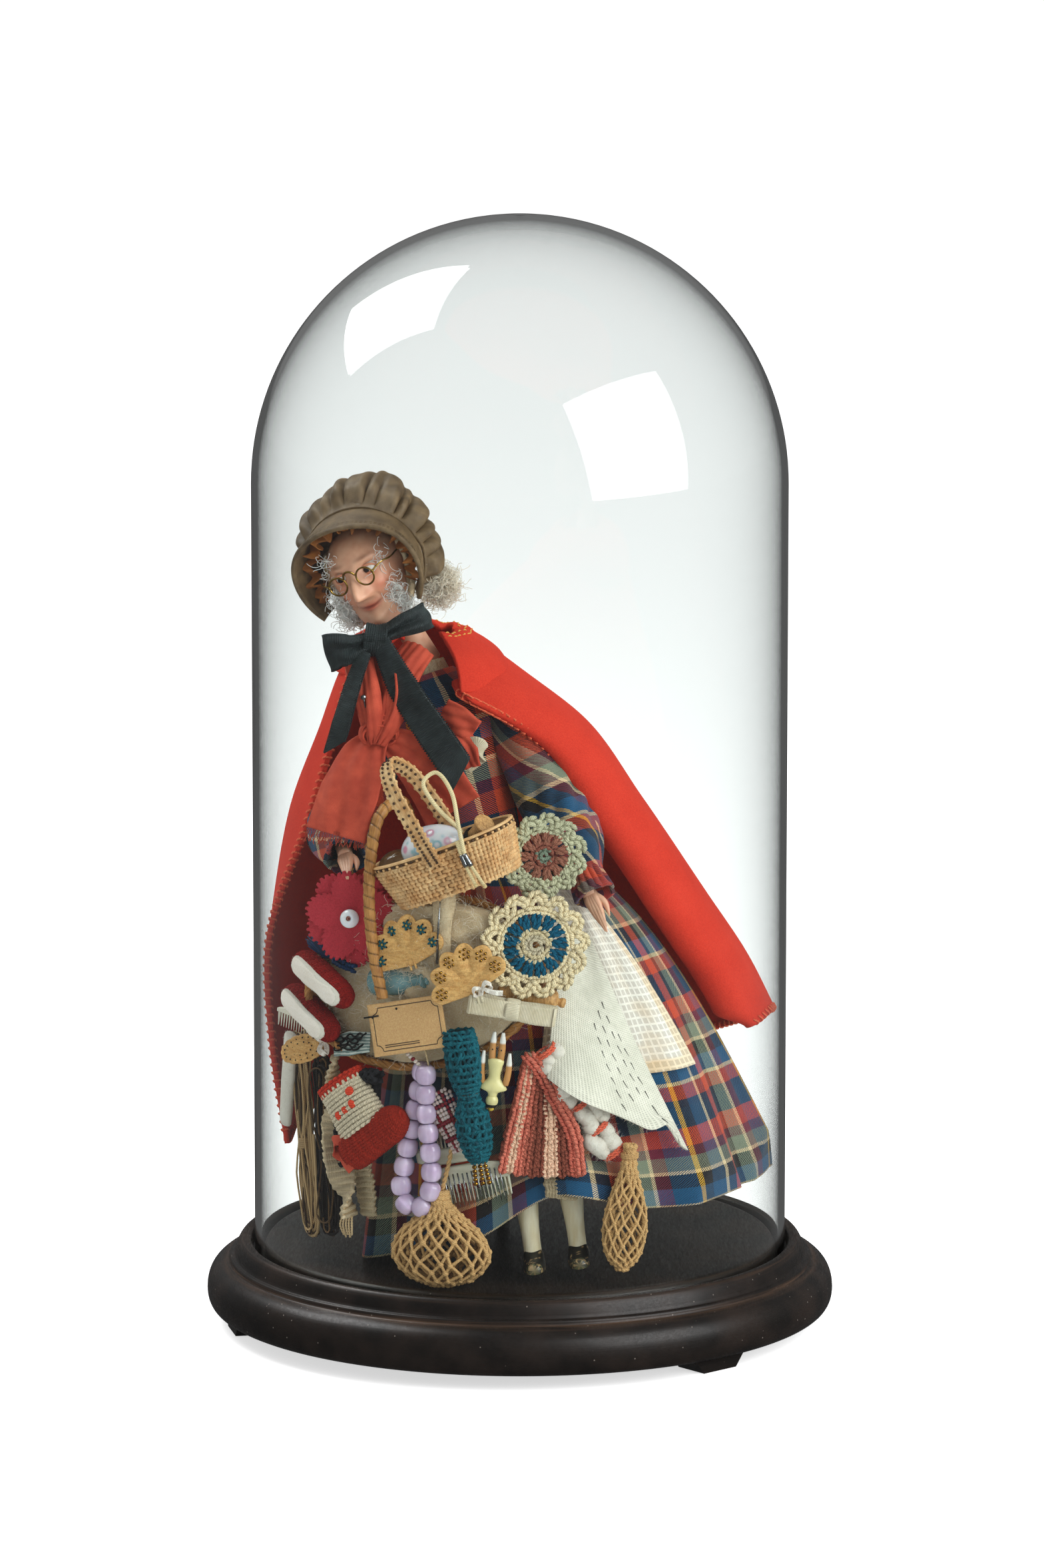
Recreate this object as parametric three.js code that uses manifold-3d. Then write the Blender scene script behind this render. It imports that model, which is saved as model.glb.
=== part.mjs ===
// A pedlar doll with her tray of wares, on a turned plinth under a glass dome.
// Millimetres, +Z up, the viewer's side is -Y, and the origin is on the floor under the dome's axis.

import * as THREE from "three";
import { mergeVertices } from "three/addons/utils/BufferGeometryUtils.js";
import Module from "manifold-3d";

const wasm = await Module();
wasm.setup();

const deg = THREE.MathUtils.degToRad;
const lerp = THREE.MathUtils.lerp;
const vec = (x, y, z) => new THREE.Vector3(x, y, z);

// Fits
const CLEARANCE = 0.4; // between pieces that touch
const ROOM = 0.35; // cut away round a hard piece that lies in a soft one
const PEG_CLEARANCE = 0.5; // round a wooden peg and beside a tongue
const WELD = 1e-4;

// Plinth and dome
const FOOT_HEIGHT = 6;
const FOOT_COUNT = 3;
const FOOT_WIDTH = 26;
const FOOT_DEPTH = 15;
const FOOT_RING = 112;
const FOOT_FIRST_ANGLE = 192;
const PLINTH_FOOT_RADIUS = 121;
const PLINTH_RADIUS = 127.5;
const PLINTH_WIDEST_Z = 14;
const PLINTH_NECK_RADIUS = 118.5;
const PLINTH_NECK_Z = 25.5;
const PLINTH_FILLET = 2;
const RIM_RADIUS = 112.5;
const PLATFORM_Z = 34.5;
const PLATFORM_CHAMFER = 1.6;
const GROOVE_DEPTH = 6;
const GROOVE_SLACK = 1.4;
const GLASS_RADIUS = 108;
const GLASS_WALL = 2.6;
const DOME_CENTRE_Z = 344.3;
const PLINTH_SIDES = 30;
const DOME_SIDES = 24;
const DOME_BANDS = 5;

// The doll's frame
const HIP = vec(-2, -44, 169);
const LEAN = { back: -11.2, left: -17.8, turn: -15 };
const HIP_SPREAD = 9;
const THIGH_LENGTH = 66;
const SHIN_LENGTH = 70;
const THIGH_SLOPE = -20;
const SHIN_SLOPE = -7;
const LEG_SPLAY = -7.5;
const LIMB_RADIUS = 6;
const TONGUE = 4;
const PEG_RADIUS = 1.3;
const TORSO_TOP = 114;
const SHOULDER_Z = 91;
const SHOULDER_HALF = 21.5;
const SHOULDER_DISC = 6.2;
const ARM_RADIUS = 4.2;
const LEFT_ELBOW = vec(13, -45, 219);
const LEFT_WRIST = vec(28, -67, 188.5);
const RIGHT_ELBOW = vec(-71, -28, 212);
const RIGHT_WRIST = vec(-69, -54, 202);
const HAND_LENGTH = 19;
const HEAD_CENTRE = vec(-59, -31, 313);
const HEAD_TILT = { nod: 8, roll: -19, turn: -18 };
const NECK_RADIUS = 5.2;
const LENS_RADIUS = 5.2;
const LENS_APART = 7.4;
const LENS_Y = -20.6;
const WIRE_RADIUS = 0.6;

// The stand hidden under her skirt
const ROD_RADIUS = 2.6;
const ROD_FOOT = vec(-7, 12, 0);
const ROD_SOCKET = 9;
const ROD_TOP = vec(-9, -19, 184);
const CRADLE_HALF = 19;

// Clothes
const CLOTH = 1.3;
const FELT = 2;
const SILK = 0.8;
const WAIST = vec(-12.2, -37.4, 199);
const WAIST_HALF = { x: 19, y: 15.5 };
const HEM = vec(19, -25, 58);
const HEM_HALF = { x: 81, y: 62 };
const FLARE = { x: 0.5, y: 0.68 };
const HEM_SLOPE = { left: 0.27, right: 0.13 };
const SLEEVE_RADII = [6.4, 8.5, 10.4, 11.2, 11, 10, 6.8, 7.6]; // from the shoulder to the cuff
const SLEEVE_FROM = 0.2; // share of the arm left bare at the shoulder
const SLEEVE_FOLD = 0.06;
const SKIRT_FOLDS = 9;
const SKIRT_FOLD_DEPTH = 0.055;
// Where the tray presses the skirt in
const TUCK = { depth: 0.16, turn: 0.7, width: 0.1, fall: 0.2, height: 0.14 };
const GLASS_MARGIN = 1.2;
// The inside radius of the glass that the places of the wares are laid out for
const PLACES_ROOM = 105.4;

// Wares: size of the larger ones
const TRAY_CENTRE = vec(-34, -62, 152);
const TRAY_HALF = { x: 50, z: 34 };
const TRAY_DEPTH = 9;
const TRAY_SIDES = 20;
const TRAY_WALL = 2;
const TRAY_TILT = { back: -15, roll: -12, turn: -22 };
const FLEECE_RISE = 34;
const FLEECE_BEHIND = 15;
const BASKET_HALF = { x: 30, y: 15 };
const BASKET_HEIGHT = 16;
const BASKET_WALL = 1.8;
const BASKET_FLOOR = 6;
const BASKET_HANDLE_RISE = 34;
const EGG_HALF = { x: 13.5, y: 9.4, z: 9.4 };
const BEAD_RADIUS = 4.1;
const BEAD_COUNT = 14;
const BEAD_STEP = 3.85;
const LACE_RADIUS = 0.65;
const HANK_LOOPS = 3;
const HANK_STEP = 2.2;
const LOOP_STEPS = 16;
const LACE_SIDES = 5;
const COMB_TEETH = 10;

// Where each ware lies: x and height, depth behind the glass, roll clockwise and forward pitch
const PLACES = {
  egg_basket: { x: -27, z: 205, behind: 20, roll: -16, pitch: 6 },
  penwiper: { x: -69, z: 180, behind: 14, roll: 8, pitch: -6 },
  doily_teal: { x: 6, z: 174, behind: 13.6, roll: 10, pitch: -4 },
  doily_green: { x: 13.2, z: 209, behind: 21.5, roll: 0, pitch: -2 },
  fan_left: { x: -43, z: 168, behind: 12.6, roll: -8, pitch: -6 },
  fan_right: { x: -19, z: 159, behind: 8.6, roll: 6, pitch: -6 },
  glass_bottle: { x: -47, z: 156, behind: 17, roll: 82, pitch: 0 },
  slipper_upper: { x: -77, z: 154, behind: 6.4, roll: 24, pitch: 0 },
  slipper_lower: { x: -86, z: 139, behind: 6.4, roll: 22, pitch: 0 },
  ivory_comb: { x: -86, z: 133, behind: 14.5, roll: 14, pitch: 0 },
  paddle_fan: { x: -80, z: 128, behind: 12.6, roll: -28, pitch: 0 },
  lace_hank_brown: { x: -85.5, z: 86, behind: 10.8, roll: -9, pitch: 0 },
  lace_hank_black: { x: -77, z: 84, behind: 12.3, roll: -4, pitch: 0 },
  knitted_strip: { x: -72, z: 90, behind: 10, roll: -8, pitch: 0 },
  bootee: { x: -62, z: 98, behind: 7.6, roll: 16, pitch: 0 },
  trade_card: { x: -44, z: 140, behind: 9, roll: -13, pitch: -8 },
  bead_necklace: { x: -40, z: 94, behind: 9, roll: 4, pitch: 0 },
  miser_purse: { x: -20, z: 113, behind: 8.5, roll: -9, pitch: 0 },
  peg_doll: { x: -9.7, z: 124, behind: 10, roll: 6, pitch: 0 },
  tape_bundle: { x: -3, z: 148.7, behind: 9.5, roll: 9, pitch: 0 },
  ribbed_purse: { x: 9, z: 103, behind: 16, roll: 4, pitch: 0 },
  wool_skein: { x: 26, z: 111, behind: 12, roll: -24, pitch: 0 },
  horn_comb: { x: -22, z: 78, behind: 22.3, roll: -14, pitch: 0 },
  net_bag_front: { x: -31, z: 55, behind: 11.6, roll: 0, pitch: 0 },
  net_bag_right: { x: 42, z: 68, behind: 7, roll: 4, pitch: 0 },
};

const PAINTS = {
  ebonised: { color: 0x1b1512, roughness: 0.35 },
  glass: { color: 0xdfe6e6, roughness: 0.03, transparent: true, opacity: 0.25 },
  wood: { color: 0xc9a878, roughness: 0.6 },
  flesh: { color: 0xe6cbb0, roughness: 0.45 },
  iron: { color: 0x55504a, roughness: 0.5, metalness: 0.9 },
  brass: { color: 0xa07a3c, roughness: 0.35, metalness: 1 },
  plaid: { color: 0x6e4a46, roughness: 0.9 },
  muslin: { color: 0xe4dcc6, roughness: 0.9 },
  scarlet: { color: 0xb5202a, roughness: 0.95 },
  coral: { color: 0xd8584a, roughness: 0.85 },
  bronze: { color: 0x6b5138, roughness: 0.5 },
  black: { color: 0x1c1a1c, roughness: 0.7 },
  hair: { color: 0xe9e2d2, roughness: 0.8 },
  wicker: { color: 0xb48a52, roughness: 0.7 },
  fleece: { color: 0xc9b795, roughness: 1 },
  opal: { color: 0xeeeae6, roughness: 0.15 },
  cream: { color: 0xe8dfc8, roughness: 0.9 },
  green: { color: 0x6f7146, roughness: 0.9 },
  card: { color: 0xc3a878, roughness: 0.8 },
  blue: { color: 0xaebcc4, roughness: 0.1 },
  ivory: { color: 0xe8d9b4, roughness: 0.4 },
  horn: { color: 0x8d8a6c, roughness: 0.35 },
  lilac: { color: 0xb7a0b4, roughness: 0.25 },
  teal: { color: 0x3f6e70, roughness: 0.9 },
  string: { color: 0x9a8a68, roughness: 0.9 },
};

// Solids

/** A closed body for cutting and joining, faces outward, from any closed three.js geometry. */
function bodyOf(geometry) {
  const bare = new THREE.BufferGeometry();
  const loose = geometry.index ? geometry.toNonIndexed() : geometry;
  bare.setAttribute("position", loose.getAttribute("position").clone());
  const welded = mergeVertices(bare, WELD);
  const index = welded.index.array;
  const vertProperties = new Float32Array(welded.getAttribute("position").array);
  const bodyWith = (flip) => {
    const triangles = [];
    for (let i = 0; i < index.length; i += 3) {
      const [a, b, c] = [index[i], index[i + 1], index[i + 2]];
      if (a === b || b === c || c === a) continue;
      triangles.push(a, flip ? c : b, flip ? b : c);
    }
    const triVerts = Uint32Array.from(triangles);
    return new wasm.Manifold(new wasm.Mesh({ numProp: 3, vertProperties, triVerts }));
  };
  const body = bodyWith(false);
  return body.volume() < 0 ? bodyWith(true) : body;
}

/** The three.js geometry of a body. */
function geometryOf(body) {
  const mesh = body.getMesh();
  const geometry = new THREE.BufferGeometry();
  geometry.setAttribute("position", new THREE.BufferAttribute(Float32Array.from(mesh.vertProperties), 3));
  geometry.setIndex(new THREE.BufferAttribute(Uint32Array.from(mesh.triVerts), 1));
  geometry.computeVertexNormals();
  return geometry;
}

/** The largest single lump of a body. */
function largest(body) {
  const lumps = body.decompose();
  return lumps.reduce((best, lump) => (lump.volume() > best.volume() ? lump : best), lumps[0]);
}

/** A body with every corner pushed out along its normal. */
function grown(body, gap) {
  const geometry = geometryOf(body);
  const place = geometry.getAttribute("position");
  const normal = geometry.getAttribute("normal");
  for (let i = 0; i < place.count; i++) {
    place.setXYZ(
      i,
      place.getX(i) + gap * normal.getX(i),
      place.getY(i) + gap * normal.getY(i),
      place.getZ(i) + gap * normal.getZ(i),
    );
  }
  return bodyOf(geometry);
}

/** Several overlapping geometries joined into one. */
function joined(...geometries) {
  return geometryOf(geometries.map(bodyOf).reduce((all, next) => all.add(next)));
}

/** One geometry with others cut away, keeping the largest lump. */
function without(geometry, ...cutters) {
  return geometryOf(largest(cutters.map(bodyOf).reduce((all, next) => all.subtract(next), bodyOf(geometry))));
}

/** A geometry from a list of corners and a list of four-cornered faces. */
function fromQuads(corners, quads) {
  const geometry = new THREE.BufferGeometry();
  const places = corners.flatMap((p) => [p.x, p.y, p.z]);
  geometry.setAttribute("position", new THREE.Float32BufferAttribute(places, 3));
  geometry.setIndex(quads.flatMap(([a, b, c, d]) => [a, b, c, a, c, d]));
  return geometry;
}

/** Cloth of even thickness about the surface point(u, v); a closed sheet joins u = 1 to u = 0. */
function sheet(point, across, along, thickness, closed = false) {
  const columns = closed ? across : across + 1;
  const layer = columns * (along + 1);
  const rows = Array.from({ length: along + 1 }, (_, j) => j);
  const grid = rows.map((j) => Array.from({ length: columns }, (_, i) => point(i / across, j / along)));
  const wrap = (i) => (closed ? (i + columns) % columns : THREE.MathUtils.clamp(i, 0, across));
  const corners = [];
  for (const side of [0.5, -0.5]) {
    for (const j of rows) {
      for (let i = 0; i < columns; i++) {
        const du = grid[j][wrap(i + 1)].clone().sub(grid[j][wrap(i - 1)]);
        const dv = grid[Math.min(j + 1, along)][i].clone().sub(grid[Math.max(j - 1, 0)][i]);
        corners.push(grid[j][i].clone().addScaledVector(du.cross(dv).normalize(), side * thickness));
      }
    }
  }
  const face = (i, j) => j * columns + wrap(i);
  const back = (i, j) => layer + face(i, j);
  const quads = [];
  for (let i = 0; i < across; i++) {
    for (let j = 0; j < along; j++) {
      quads.push([face(i, j), face(i + 1, j), face(i + 1, j + 1), face(i, j + 1)]);
      quads.push([back(i, j), back(i, j + 1), back(i + 1, j + 1), back(i + 1, j)]);
    }
    quads.push([back(i, 0), back(i + 1, 0), face(i + 1, 0), face(i, 0)]);
    quads.push([face(i, along), face(i + 1, along), back(i + 1, along), back(i, along)]);
  }
  for (let j = 0; j < along && !closed; j++) {
    quads.push([face(0, j), face(0, j + 1), back(0, j + 1), back(0, j)]);
    quads.push([back(across, j), back(across, j + 1), face(across, j + 1), face(across, j)]);
  }
  return fromQuads(corners, quads);
}

/** A solid skinned over rings of points, flat at both ends. */
function loft(rings) {
  const sides = rings[0].length;
  const corners = rings.flat();
  const quads = [];
  for (let j = 0; j + 1 < rings.length; j++) {
    for (let i = 0; i < sides; i++) {
      const next = (i + 1) % sides;
      quads.push([j * sides + i, j * sides + next, (j + 1) * sides + next, (j + 1) * sides + i]);
    }
  }
  for (const [ring, first] of [[rings[0], 0], [rings.at(-1), corners.length - sides]]) {
    const middle = ring.reduce((sum, p) => sum.add(p), vec(0, 0, 0)).divideScalar(sides);
    corners.push(middle);
    for (let i = 0; i < sides; i++) {
      const [a, b] = [first + i, first + ((i + 1) % sides)];
      const hub = corners.length - 1;
      quads.push(first === 0 ? [hub, b, a, hub] : [hub, a, b, hub]);
    }
  }
  return fromQuads(corners, quads);
}

/** A level oval of points. */
function oval(centre, halfX, halfY, sides = 14) {
  return Array.from({ length: sides }, (_, i) => {
    const turn = (2 * Math.PI * i) / sides;
    return vec(centre.x + halfX * Math.cos(turn), centre.y + halfY * Math.sin(turn), centre.z);
  });
}

/** A solid of level ovals, from rows of [z, half width, half depth, y of the middle]. */
function ovalLoft(rows, sides = 14) {
  return loft(rows.map(([z, halfX, halfY, y = 0]) => oval(vec(0, y, z), halfX, halfY, sides)));
}

/** A round bar along a curve through points. */
function bar(points, radius, steps, sides = 8) {
  const section = new THREE.Shape(
    Array.from({ length: sides }, (_, i) => {
      const turn = (2 * Math.PI * i) / sides;
      return new THREE.Vector2(radius * Math.cos(turn), radius * Math.sin(turn));
    }),
  );
  const straight = points.length === 2;
  const extrudePath = straight ? new THREE.LineCurve3(...points) : new THREE.CatmullRomCurve3(points);
  return new THREE.ExtrudeGeometry(section, { steps, extrudePath, bevelEnabled: false });
}

/** A flat plate of an outline drawn in x and z, centred on y = 0. */
function plate(shape, thickness, curveSegments = 6) {
  const geometry = new THREE.ExtrudeGeometry(shape, { depth: thickness, bevelEnabled: false, curveSegments });
  return geometry.rotateX(Math.PI / 2).translate(0, thickness / 2, 0);
}

/** A turned solid about Z from rows of [radius, z]. */
function turned(rows, sides) {
  const profile = rows.map(([radius, z]) => new THREE.Vector2(radius, z));
  return new THREE.LatheGeometry(profile, sides).rotateX(Math.PI / 2);
}

/** A strip of cloth along points, with its width along the given sideways direction. */
function strip(points, widths, sideways, thickness, steps, folds = 0) {
  const path = new THREE.CatmullRomCurve3(points);
  const spread = sideways.clone().normalize();
  return sheet((u, v) => {
    const rank = v * (widths.length - 1);
    const low = Math.min(Math.floor(rank), widths.length - 2);
    const width = lerp(widths[low], widths[low + 1], rank - low);
    const bulge = folds * Math.sin(2 * Math.PI * u) * Math.sin(Math.PI * Math.min(1, 2 * v));
    return path.getPoint(v).addScaledVector(spread, (u - 0.5) * width).add(vec(0, bulge, 0));
  }, folds ? 3 : 1, steps, thickness);
}

/** A ball squeezed to half sizes. */
function ball(x, y, z, columns = 12, rows = 8) {
  return new THREE.SphereGeometry(1, columns, rows).rotateX(Math.PI / 2).scale(x, y, z);
}

/** A box between two corners. */
function block(low, high) {
  const size = high.clone().sub(low);
  const middle = low.clone().add(high).multiplyScalar(0.5);
  return new THREE.BoxGeometry(size.x, size.y, size.z).translate(middle.x, middle.y, middle.z);
}

/** A round peg along X about a centre. */
function crossPeg(centre, radius, length, sides = 8) {
  const peg = new THREE.CylinderGeometry(radius, radius, length, sides).rotateZ(Math.PI / 2);
  return peg.translate(centre.x, centre.y, centre.z);
}

// Scene graph

const pedlar = new THREE.Group();
const GLASS_INSIDE = GLASS_RADIUS - GLASS_WALL;
const ROOM_SCALE = GLASS_INSIDE / PLACES_ROOM;

/** A named mesh with its own material, added to a group. */
function piece(name, geometry, paint, parent = pedlar) {
  const mesh = new THREE.Mesh(geometry, new THREE.MeshStandardMaterial(PAINTS[paint]));
  mesh.name = name;
  parent.add(mesh);
  return mesh;
}

/** A ware laid facing out through the glass at its named place. */
function ware(name, geometry, paint) {
  const mesh = piece(name, geometry, paint);
  const { z, roll, pitch, ...spot } = PLACES[name];
  const x = spot.x * ROOM_SCALE;
  const reach = GLASS_INSIDE - spot.behind * ROOM_SCALE;
  mesh.position.set(x, -Math.sqrt(reach * reach - x * x), z);
  mesh.rotation.set(deg(pitch), deg(roll), Math.asin(x / reach), "ZXY");
  return mesh;
}

/** A point drawn in towards the axis until it clears the glass. */
function underGlass(point, margin = GLASS_MARGIN) {
  const reach = GLASS_INSIDE - margin;
  const out = Math.hypot(point.x, point.y);
  if (out > reach) {
    point.x *= reach / out;
    point.y *= reach / out;
  }
  return point;
}

// Plinth, feet and dome

const GROOVE_Z = PLATFORM_Z - GROOVE_DEPTH;
const GROOVE_OUT = GLASS_RADIUS + GROOVE_SLACK;
const GROOVE_IN = GLASS_INSIDE - GROOVE_SLACK;
const PLATFORM_RADIUS = GROOVE_IN - PLATFORM_CHAMFER;

function plinthProfile() {
  const path = new THREE.Path();
  path.moveTo(0, FOOT_HEIGHT);
  path.lineTo(PLINTH_FOOT_RADIUS, FOOT_HEIGHT);
  path.quadraticCurveTo(PLINTH_RADIUS, FOOT_HEIGHT, PLINTH_RADIUS, PLINTH_WIDEST_Z);
  path.quadraticCurveTo(PLINTH_RADIUS, PLINTH_NECK_Z - PLINTH_FILLET, PLINTH_NECK_RADIUS, PLINTH_NECK_Z);
  path.lineTo(PLINTH_NECK_RADIUS, PLINTH_NECK_Z + PLINTH_FILLET);
  path.lineTo(PLINTH_NECK_RADIUS - PLINTH_FILLET, PLINTH_NECK_Z + PLINTH_FILLET);
  path.quadraticCurveTo(RIM_RADIUS + PLINTH_FILLET, PLATFORM_Z, RIM_RADIUS, PLATFORM_Z);
  path.lineTo(GROOVE_OUT, PLATFORM_Z - PLATFORM_CHAMFER / 2);
  path.lineTo(GROOVE_OUT, GROOVE_Z);
  path.lineTo(GROOVE_IN, GROOVE_Z);
  path.lineTo(GROOVE_IN, PLATFORM_Z - PLATFORM_CHAMFER);
  path.lineTo(PLATFORM_RADIUS, PLATFORM_Z);
  path.lineTo(0, PLATFORM_Z);
  return path.getPoints(3);
}

function addPlinth() {
  const body = new THREE.LatheGeometry(plinthProfile(), PLINTH_SIDES).rotateX(Math.PI / 2);
  const socketFoot = vec(ROD_FOOT.x, ROD_FOOT.y, PLATFORM_Z - ROD_SOCKET - CLEARANCE);
  const socket = bar([socketFoot, socketFoot.clone().setZ(PLATFORM_Z + 1)], ROD_RADIUS + CLEARANCE, 1, 12);
  piece("plinth", without(body, socket), "ebonised");
  for (let i = 0; i < FOOT_COUNT; i++) {
    const outline = new THREE.Shape();
    outline.moveTo(-FOOT_WIDTH / 2, FOOT_HEIGHT - CLEARANCE);
    outline.lineTo(-FOOT_WIDTH / 3, 0);
    outline.lineTo(FOOT_WIDTH / 3, 0);
    outline.lineTo(FOOT_WIDTH / 2, FOOT_HEIGHT - CLEARANCE);
    const foot = piece(`plinth_foot_${i + 1}`, plate(outline, FOOT_DEPTH), "ebonised");
    const angle = deg(FOOT_FIRST_ANGLE + (360 / FOOT_COUNT) * i);
    foot.position.set(FOOT_RING * Math.cos(angle), FOOT_RING * Math.sin(angle), 0);
    foot.rotation.z = angle + Math.PI / 2;
  }
}

function addDome() {
  const quarter = (radius, from, to) =>
    Array.from({ length: DOME_BANDS + 1 }, (_, i) => {
      const angle = lerp(from, to, i / DOME_BANDS);
      return [Math.max(0, radius * Math.cos(angle)), DOME_CENTRE_Z + radius * Math.sin(angle)];
    });
  const seat = GROOVE_Z + CLEARANCE;
  const outside = [[GLASS_RADIUS, seat], ...quarter(GLASS_RADIUS, 0, Math.PI / 2)];
  const inside = [...quarter(GLASS_INSIDE, Math.PI / 2, 0), [GLASS_INSIDE, seat]];
  piece("glass_dome", turned([...outside, ...inside, outside[0]], DOME_SIDES), "glass");
}

// The wooden doll

const upper = new THREE.Group();
upper.position.copy(HIP);
upper.rotation.set(deg(LEAN.back), deg(LEAN.left), deg(LEAN.turn), "YXZ");
const head = new THREE.Group();
head.position.copy(HEAD_CENTRE);
head.rotation.set(deg(HEAD_TILT.nod), deg(HEAD_TILT.roll), deg(HEAD_TILT.turn), "YXZ");
pedlar.add(upper, head);
pedlar.updateMatrixWorld(true);

const inUpper = (point) => upper.worldToLocal(point.clone());
const inHead = (point) => head.worldToLocal(point.clone());

/** A thigh's group at its hip peg, with the shin's group nested at the knee peg. */
function legFrame(side) {
  const thigh = new THREE.Group();
  thigh.rotation.set(deg(THIGH_SLOPE), deg(LEG_SPLAY), 0, "YXZ");
  thigh.position.copy(vec(side * HIP_SPREAD, 0, 0).applyEuler(thigh.rotation).add(HIP));
  const shin = new THREE.Group();
  shin.position.z = -THIGH_LENGTH;
  shin.rotation.x = deg(SHIN_SLOPE - THIGH_SLOPE);
  thigh.add(shin);
  pedlar.add(thigh);
  pedlar.updateMatrixWorld(true);
  return { thigh, shin };
}

// Torso rows: z, half width, half depth
const TORSO_ROWS = [
  [-13, 14, 8],
  [-8, 18.5, 10.5],
  [6, 19, 11],
  [22, 15, 10],
  [38, 12, 9],
  [58, 15, 10.5],
  [78, 17.5, 11.5],
  [90, 18.6, 11],
  [100, 14.5, 9.5],
  [106, 7.5, 7.5],
  [TORSO_TOP, 6, 6],
];

function addTorso(legs) {
  const slots = legs.map(({ thigh }) => {
    const half = TONGUE / 2 + PEG_CLEARANCE;
    const slot = block(vec(-half, -16, -40), vec(half, 16, LIMB_RADIUS + 1.5));
    return slot.applyMatrix4(thigh.matrixWorld).applyMatrix4(upper.matrixWorld.clone().invert());
  });
  const trunk = without(ovalLoft(TORSO_ROWS, 14), ...slots);
  const hipPeg = crossPeg(vec(0, 0, 0), PEG_RADIUS, 2 * HIP_SPREAD + 10);
  hipPeg.applyMatrix4(new THREE.Matrix4().makeRotationY(deg(LEG_SPLAY)));
  hipPeg.applyMatrix4(new THREE.Matrix4().setPosition(HIP));
  hipPeg.applyMatrix4(upper.matrixWorld.clone().invert());
  const shoulderPeg = crossPeg(vec(0, 0, SHOULDER_Z), PEG_RADIUS, 2 * SHOULDER_HALF + SHOULDER_DISC);
  piece("torso", joined(trunk, hipPeg, shoulderPeg), "wood", upper);
}

/** A wooden tongue on a peg: a disc with its neck, drilled for the peg. */
function tongue(radius, drop) {
  const half = TONGUE / 2;
  const disc = crossPeg(vec(0, 0, 0), radius, TONGUE, 12);
  const neck = block(vec(-half, -radius * 0.8, -drop), vec(half, radius * 0.8, 0));
  return without(joined(disc, neck), crossPeg(vec(0, 0, 0), PEG_RADIUS + PEG_CLEARANCE, TONGUE + 2));
}

// Shoe rows from heel to toe: y, half width, height
const SHOE_ROWS = [
  [4.6, 2.4, 6],
  [3.4, 4, 8.4],
  [-1, 4.4, 9.4],
  [-6, 4.6, 6.6],
  [-10.5, 3.6, 4.4],
  [-13, 1.2, 3],
];

function addLeg(label, { thigh, shin }) {
  const hipDrop = 19;
  const thighRound = turned([
    [0, -hipDrop],
    [LIMB_RADIUS - 1, -hipDrop],
    [LIMB_RADIUS + 0.6, -THIGH_LENGTH / 2],
    [LIMB_RADIUS, -THIGH_LENGTH],
    [0, -THIGH_LENGTH],
  ], 10);
  const kneeEnd = crossPeg(vec(0, 0, -THIGH_LENGTH), LIMB_RADIUS - 0.8, 2 * LIMB_RADIUS - 1, 12);
  const half = TONGUE / 2 + PEG_CLEARANCE;
  const fork = block(vec(-half, -12, -THIGH_LENGTH - 12), vec(half, 12, 7.5 - THIGH_LENGTH));
  const kneePeg = crossPeg(vec(0, 0, -THIGH_LENGTH), PEG_RADIUS, 2 * LIMB_RADIUS - 2);
  const forked = without(joined(thighRound, kneeEnd), fork);
  piece(`thigh_${label}`, joined(forked, kneePeg, tongue(LIMB_RADIUS, hipDrop + 1)), "wood", thigh);
  const ankle = -SHIN_LENGTH + 6;
  const shank = [[0, -6.4], [LIMB_RADIUS - 0.8, -6.4], [LIMB_RADIUS - 0.2, -22], [3.6, ankle], [0, ankle]];
  const shoe = loft(SHOE_ROWS.map(([y, half, tall]) => {
    const section = [[-1, 0], [1, 0], [0.9, 0.6], [0.45, 1], [-0.45, 1], [-0.9, 0.6]];
    return section.map(([x, z]) => vec(x * half, y, z * tall - SHIN_LENGTH));
  }));
  piece(`shin_${label}`, joined(turned(shank, 10), tongue(LIMB_RADIUS - 1.4, 7.5), shoe), "wood", shin);
}

/** An arm's line from its shoulder pin through the elbow to the wrist. */
function armPath(side, elbow, wrist) {
  const root = vec(side * (SHOULDER_HALF + SHOULDER_DISC / 2), 0, SHOULDER_Z);
  return new THREE.CatmullRomCurve3([root, elbow, wrist]);
}

/** An arm pinned at the shoulder: disc, limb through the elbow, and a tapering hand. */
function armGeometry(side, elbow, wrist) {
  const path = armPath(side, elbow, wrist);
  const root = path.points[0];
  const disc = crossPeg(root, SHOULDER_DISC, SHOULDER_DISC, 12);
  const limb = bar(path.points, ARM_RADIUS, 5, 7);
  const reach = wrist.clone().sub(elbow).normalize();
  const palm = ball(4.2, 2.4, HAND_LENGTH / 2, 8, 6);
  const turn = new THREE.Quaternion().setFromUnitVectors(vec(0, 0, 1), reach);
  palm.applyQuaternion(turn);
  const middle = wrist.clone().addScaledVector(reach, HAND_LENGTH * 0.4);
  palm.translate(middle.x, middle.y, middle.z);
  const bore = crossPeg(root, PEG_RADIUS + PEG_CLEARANCE, 3 * SHOULDER_DISC);
  return without(joined(disc, limb, palm), bore);
}

// Head rows: z, half width, half depth, y of the middle
const HEAD_ROWS = [
  [-21.5, 3, 3.5, -9.5],
  [-19, 7, 8, -6.5],
  [-13, 11.5, 13, -2.5],
  [-5, 14, 16, 0],
  [4, 15.5, 17.5, 1],
  [12, 14, 16, 2],
  [17.5, 9.5, 11, 2.5],
  [20, 4, 5, 3],
];
const NOSE_ROWS = [
  [-9, 1.2, 1.2, -15.5],
  [-7, 2.6, 3.6, -17.5],
  [-4.5, 2.8, 4.6, -18],
  [0, 1.9, 3.4, -16.5],
  [5, 1.3, 2, -15],
];

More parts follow.
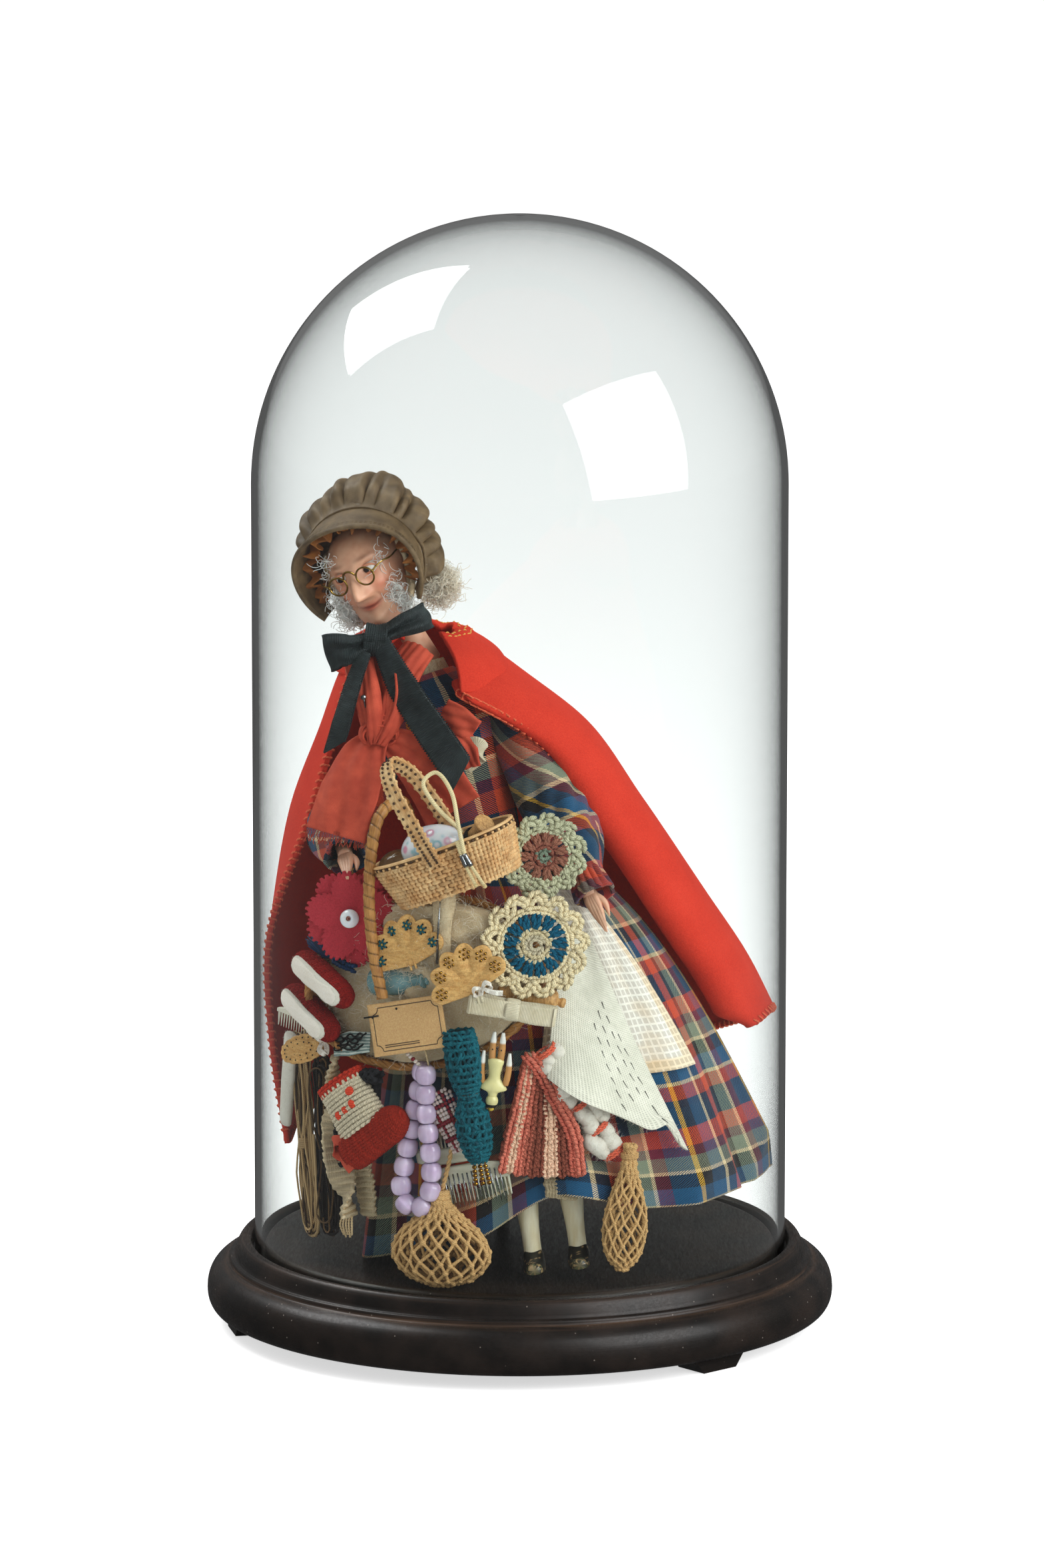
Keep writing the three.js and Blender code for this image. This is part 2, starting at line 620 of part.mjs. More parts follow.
function addHead() {
  const skull = joined(ovalLoft(HEAD_ROWS, 14), ovalLoft(NOSE_ROWS, 6));
  const neckFoot = inHead(upper.localToWorld(vec(0, 0, TORSO_TOP + CLEARANCE)));
  const neck = bar([neckFoot, vec(0, 1, -8)], NECK_RADIUS, 2, 10);
  piece("head", joined(skull, neck), "flesh", head);
  const lens = (side) => {
    const ring = new THREE.TorusGeometry(LENS_RADIUS, WIRE_RADIUS, 4, 12).rotateX(Math.PI / 2);
    return ring.translate(side * LENS_APART, LENS_Y, 1);
  };
  const hinge = LENS_APART + LENS_RADIUS;
  const temple = (side) => {
    const bend = vec(side * (hinge + 6), LENS_Y + 8.6, 3);
    return bar([vec(side * hinge, LENS_Y, 2), bend, vec(side * (hinge + 7), -3, 3)], WIRE_RADIUS, 3, 4);
  };
  const nose = LENS_APART - LENS_RADIUS + WIRE_RADIUS;
  const arch = [vec(-nose, LENS_Y, 3.6), vec(0, LENS_Y - 0.4, 5), vec(nose, LENS_Y, 3.6)];
  const bridge = bar(arch, WIRE_RADIUS, 2, 4);
  piece("spectacles", joined(lens(-1), lens(1), bridge, temple(-1), temple(1)), "brass", head);
  const hairDepth = 2;
  const rows = HEAD_ROWS.slice(1, 6);
  const cap = sheet((u, v) => {
    const [z, halfX, halfY, middle] = rows[Math.round(v * (rows.length - 1))];
    const angle = deg(lerp(-48, 228, u));
    const out = 2 * CLEARANCE + hairDepth;
    return vec((halfX + out) * Math.cos(angle), middle + (halfY + out) * Math.sin(angle), z);
  }, 10, rows.length - 1, hairDepth);
  const lock = ball(8, 8, 10, 8, 6).translate(17, 9, -9);
  piece("hair", joined(cap, lock), "hair", head);
}

function addSupport() {
  const rodFoot = ROD_FOOT.clone().setZ(PLATFORM_Z - ROD_SOCKET);
  const rod = bar([rodFoot, ROD_FOOT.clone().setZ(PLATFORM_Z + 14), ROD_TOP], ROD_RADIUS, 6, 10);
  const cradleCentre = inUpper(ROD_TOP);
  const hoop = Array.from({ length: 9 }, (_, i) => {
    const angle = deg(lerp(-8, 188, i / 8));
    return vec(CRADLE_HALF * Math.cos(angle), cradleCentre.y * Math.sin(angle), cradleCentre.z - ROD_RADIUS);
  });
  const cradle = bar(hoop, ROD_RADIUS * 0.7, 16, 6).applyMatrix4(upper.matrixWorld);
  piece("support_stand", joined(rod, cradle), "iron");
}

// Clothes

/** The skirt's surface: u turns round from the right-hand side, v falls from waist to hem. */
function skirtPoint(u, v, out = 0) {
  const angle = 2 * Math.PI * u;
  const wide = Math.pow(v, FLARE.x);
  const fold = 1 + SKIRT_FOLD_DEPTH * v * Math.cos(SKIRT_FOLDS * angle + 0.6);
  const halfX = lerp(WAIST_HALF.x, HEM_HALF.x, wide) * fold + out;
  const [aside, fallen] = [(u - TUCK.turn) / TUCK.width, (v - TUCK.fall) / TUCK.height];
  const tuck = TUCK.depth * Math.exp(-aside * aside - fallen * fallen);
  const halfY = lerp(WAIST_HALF.y, HEM_HALF.y, Math.pow(v, FLARE.y)) * (fold - tuck) + out;
  const sideways = halfX * Math.cos(angle);
  const x = lerp(WAIST.x, HEM.x, wide) + sideways;
  const y = lerp(WAIST.y, HEM.y, v) + halfY * Math.sin(angle);
  const z = lerp(WAIST.z, HEM.z, v) + (sideways < 0 ? HEM_SLOPE.left : HEM_SLOPE.right) * v * sideways;
  return underGlass(vec(x, y, z), GLASS_MARGIN + CLOTH - out / 2);
}

/** A puffed sleeve round an arm, from below the shoulder to a drawn-in cuff. */
function sleeveGeometry(side, elbow, wrist) {
  const path = armPath(side, elbow, wrist);
  const steps = SLEEVE_RADII.length - 1;
  return sheet((u, v) => {
    const along = lerp(SLEEVE_FROM, 1, v);
    const run = path.getTangent(along);
    const across = run.clone().cross(vec(0, 1, 0)).normalize();
    const angle = 2 * Math.PI * u;
    const rank = Math.round(v * steps);
    const radius = SLEEVE_RADII[rank] * (1 + SLEEVE_FOLD * Math.sin(5 * angle + rank));
    return path
      .getPoint(along)
      .addScaledVector(across, radius * Math.cos(angle))
      .addScaledVector(run.cross(across), radius * Math.sin(angle));
  }, 11, steps, CLOTH, true);
}

function addDress() {
  piece("skirt", sheet((u, v) => skirtPoint(u, v), 36, 6, CLOTH, true), "plaid");
  const rows = TORSO_ROWS.slice(4, 9);
  const bodice = sheet((u, v) => {
    const rank = v * (rows.length - 1);
    const low = Math.min(Math.floor(rank), rows.length - 2);
    const [z, halfX, halfY] = [0, 1, 2].map((k) => lerp(rows[low][k], rows[low + 1][k], rank - low));
    const angle = 2 * Math.PI * u;
    const ease = 2 * CLEARANCE + CLOTH;
    return vec((halfX + ease) * Math.cos(angle), (halfY + ease) * Math.sin(angle), z);
  }, 14, 5, CLOTH, true);
  piece("bodice", bodice, "plaid", upper);
  const apronFrom = 0.735;
  const apronTo = 0.895;
  const apronDrop = 0.6;
  const apron = (u, v) => {
    const spread = lerp(0.35, 1, v);
    const middle = (apronFrom + apronTo) / 2;
    const turn = middle + (u - 0.5) * (apronTo - apronFrom) * spread;
    return skirtPoint(turn, lerp(0.04, apronDrop, v), 2 * CLOTH);
  };
  piece("apron", sheet(apron, 8, 6, CLOTH), "muslin");
  const needleCloth = (u, v) => {
    const turn = lerp(0.785, 0.83, u) + lerp(-0.012, 0.022, v) * (2 * u - 1) + 0.02 * v;
    return skirtPoint(turn, lerp(0.16, 0.66 + 0.1 * u, v), 4 * CLOTH);
  };
  piece("needle_cloth", sheet(needleCloth, 6, 6, CLOTH), "muslin");
}

// The cape's edges and back, each from neck to hem
const CAPE_GUIDES = [
  [
    vec(-66, -40, 274), vec(-75, -40, 243), vec(-84, -34, 212),
    vec(-101, -14, 160), vec(-100, -14, 118), vec(-94, -15, 76),
  ],
  [
    vec(-67, -20, 278), vec(-80, -16, 246), vec(-92, -8, 212),
    vec(-99, 14, 160), vec(-96, 22, 118), vec(-90, 26, 78),
  ],
  [
    vec(-56, -2, 281), vec(-66, 12, 248), vec(-76, 26, 212),
    vec(-80, 44, 160), vec(-78, 50, 120), vec(-74, 54, 82),
  ],
  [
    vec(-36, 6, 282), vec(-34, 22, 248), vec(-30, 38, 212),
    vec(-24, 56, 160), vec(-16, 64, 122), vec(-8, 70, 88),
  ],
  [
    vec(-16, 0, 279), vec(2, 16, 252), vec(14, 32, 216),
    vec(32, 46, 168), vec(50, 52, 134), vec(64, 54, 104),
  ],
  [
    vec(-6, -20, 274), vec(24, -6, 250), vec(44, 0, 218),
    vec(70, 8, 178), vec(89, 10, 150), vec(102, 8, 126),
  ],
  [
    vec(-10, -38, 271), vec(24, -36, 249), vec(44, -36, 217),
    vec(68, -30, 176), vec(85, -27, 149), vec(97, -23, 126),
  ],
  [
    vec(-24, -48, 267), vec(14, -50, 245), vec(34, -52, 213),
    vec(58, -47, 172), vec(74, -42, 147), vec(86, -38, 124),
  ],
];

function addCape() {
  const columns = CAPE_GUIDES.map((guide) => new THREE.CatmullRomCurve3(guide));
  const surface = (u, v) => {
    const round = new THREE.CatmullRomCurve3(columns.map((column) => column.getPoint(v)));
    const point = round.getPoint(u).multiply(vec(ROOM_SCALE, ROOM_SCALE, 1));
    const wave = 2.2 * v * Math.sin(Math.PI * u) * Math.cos(7 * Math.PI * u);
    return underGlass(point.add(vec(0, wave, 0)), FELT);
  };
  piece("cape", sheet(surface, 20, 6, FELT), "scarlet");
  const middle = vec(-38, -18, 286);
  const collar = (u, v) => {
    const angle = deg(lerp(-62, 232, u));
    const ripple = 1 + 0.05 * Math.sin(14 * Math.PI * u);
    const out = (16 + 13 * v) * ripple;
    const fall = 8 - 12 * v - 4 * v * Math.cos(angle);
    return middle.clone().add(vec(out * 1.05 * Math.cos(angle), out * Math.sin(angle), fall));
  };
  piece("cape_collar", sheet(collar, 20, 2, FELT), "scarlet");
}

function addBonnet() {
  const rimTilt = 0.25;
  const crown = (u, v) => {
    const angle = deg(lerp(-34, 214, u));
    const swell = Math.sin(Math.PI * Math.min(1, 0.32 + 0.68 * v));
    const gather = 1 + 0.045 * (1 - v) * Math.cos(10 * angle);
    const out = (1.5 + 26 * Math.pow(swell, 0.75)) * gather;
    const z = 6 + 5 * v + out * Math.sin(angle);
    return vec(out * Math.cos(angle), -3 + 30 * v + rimTilt * z, z);
  };
  piece("bonnet_crown", sheet(crown, 20, 5, SILK), "bronze", head);
  const brim = (u, v) => {
    const angle = deg(lerp(-38, 218, u));
    const reach = 4 + 16 * Math.pow(Math.max(0, Math.sin((Math.PI * (angle + deg(50))) / deg(280))), 1.2);
    const out = lerp(23.4, 27.5, v);
    const z = 5 + out * Math.sin(angle);
    return vec(out * Math.cos(angle), -3.9 - reach * v + rimTilt * z, z);
  };
  piece("bonnet_brim", sheet(brim, 16, 2, SILK * 1.5), "bronze", head);
}

/** A flat bow loop of ribbon from its knot to its tip. */
function bowLoop(knot, tip, width, swell) {
  const axis = tip.clone().sub(knot);
  const up = vec(0, 0, 1).addScaledVector(axis, -axis.z / axis.lengthSq()).normalize();
  const out = axis.clone().cross(up).normalize();
  return sheet((u, v) => {
    const angle = 2 * Math.PI * u;
    const along = 0.5 - 0.5 * Math.cos(angle);
    return knot
      .clone()
      .addScaledVector(axis, along)
      .addScaledVector(out, swell * Math.sin(angle))
      .addScaledVector(up, (v - 0.5) * width * (0.45 + 0.55 * along));
  }, 8, 1, SILK, true);
}

function addNeckwear() {
  const knot = vec(-57, -55, 290);
  const bow = joined(
    bowLoop(knot, vec(-77, -52, 283), 15, 4),
    bowLoop(knot, vec(-36, -53, 295), 10, 3),
    ball(4.5, 3.2, 5, 8, 6).translate(knot.x, knot.y, knot.z),
  );
  piece("ribbon_bow", bow, "black");
  const rightTail = [vec(-55, -58.7, 290), vec(-46, -62, 272), vec(-34, -66, 254), vec(-23, -69, 238)];
  piece("ribbon_tail_right", strip(rightTail, [7, 12, 13, 13], vec(0.85, -0.1, 0.5), SILK, 5), "black");
  const leftTail = [vec(-61, -59.5, 286), vec(-66, -62, 272), vec(-70, -64, 258), vec(-73, -64, 248)];
  piece("ribbon_tail_left", strip(leftTail, [6, 8, 8, 8], vec(0.9, -0.4, -0.2), SILK, 5), "black");
  const tie = vec(-54, -54, 264);
  const leftEnd = [tie, vec(-61, -58, 246), vec(-67, -63, 230), vec(-71, -66, 213)];
  const rightEnd = [tie, vec(-43, -58, 250), vec(-34, -60, 237), vec(-25, -61, 224)];
  const roll = [10, 13, 12];
  const kerchief = joined(
    ball(9, 5, 13, 8, 5).translate(tie.x, tie.y, tie.z),
    strip([tie, vec(-62, -50, 278), vec(-65, -44, 286)], roll, vec(0.9, 0.2, 0.3), 2 * CLOTH, 3, 0.8),
    strip([tie, vec(-46, -48, 276), vec(-40, -42, 283)], roll, vec(0.9, -0.2, -0.3), 2 * CLOTH, 3, 0.8),
    strip(leftEnd, [8, 22, 26, 22], vec(1, -0.1, 0.1), CLOTH, 4, 1.5),
    strip(rightEnd, [8, 20, 24, 22], vec(1, -0.1, 0.25), CLOTH, 4, 1.5),
  );
  piece("kerchief", kerchief, "coral");
}

// Tray, baskets and what lies in them

const tray = new THREE.Group();
tray.position.copy(TRAY_CENTRE);
tray.rotation.set(deg(TRAY_TILT.back), deg(TRAY_TILT.roll), deg(TRAY_TILT.turn), "ZXY");
pedlar.add(tray);
pedlar.updateMatrixWorld(true);

/** An upright oval of points in the tray's own frame, at depth y. */
function trayOval(y, grow) {
  return oval(vec(0, 0, 0), TRAY_HALF.x + grow, TRAY_HALF.z + grow, TRAY_SIDES).map((p) => vec(p.x, y, p.y));
}

function addTray() {
  const flare = 6;
  const outside = loft([trayOval(0, -flare), trayOval(-TRAY_DEPTH / 2, -1), trayOval(-TRAY_DEPTH, 0)]);
  const inside = loft([
    trayOval(-TRAY_WALL, -flare - TRAY_WALL),
    trayOval(-TRAY_DEPTH / 2, -1 - TRAY_WALL),
    trayOval(-TRAY_DEPTH - 1, -TRAY_WALL),
  ]);
  piece("tray", without(outside, inside), "wicker", tray);
  const seat = flare + TRAY_WALL + CLEARANCE;
  const rings = [
    trayOval(-TRAY_WALL - CLEARANCE, -seat),
    trayOval(-TRAY_DEPTH / 2, -seat),
    trayOval(-TRAY_DEPTH - CLEARANCE, -TRAY_WALL - 2 * CLEARANCE),
    trayOval(-TRAY_DEPTH - FLEECE_RISE * 0.5, -4),
    trayOval(-TRAY_DEPTH - FLEECE_RISE * 0.9, -16),
    trayOval(-TRAY_DEPTH - FLEECE_RISE, -28),
  ];
  const heaped = 3;
  const bed = loft(
    rings.map((ring, j) => ring.map((p) => underGlass(tray.localToWorld(p), j < heaped ? 0 : FLEECE_BEHIND))),
  );
  piece("fleece_bed", bed, "fleece");
  const hoop = [
    vec(-54, -81, 150), vec(-58, -79, 172), vec(-59, -77, 200), vec(-55, -70, 222),
    vec(-47, -60, 226), vec(-42, -54, 212), vec(-41, -52, 196),
  ];
  piece("tray_handle", bar(hoop, 2.3, 14, 7), "wicker");
}

function addEggBasket() {
  const half = BASKET_HEIGHT / 2;
  const outside = loft([
    oval(vec(0, 0, -half), BASKET_HALF.x - 7, BASKET_HALF.y - 4, 16),
    oval(vec(0, 0, 0), BASKET_HALF.x - 2, BASKET_HALF.y - 1, 16),
    oval(vec(0, 0, half), BASKET_HALF.x, BASKET_HALF.y, 16),
  ]);
  const [inX, inY] = [BASKET_HALF.x - BASKET_WALL, BASKET_HALF.y - BASKET_WALL];
  const inside = loft([
    oval(vec(0, 0, BASKET_FLOOR - half), inX - 4, inY - 2, 16),
    oval(vec(0, 0, half + 1), inX, inY, 16),
  ]);
  const foot = BASKET_HALF.y - BASKET_WALL / 2;
  const top = half + BASKET_HANDLE_RISE;
  const arch = [
    vec(0, -foot, half - 3), vec(-3, -foot, half + 9), vec(-8, -foot * 0.75, top - 8), vec(-10, 0, top),
    vec(-8, foot * 0.75, top - 8), vec(-3, foot, half + 9), vec(0, foot, half - 3),
  ];
  const handle = strip(arch, [6, 6], vec(1, 0, 0.15), BASKET_WALL, 14);
  const basket = ware("egg_basket", joined(without(outside, inside), handle), "wicker");
  const egg = piece("opal_egg", ball(EGG_HALF.x, EGG_HALF.y, EGG_HALF.z, 14, 8), "opal", basket);
  egg.position.set(-5.5, 0, BASKET_FLOOR - half + EGG_HALF.z + CLEARANCE);
  const lace = [
    vec(10, -4, 12), vec(6, -13, 28), vec(3, -9, 36), vec(8, -6, 38),
    vec(13, -9, 30), vec(14, -15, 16), vec(13, -16.4, 0),
  ];
  piece("bootlace", bar(lace, LACE_RADIUS * 1.3, 18, 5), "string", basket);
}

/** A scalloped outline about the origin. */
function scallops(radius, count, depth, from = 0, to = 360) {
  const steps = count * 3;
  return Array.from({ length: steps + 1 }, (_, i) => {
    const angle = deg(lerp(from, to, i / steps));
    const out = radius + depth * Math.abs(Math.sin((Math.PI * count * i) / steps));
    return new THREE.Vector2(out * Math.cos(angle), out * Math.sin(angle));
  });
}

/** A comb's outline: back bar with teeth below. */
function combOutline(length, height, back) {
  const pitch = length / (2 * COMB_TEETH - 1);
  const outline = new THREE.Shape();
  outline.moveTo(-length / 2, height / 2);
  for (let i = 0; i < COMB_TEETH; i++) {
    const x = -length / 2 + 2 * i * pitch;
    outline.lineTo(x, i === 0 ? height / 2 : height / 2 - back);
    outline.lineTo(x, -height / 2);
    outline.lineTo(x + pitch, -height / 2);
    outline.lineTo(x + pitch, i === COMB_TEETH - 1 ? height / 2 : height / 2 - back);
  }
  return outline;
}

/** A knitted slipper or bootee foot: rows along its length of [x, half width, height]. */
function shoeLoft(rows) {
  const section = (half, tall) => oval(vec(0, 0, 0), half, tall / 2, 8);
  return loft(rows.map(([x, half, tall]) => section(half, tall).map((p) => vec(x, p.x, p.y))));
}

/** Points of a hank wound outward in steady loops with straight sides and round ends. */
function hankPoints(height, innerHalf) {
  return Array.from({ length: HANK_LOOPS * LOOP_STEPS + 1 }, (_, i) => {
    const angle = (2 * Math.PI * i) / LOOP_STEPS;
    const half = innerHalf + (HANK_STEP * i) / LOOP_STEPS;
    const straight = height / 2 - innerHalf - HANK_LOOPS * HANK_STEP;
    const run = straight * THREE.MathUtils.clamp(2.5 * Math.sin(angle), -1, 1);
    return vec(half * Math.cos(angle), 0, run + half * Math.sin(angle));
  });
}

/** The least gap between turns of a bar that follows the points. */
function leastGap(points, radius, skip) {
  let least = Infinity;
  for (let i = 0; i < points.length; i++) {
    for (let j = i + skip; j < points.length; j++) least = Math.min(least, points[i].distanceTo(points[j]));
  }
  return least - 2 * radius;
}

function hankGeometry(label, height, innerHalf) {
  const points = hankPoints(height, innerHalf);
  const gap = leastGap(points, LACE_RADIUS, LOOP_STEPS / 2);
  console.log(`${label}: least gap between loops ${gap.toFixed(2)} mm`);
  const rings = points.map((point, i) => {
    const ahead = points[Math.min(i + 1, points.length - 1)];
    const run = ahead.clone().sub(points[Math.max(i - 1, 0)]).normalize();
    const side = run.clone().cross(vec(0, 1, 0)).normalize();
    const lift = side.clone().cross(run);
    return Array.from({ length: LACE_SIDES }, (_, k) => {
      const turn = (2 * Math.PI * k) / LACE_SIDES;
      const out = side.clone().multiplyScalar(Math.cos(turn)).addScaledVector(lift, Math.sin(turn));
      return point.clone().addScaledVector(out, LACE_RADIUS);
    });
  });
  return loft(rings);
}

function addTrayWares() {
  const petals = new THREE.Shape(scallops(13, 5, 6));
  const heart = ball(3.4, 3.4, 3.4).translate(0, -2, 0);
  ware("penwiper", joined(plate(petals, 4), heart), "scarlet");
  const ring = new THREE.Shape(scallops(17.5, 14, 2.6));
  ring.holes.push(new THREE.Path(scallops(4, 6, 1.2)));
  ware("doily_teal", plate(ring, 1.8), "cream");
  ware("doily_green", plate(new THREE.Shape(scallops(13.4, 12, 2.2)), 1.8), "green");
  const fan = new THREE.Shape([new THREE.Vector2(0, -4), ...scallops(14, 6, 2.6, -8, 188)]);
  ware("fan_left", plate(fan, 2), "card");
  ware("fan_right", plate(fan, 2), "card");
  const bottle = [[0, -13], [5, -13], [5.6, -12], [5.6, 2], [3, 7], [2.4, 10], [3.3, 11], [3.3, 13], [0, 13]];
  ware("glass_bottle", turned(bottle, 12), "blue");
  const slipper = shoeLoft([
    [-16, 1.5, 3], [-14, 4, 5], [-6, 5, 6], [2, 4.6, 8], [10, 4.4, 8.5], [14, 3, 7], [15.5, 1, 4],
  ]);
  ware("slipper_upper", slipper, "scarlet");
  ware("slipper_lower", slipper.clone(), "scarlet");
  ware("ivory_comb", plate(combOutline(22, 9, 3), 1.6), "ivory");
  const paddle = new THREE.Shape();
  paddle.absellipse(-7, 0, 10, 5.5, deg(12), deg(348), false, 0);
  paddle.lineTo(15, -1);
  paddle.lineTo(15, 1);
  ware("paddle_fan", plate(paddle, 1.4, 12), "wood");
  const card = new THREE.Shape();
  const [wide, tall, notch] = [16.5, 10.5, 3];
  card.moveTo(-wide + notch, -tall);
  card.lineTo(wide - notch, -tall);
  card.absarc(wide, -tall, notch, Math.PI, Math.PI / 2, true);
  card.absarc(wide, tall, notch, 1.5 * Math.PI, Math.PI, true);
  card.absarc(-wide, tall, notch, 0, -Math.PI / 2, true);
  card.absarc(-wide, -tall, notch, Math.PI / 2, 0, true);
  ware("trade_card", plate(card, 1, 3), "card");
  const tape = [[0, -17], [3.2, -17], [4, -15], [3.6, -2], [3, 0], [3.6, 2], [4, 15], [3.2, 17], [0, 17]];
  ware("tape_bundle", turned(tape, 12).rotateY(Math.PI / 2), "cream");
}

function addHangingWares() {
  ware("lace_hank_brown", hankGeometry("brown hank", 84, 1.4), "string");
  ware("lace_hank_black", hankGeometry("black hank", 74, 1.2), "black");
  const knit = [vec(3, 0, 32), vec(0, 0, 12), vec(-1, 0, -10), vec(1, 0, -32)];
  ware("knitted_strip", strip(knit, [6, 9, 12, 13], vec(1, 0, 0), 2.4, 8), "cream");
  const bootFoot = shoeLoft([
    [-15, 2, 4], [-12, 5.5, 9], [-3, 6.5, 12], [6, 6, 14], [10, 4.5, 12], [12, 1.5, 6],
  ]);
  const bootLeg = ovalLoft([[-2, 6, 5.5], [8, 6.4, 5.6], [20, 7.4, 6], [24, 7, 5.6]], 10).translate(5, 0, 0);
  ware("bootee", joined(bootFoot, bootLeg), "cream");
  const bead = (i) => {
    const rank = (i + 0.5) / (BEAD_COUNT / 2);
    const [side, down] = rank < 1 ? [1, rank] : [-1, 2 - rank];
    const pinch = Math.sin(Math.PI * down);
    const apart = lerp(BEAD_RADIUS - 0.7, BEAD_RADIUS + 0.9, pinch);
    return vec(side * apart, 0, BEAD_COUNT * BEAD_STEP * (0.5 - down));
  };
  const beads = Array.from({ length: BEAD_COUNT }, (_, i) => {
    const p = bead(i);
    return ball(BEAD_RADIUS, BEAD_RADIUS, BEAD_RADIUS, 6, 4).translate(p.x, p.y, p.z);
  });
  ware("bead_necklace", joined(...beads), "lilac");
  const purse = [
    [0, -30], [1.5, -29], [2.5, -26], [1.6, -24], [5.6, -16], [5, -4],
    [3, 2], [5.4, 12], [5.6, 22], [2.4, 28], [0, 28],
  ];
  ware("miser_purse", turned(purse, 10), "teal");
  const limbs = [-1, 1].map((side) => bar([vec(side * 2.4, 0, 2), vec(side * 3.6, 0, 15)], 1.3, 1, 5));
  const arms = [-1, 1].map((side) => bar([vec(side * 3, 0, -6), vec(side * 6, 0, 3)], 1.1, 1, 5));
  const trunk = turned([[0, -10], [3.6, -9], [4.4, -6], [3.2, -1], [3.8, 4], [0, 5]], 8);
  const poll = ball(3.4, 3.2, 3.8, 8, 5).translate(0, 0, -12.5);
  ware("peg_doll", joined(trunk, poll, ...limbs, ...arms), "wood");
  const ribs = new THREE.Shape(scallops(24, 9, 2.2, 242, 298).map((p) => new THREE.Vector2(p.x * 1.45, p.y)));
  ribs.lineTo(5, 27);
  ribs.lineTo(-7, 27);
  ware("ribbed_purse", plate(ribs, 5), "coral");
  const lumps = [-20, -8, 5, 18].map((z, i) => ball(5.4, 5, 8.5, 6, 4).translate((i % 2) * 1.6, 0, z));
  ware("wool_skein", joined(...lumps), "cream");
  ware("horn_comb", plate(combOutline(32, 15, 5), 1.8), "horn");
  const onion = [
    [-19, 5, 4], [-16, 14, 7.4], [-8, 20, 9], [1, 17, 8], [8, 9, 6], [14, 3.4, 3.2], [18, 2.4, 2.4],
  ];
  const drawstring = bar([vec(0, 0, 16), vec(4, 0, 34), vec(8, 1, 60)], 1, 4, 5);
  ware("net_bag_front", joined(ovalLoft(onion, 12), drawstring), "string");
  const slim = [[-26, 2, 2], [-20, 7, 4.6], [-8, 9, 5.4], [4, 6.5, 4.6], [14, 3, 3], [24, 2, 2]];
  ware("net_bag_right", ovalLoft(slim, 10), "string");
}

// Pieces that give way

/** Cut each mesh clear of the meshes before it, hard pieces first. */
function settle(meshes) {
  pedlar.updateMatrixWorld(true);
  const placed = [];
  const boxOf = (body) => {
    const { min, max } = body.boundingBox();
    return new THREE.Box3(vec(...min), vec(...max)).expandByScalar(ROOM);
  };
  for (const mesh of meshes) {
    let body = bodyOf(mesh.geometry.clone().applyMatrix4(mesh.matrixWorld));
    for (const other of placed) {
      if (!other.box.intersectsBox(boxOf(body))) continue;
      other.room ??= grown(other.body, ROOM);
      const before = body.volume();
      const cut = body.subtract(other.room);
      if (before - cut.volume() < WELD) continue;
      body = largest(cut);
    }
    mesh.geometry = geometryOf(body).applyMatrix4(mesh.matrixWorld.clone().invert());
    placed.push({ body, box: boxOf(body) });
  }
}

addPlinth();
addDome();
addSupport();
const legs = { right: legFrame(-1), left: legFrame(1) };
addTorso(Object.values(legs));
for (const [label, frame] of Object.entries(legs)) addLeg(label, frame);
const arms = {
  left: [1, inUpper(LEFT_ELBOW), inUpper(LEFT_WRIST)],
  right: [-1, inUpper(RIGHT_ELBOW), inUpper(RIGHT_WRIST)],
};
for (const [label, arm] of Object.entries(arms)) {
  piece(`arm_${label}`, armGeometry(...arm), "flesh", upper);
  piece(`sleeve_${label}`, sleeveGeometry(...arm), "plaid", upper);
}
addHead();
addTray();
addEggBasket();
addTrayWares();
addHangingWares();
addBonnet();
addNeckwear();
addDress();
addCape();

const meshes = [];
pedlar.traverse((item) => {
  if (item.isMesh) meshes.push(item);
});
const HARD_FIRST = /^(plinth|glass_dome|support|torso|thigh|shin|arm|head|spectacles|tray)/;
const SOFT_LAST = [
  "hair", "kerchief", "bodice", "cape_collar", "cape", "needle_cloth", "apron", "skirt", "fleece_bed",
];
const yields = (mesh) => (HARD_FIRST.test(mesh.name) ? -2 : SOFT_LAST.indexOf(mesh.name));
settle([...meshes].sort((a, b) => yields(a) - yields(b)));

export default pedlar;
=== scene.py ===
"""Pedlar doll under a glass dome: the looks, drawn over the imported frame.

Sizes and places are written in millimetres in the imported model's own frame, +Z up. They become metres when
a piece is made.
"""

from __future__ import annotations

import logging
import math
from collections.abc import Callable, Sequence
from dataclasses import dataclass, field
from enum import Enum

import bmesh
import bpy
import numpy as np
from mathutils import Matrix, Vector

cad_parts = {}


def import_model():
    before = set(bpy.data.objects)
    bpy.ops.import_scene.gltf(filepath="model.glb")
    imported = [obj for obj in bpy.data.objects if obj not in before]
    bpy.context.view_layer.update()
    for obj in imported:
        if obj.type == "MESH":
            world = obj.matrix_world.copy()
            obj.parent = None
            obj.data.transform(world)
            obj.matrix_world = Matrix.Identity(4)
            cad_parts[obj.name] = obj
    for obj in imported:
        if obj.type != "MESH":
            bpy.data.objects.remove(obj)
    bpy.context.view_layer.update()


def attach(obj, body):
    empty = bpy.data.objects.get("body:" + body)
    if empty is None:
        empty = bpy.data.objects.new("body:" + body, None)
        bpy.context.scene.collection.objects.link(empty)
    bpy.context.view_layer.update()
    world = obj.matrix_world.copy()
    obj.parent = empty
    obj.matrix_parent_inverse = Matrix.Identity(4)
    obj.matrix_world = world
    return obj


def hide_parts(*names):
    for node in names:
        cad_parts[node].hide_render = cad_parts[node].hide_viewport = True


LOG = logging.getLogger("pedlar")
MM = 0.001
TAU = 2 * math.pi

Point = tuple[float, float, float]
Paths = Sequence[Point] | np.ndarray


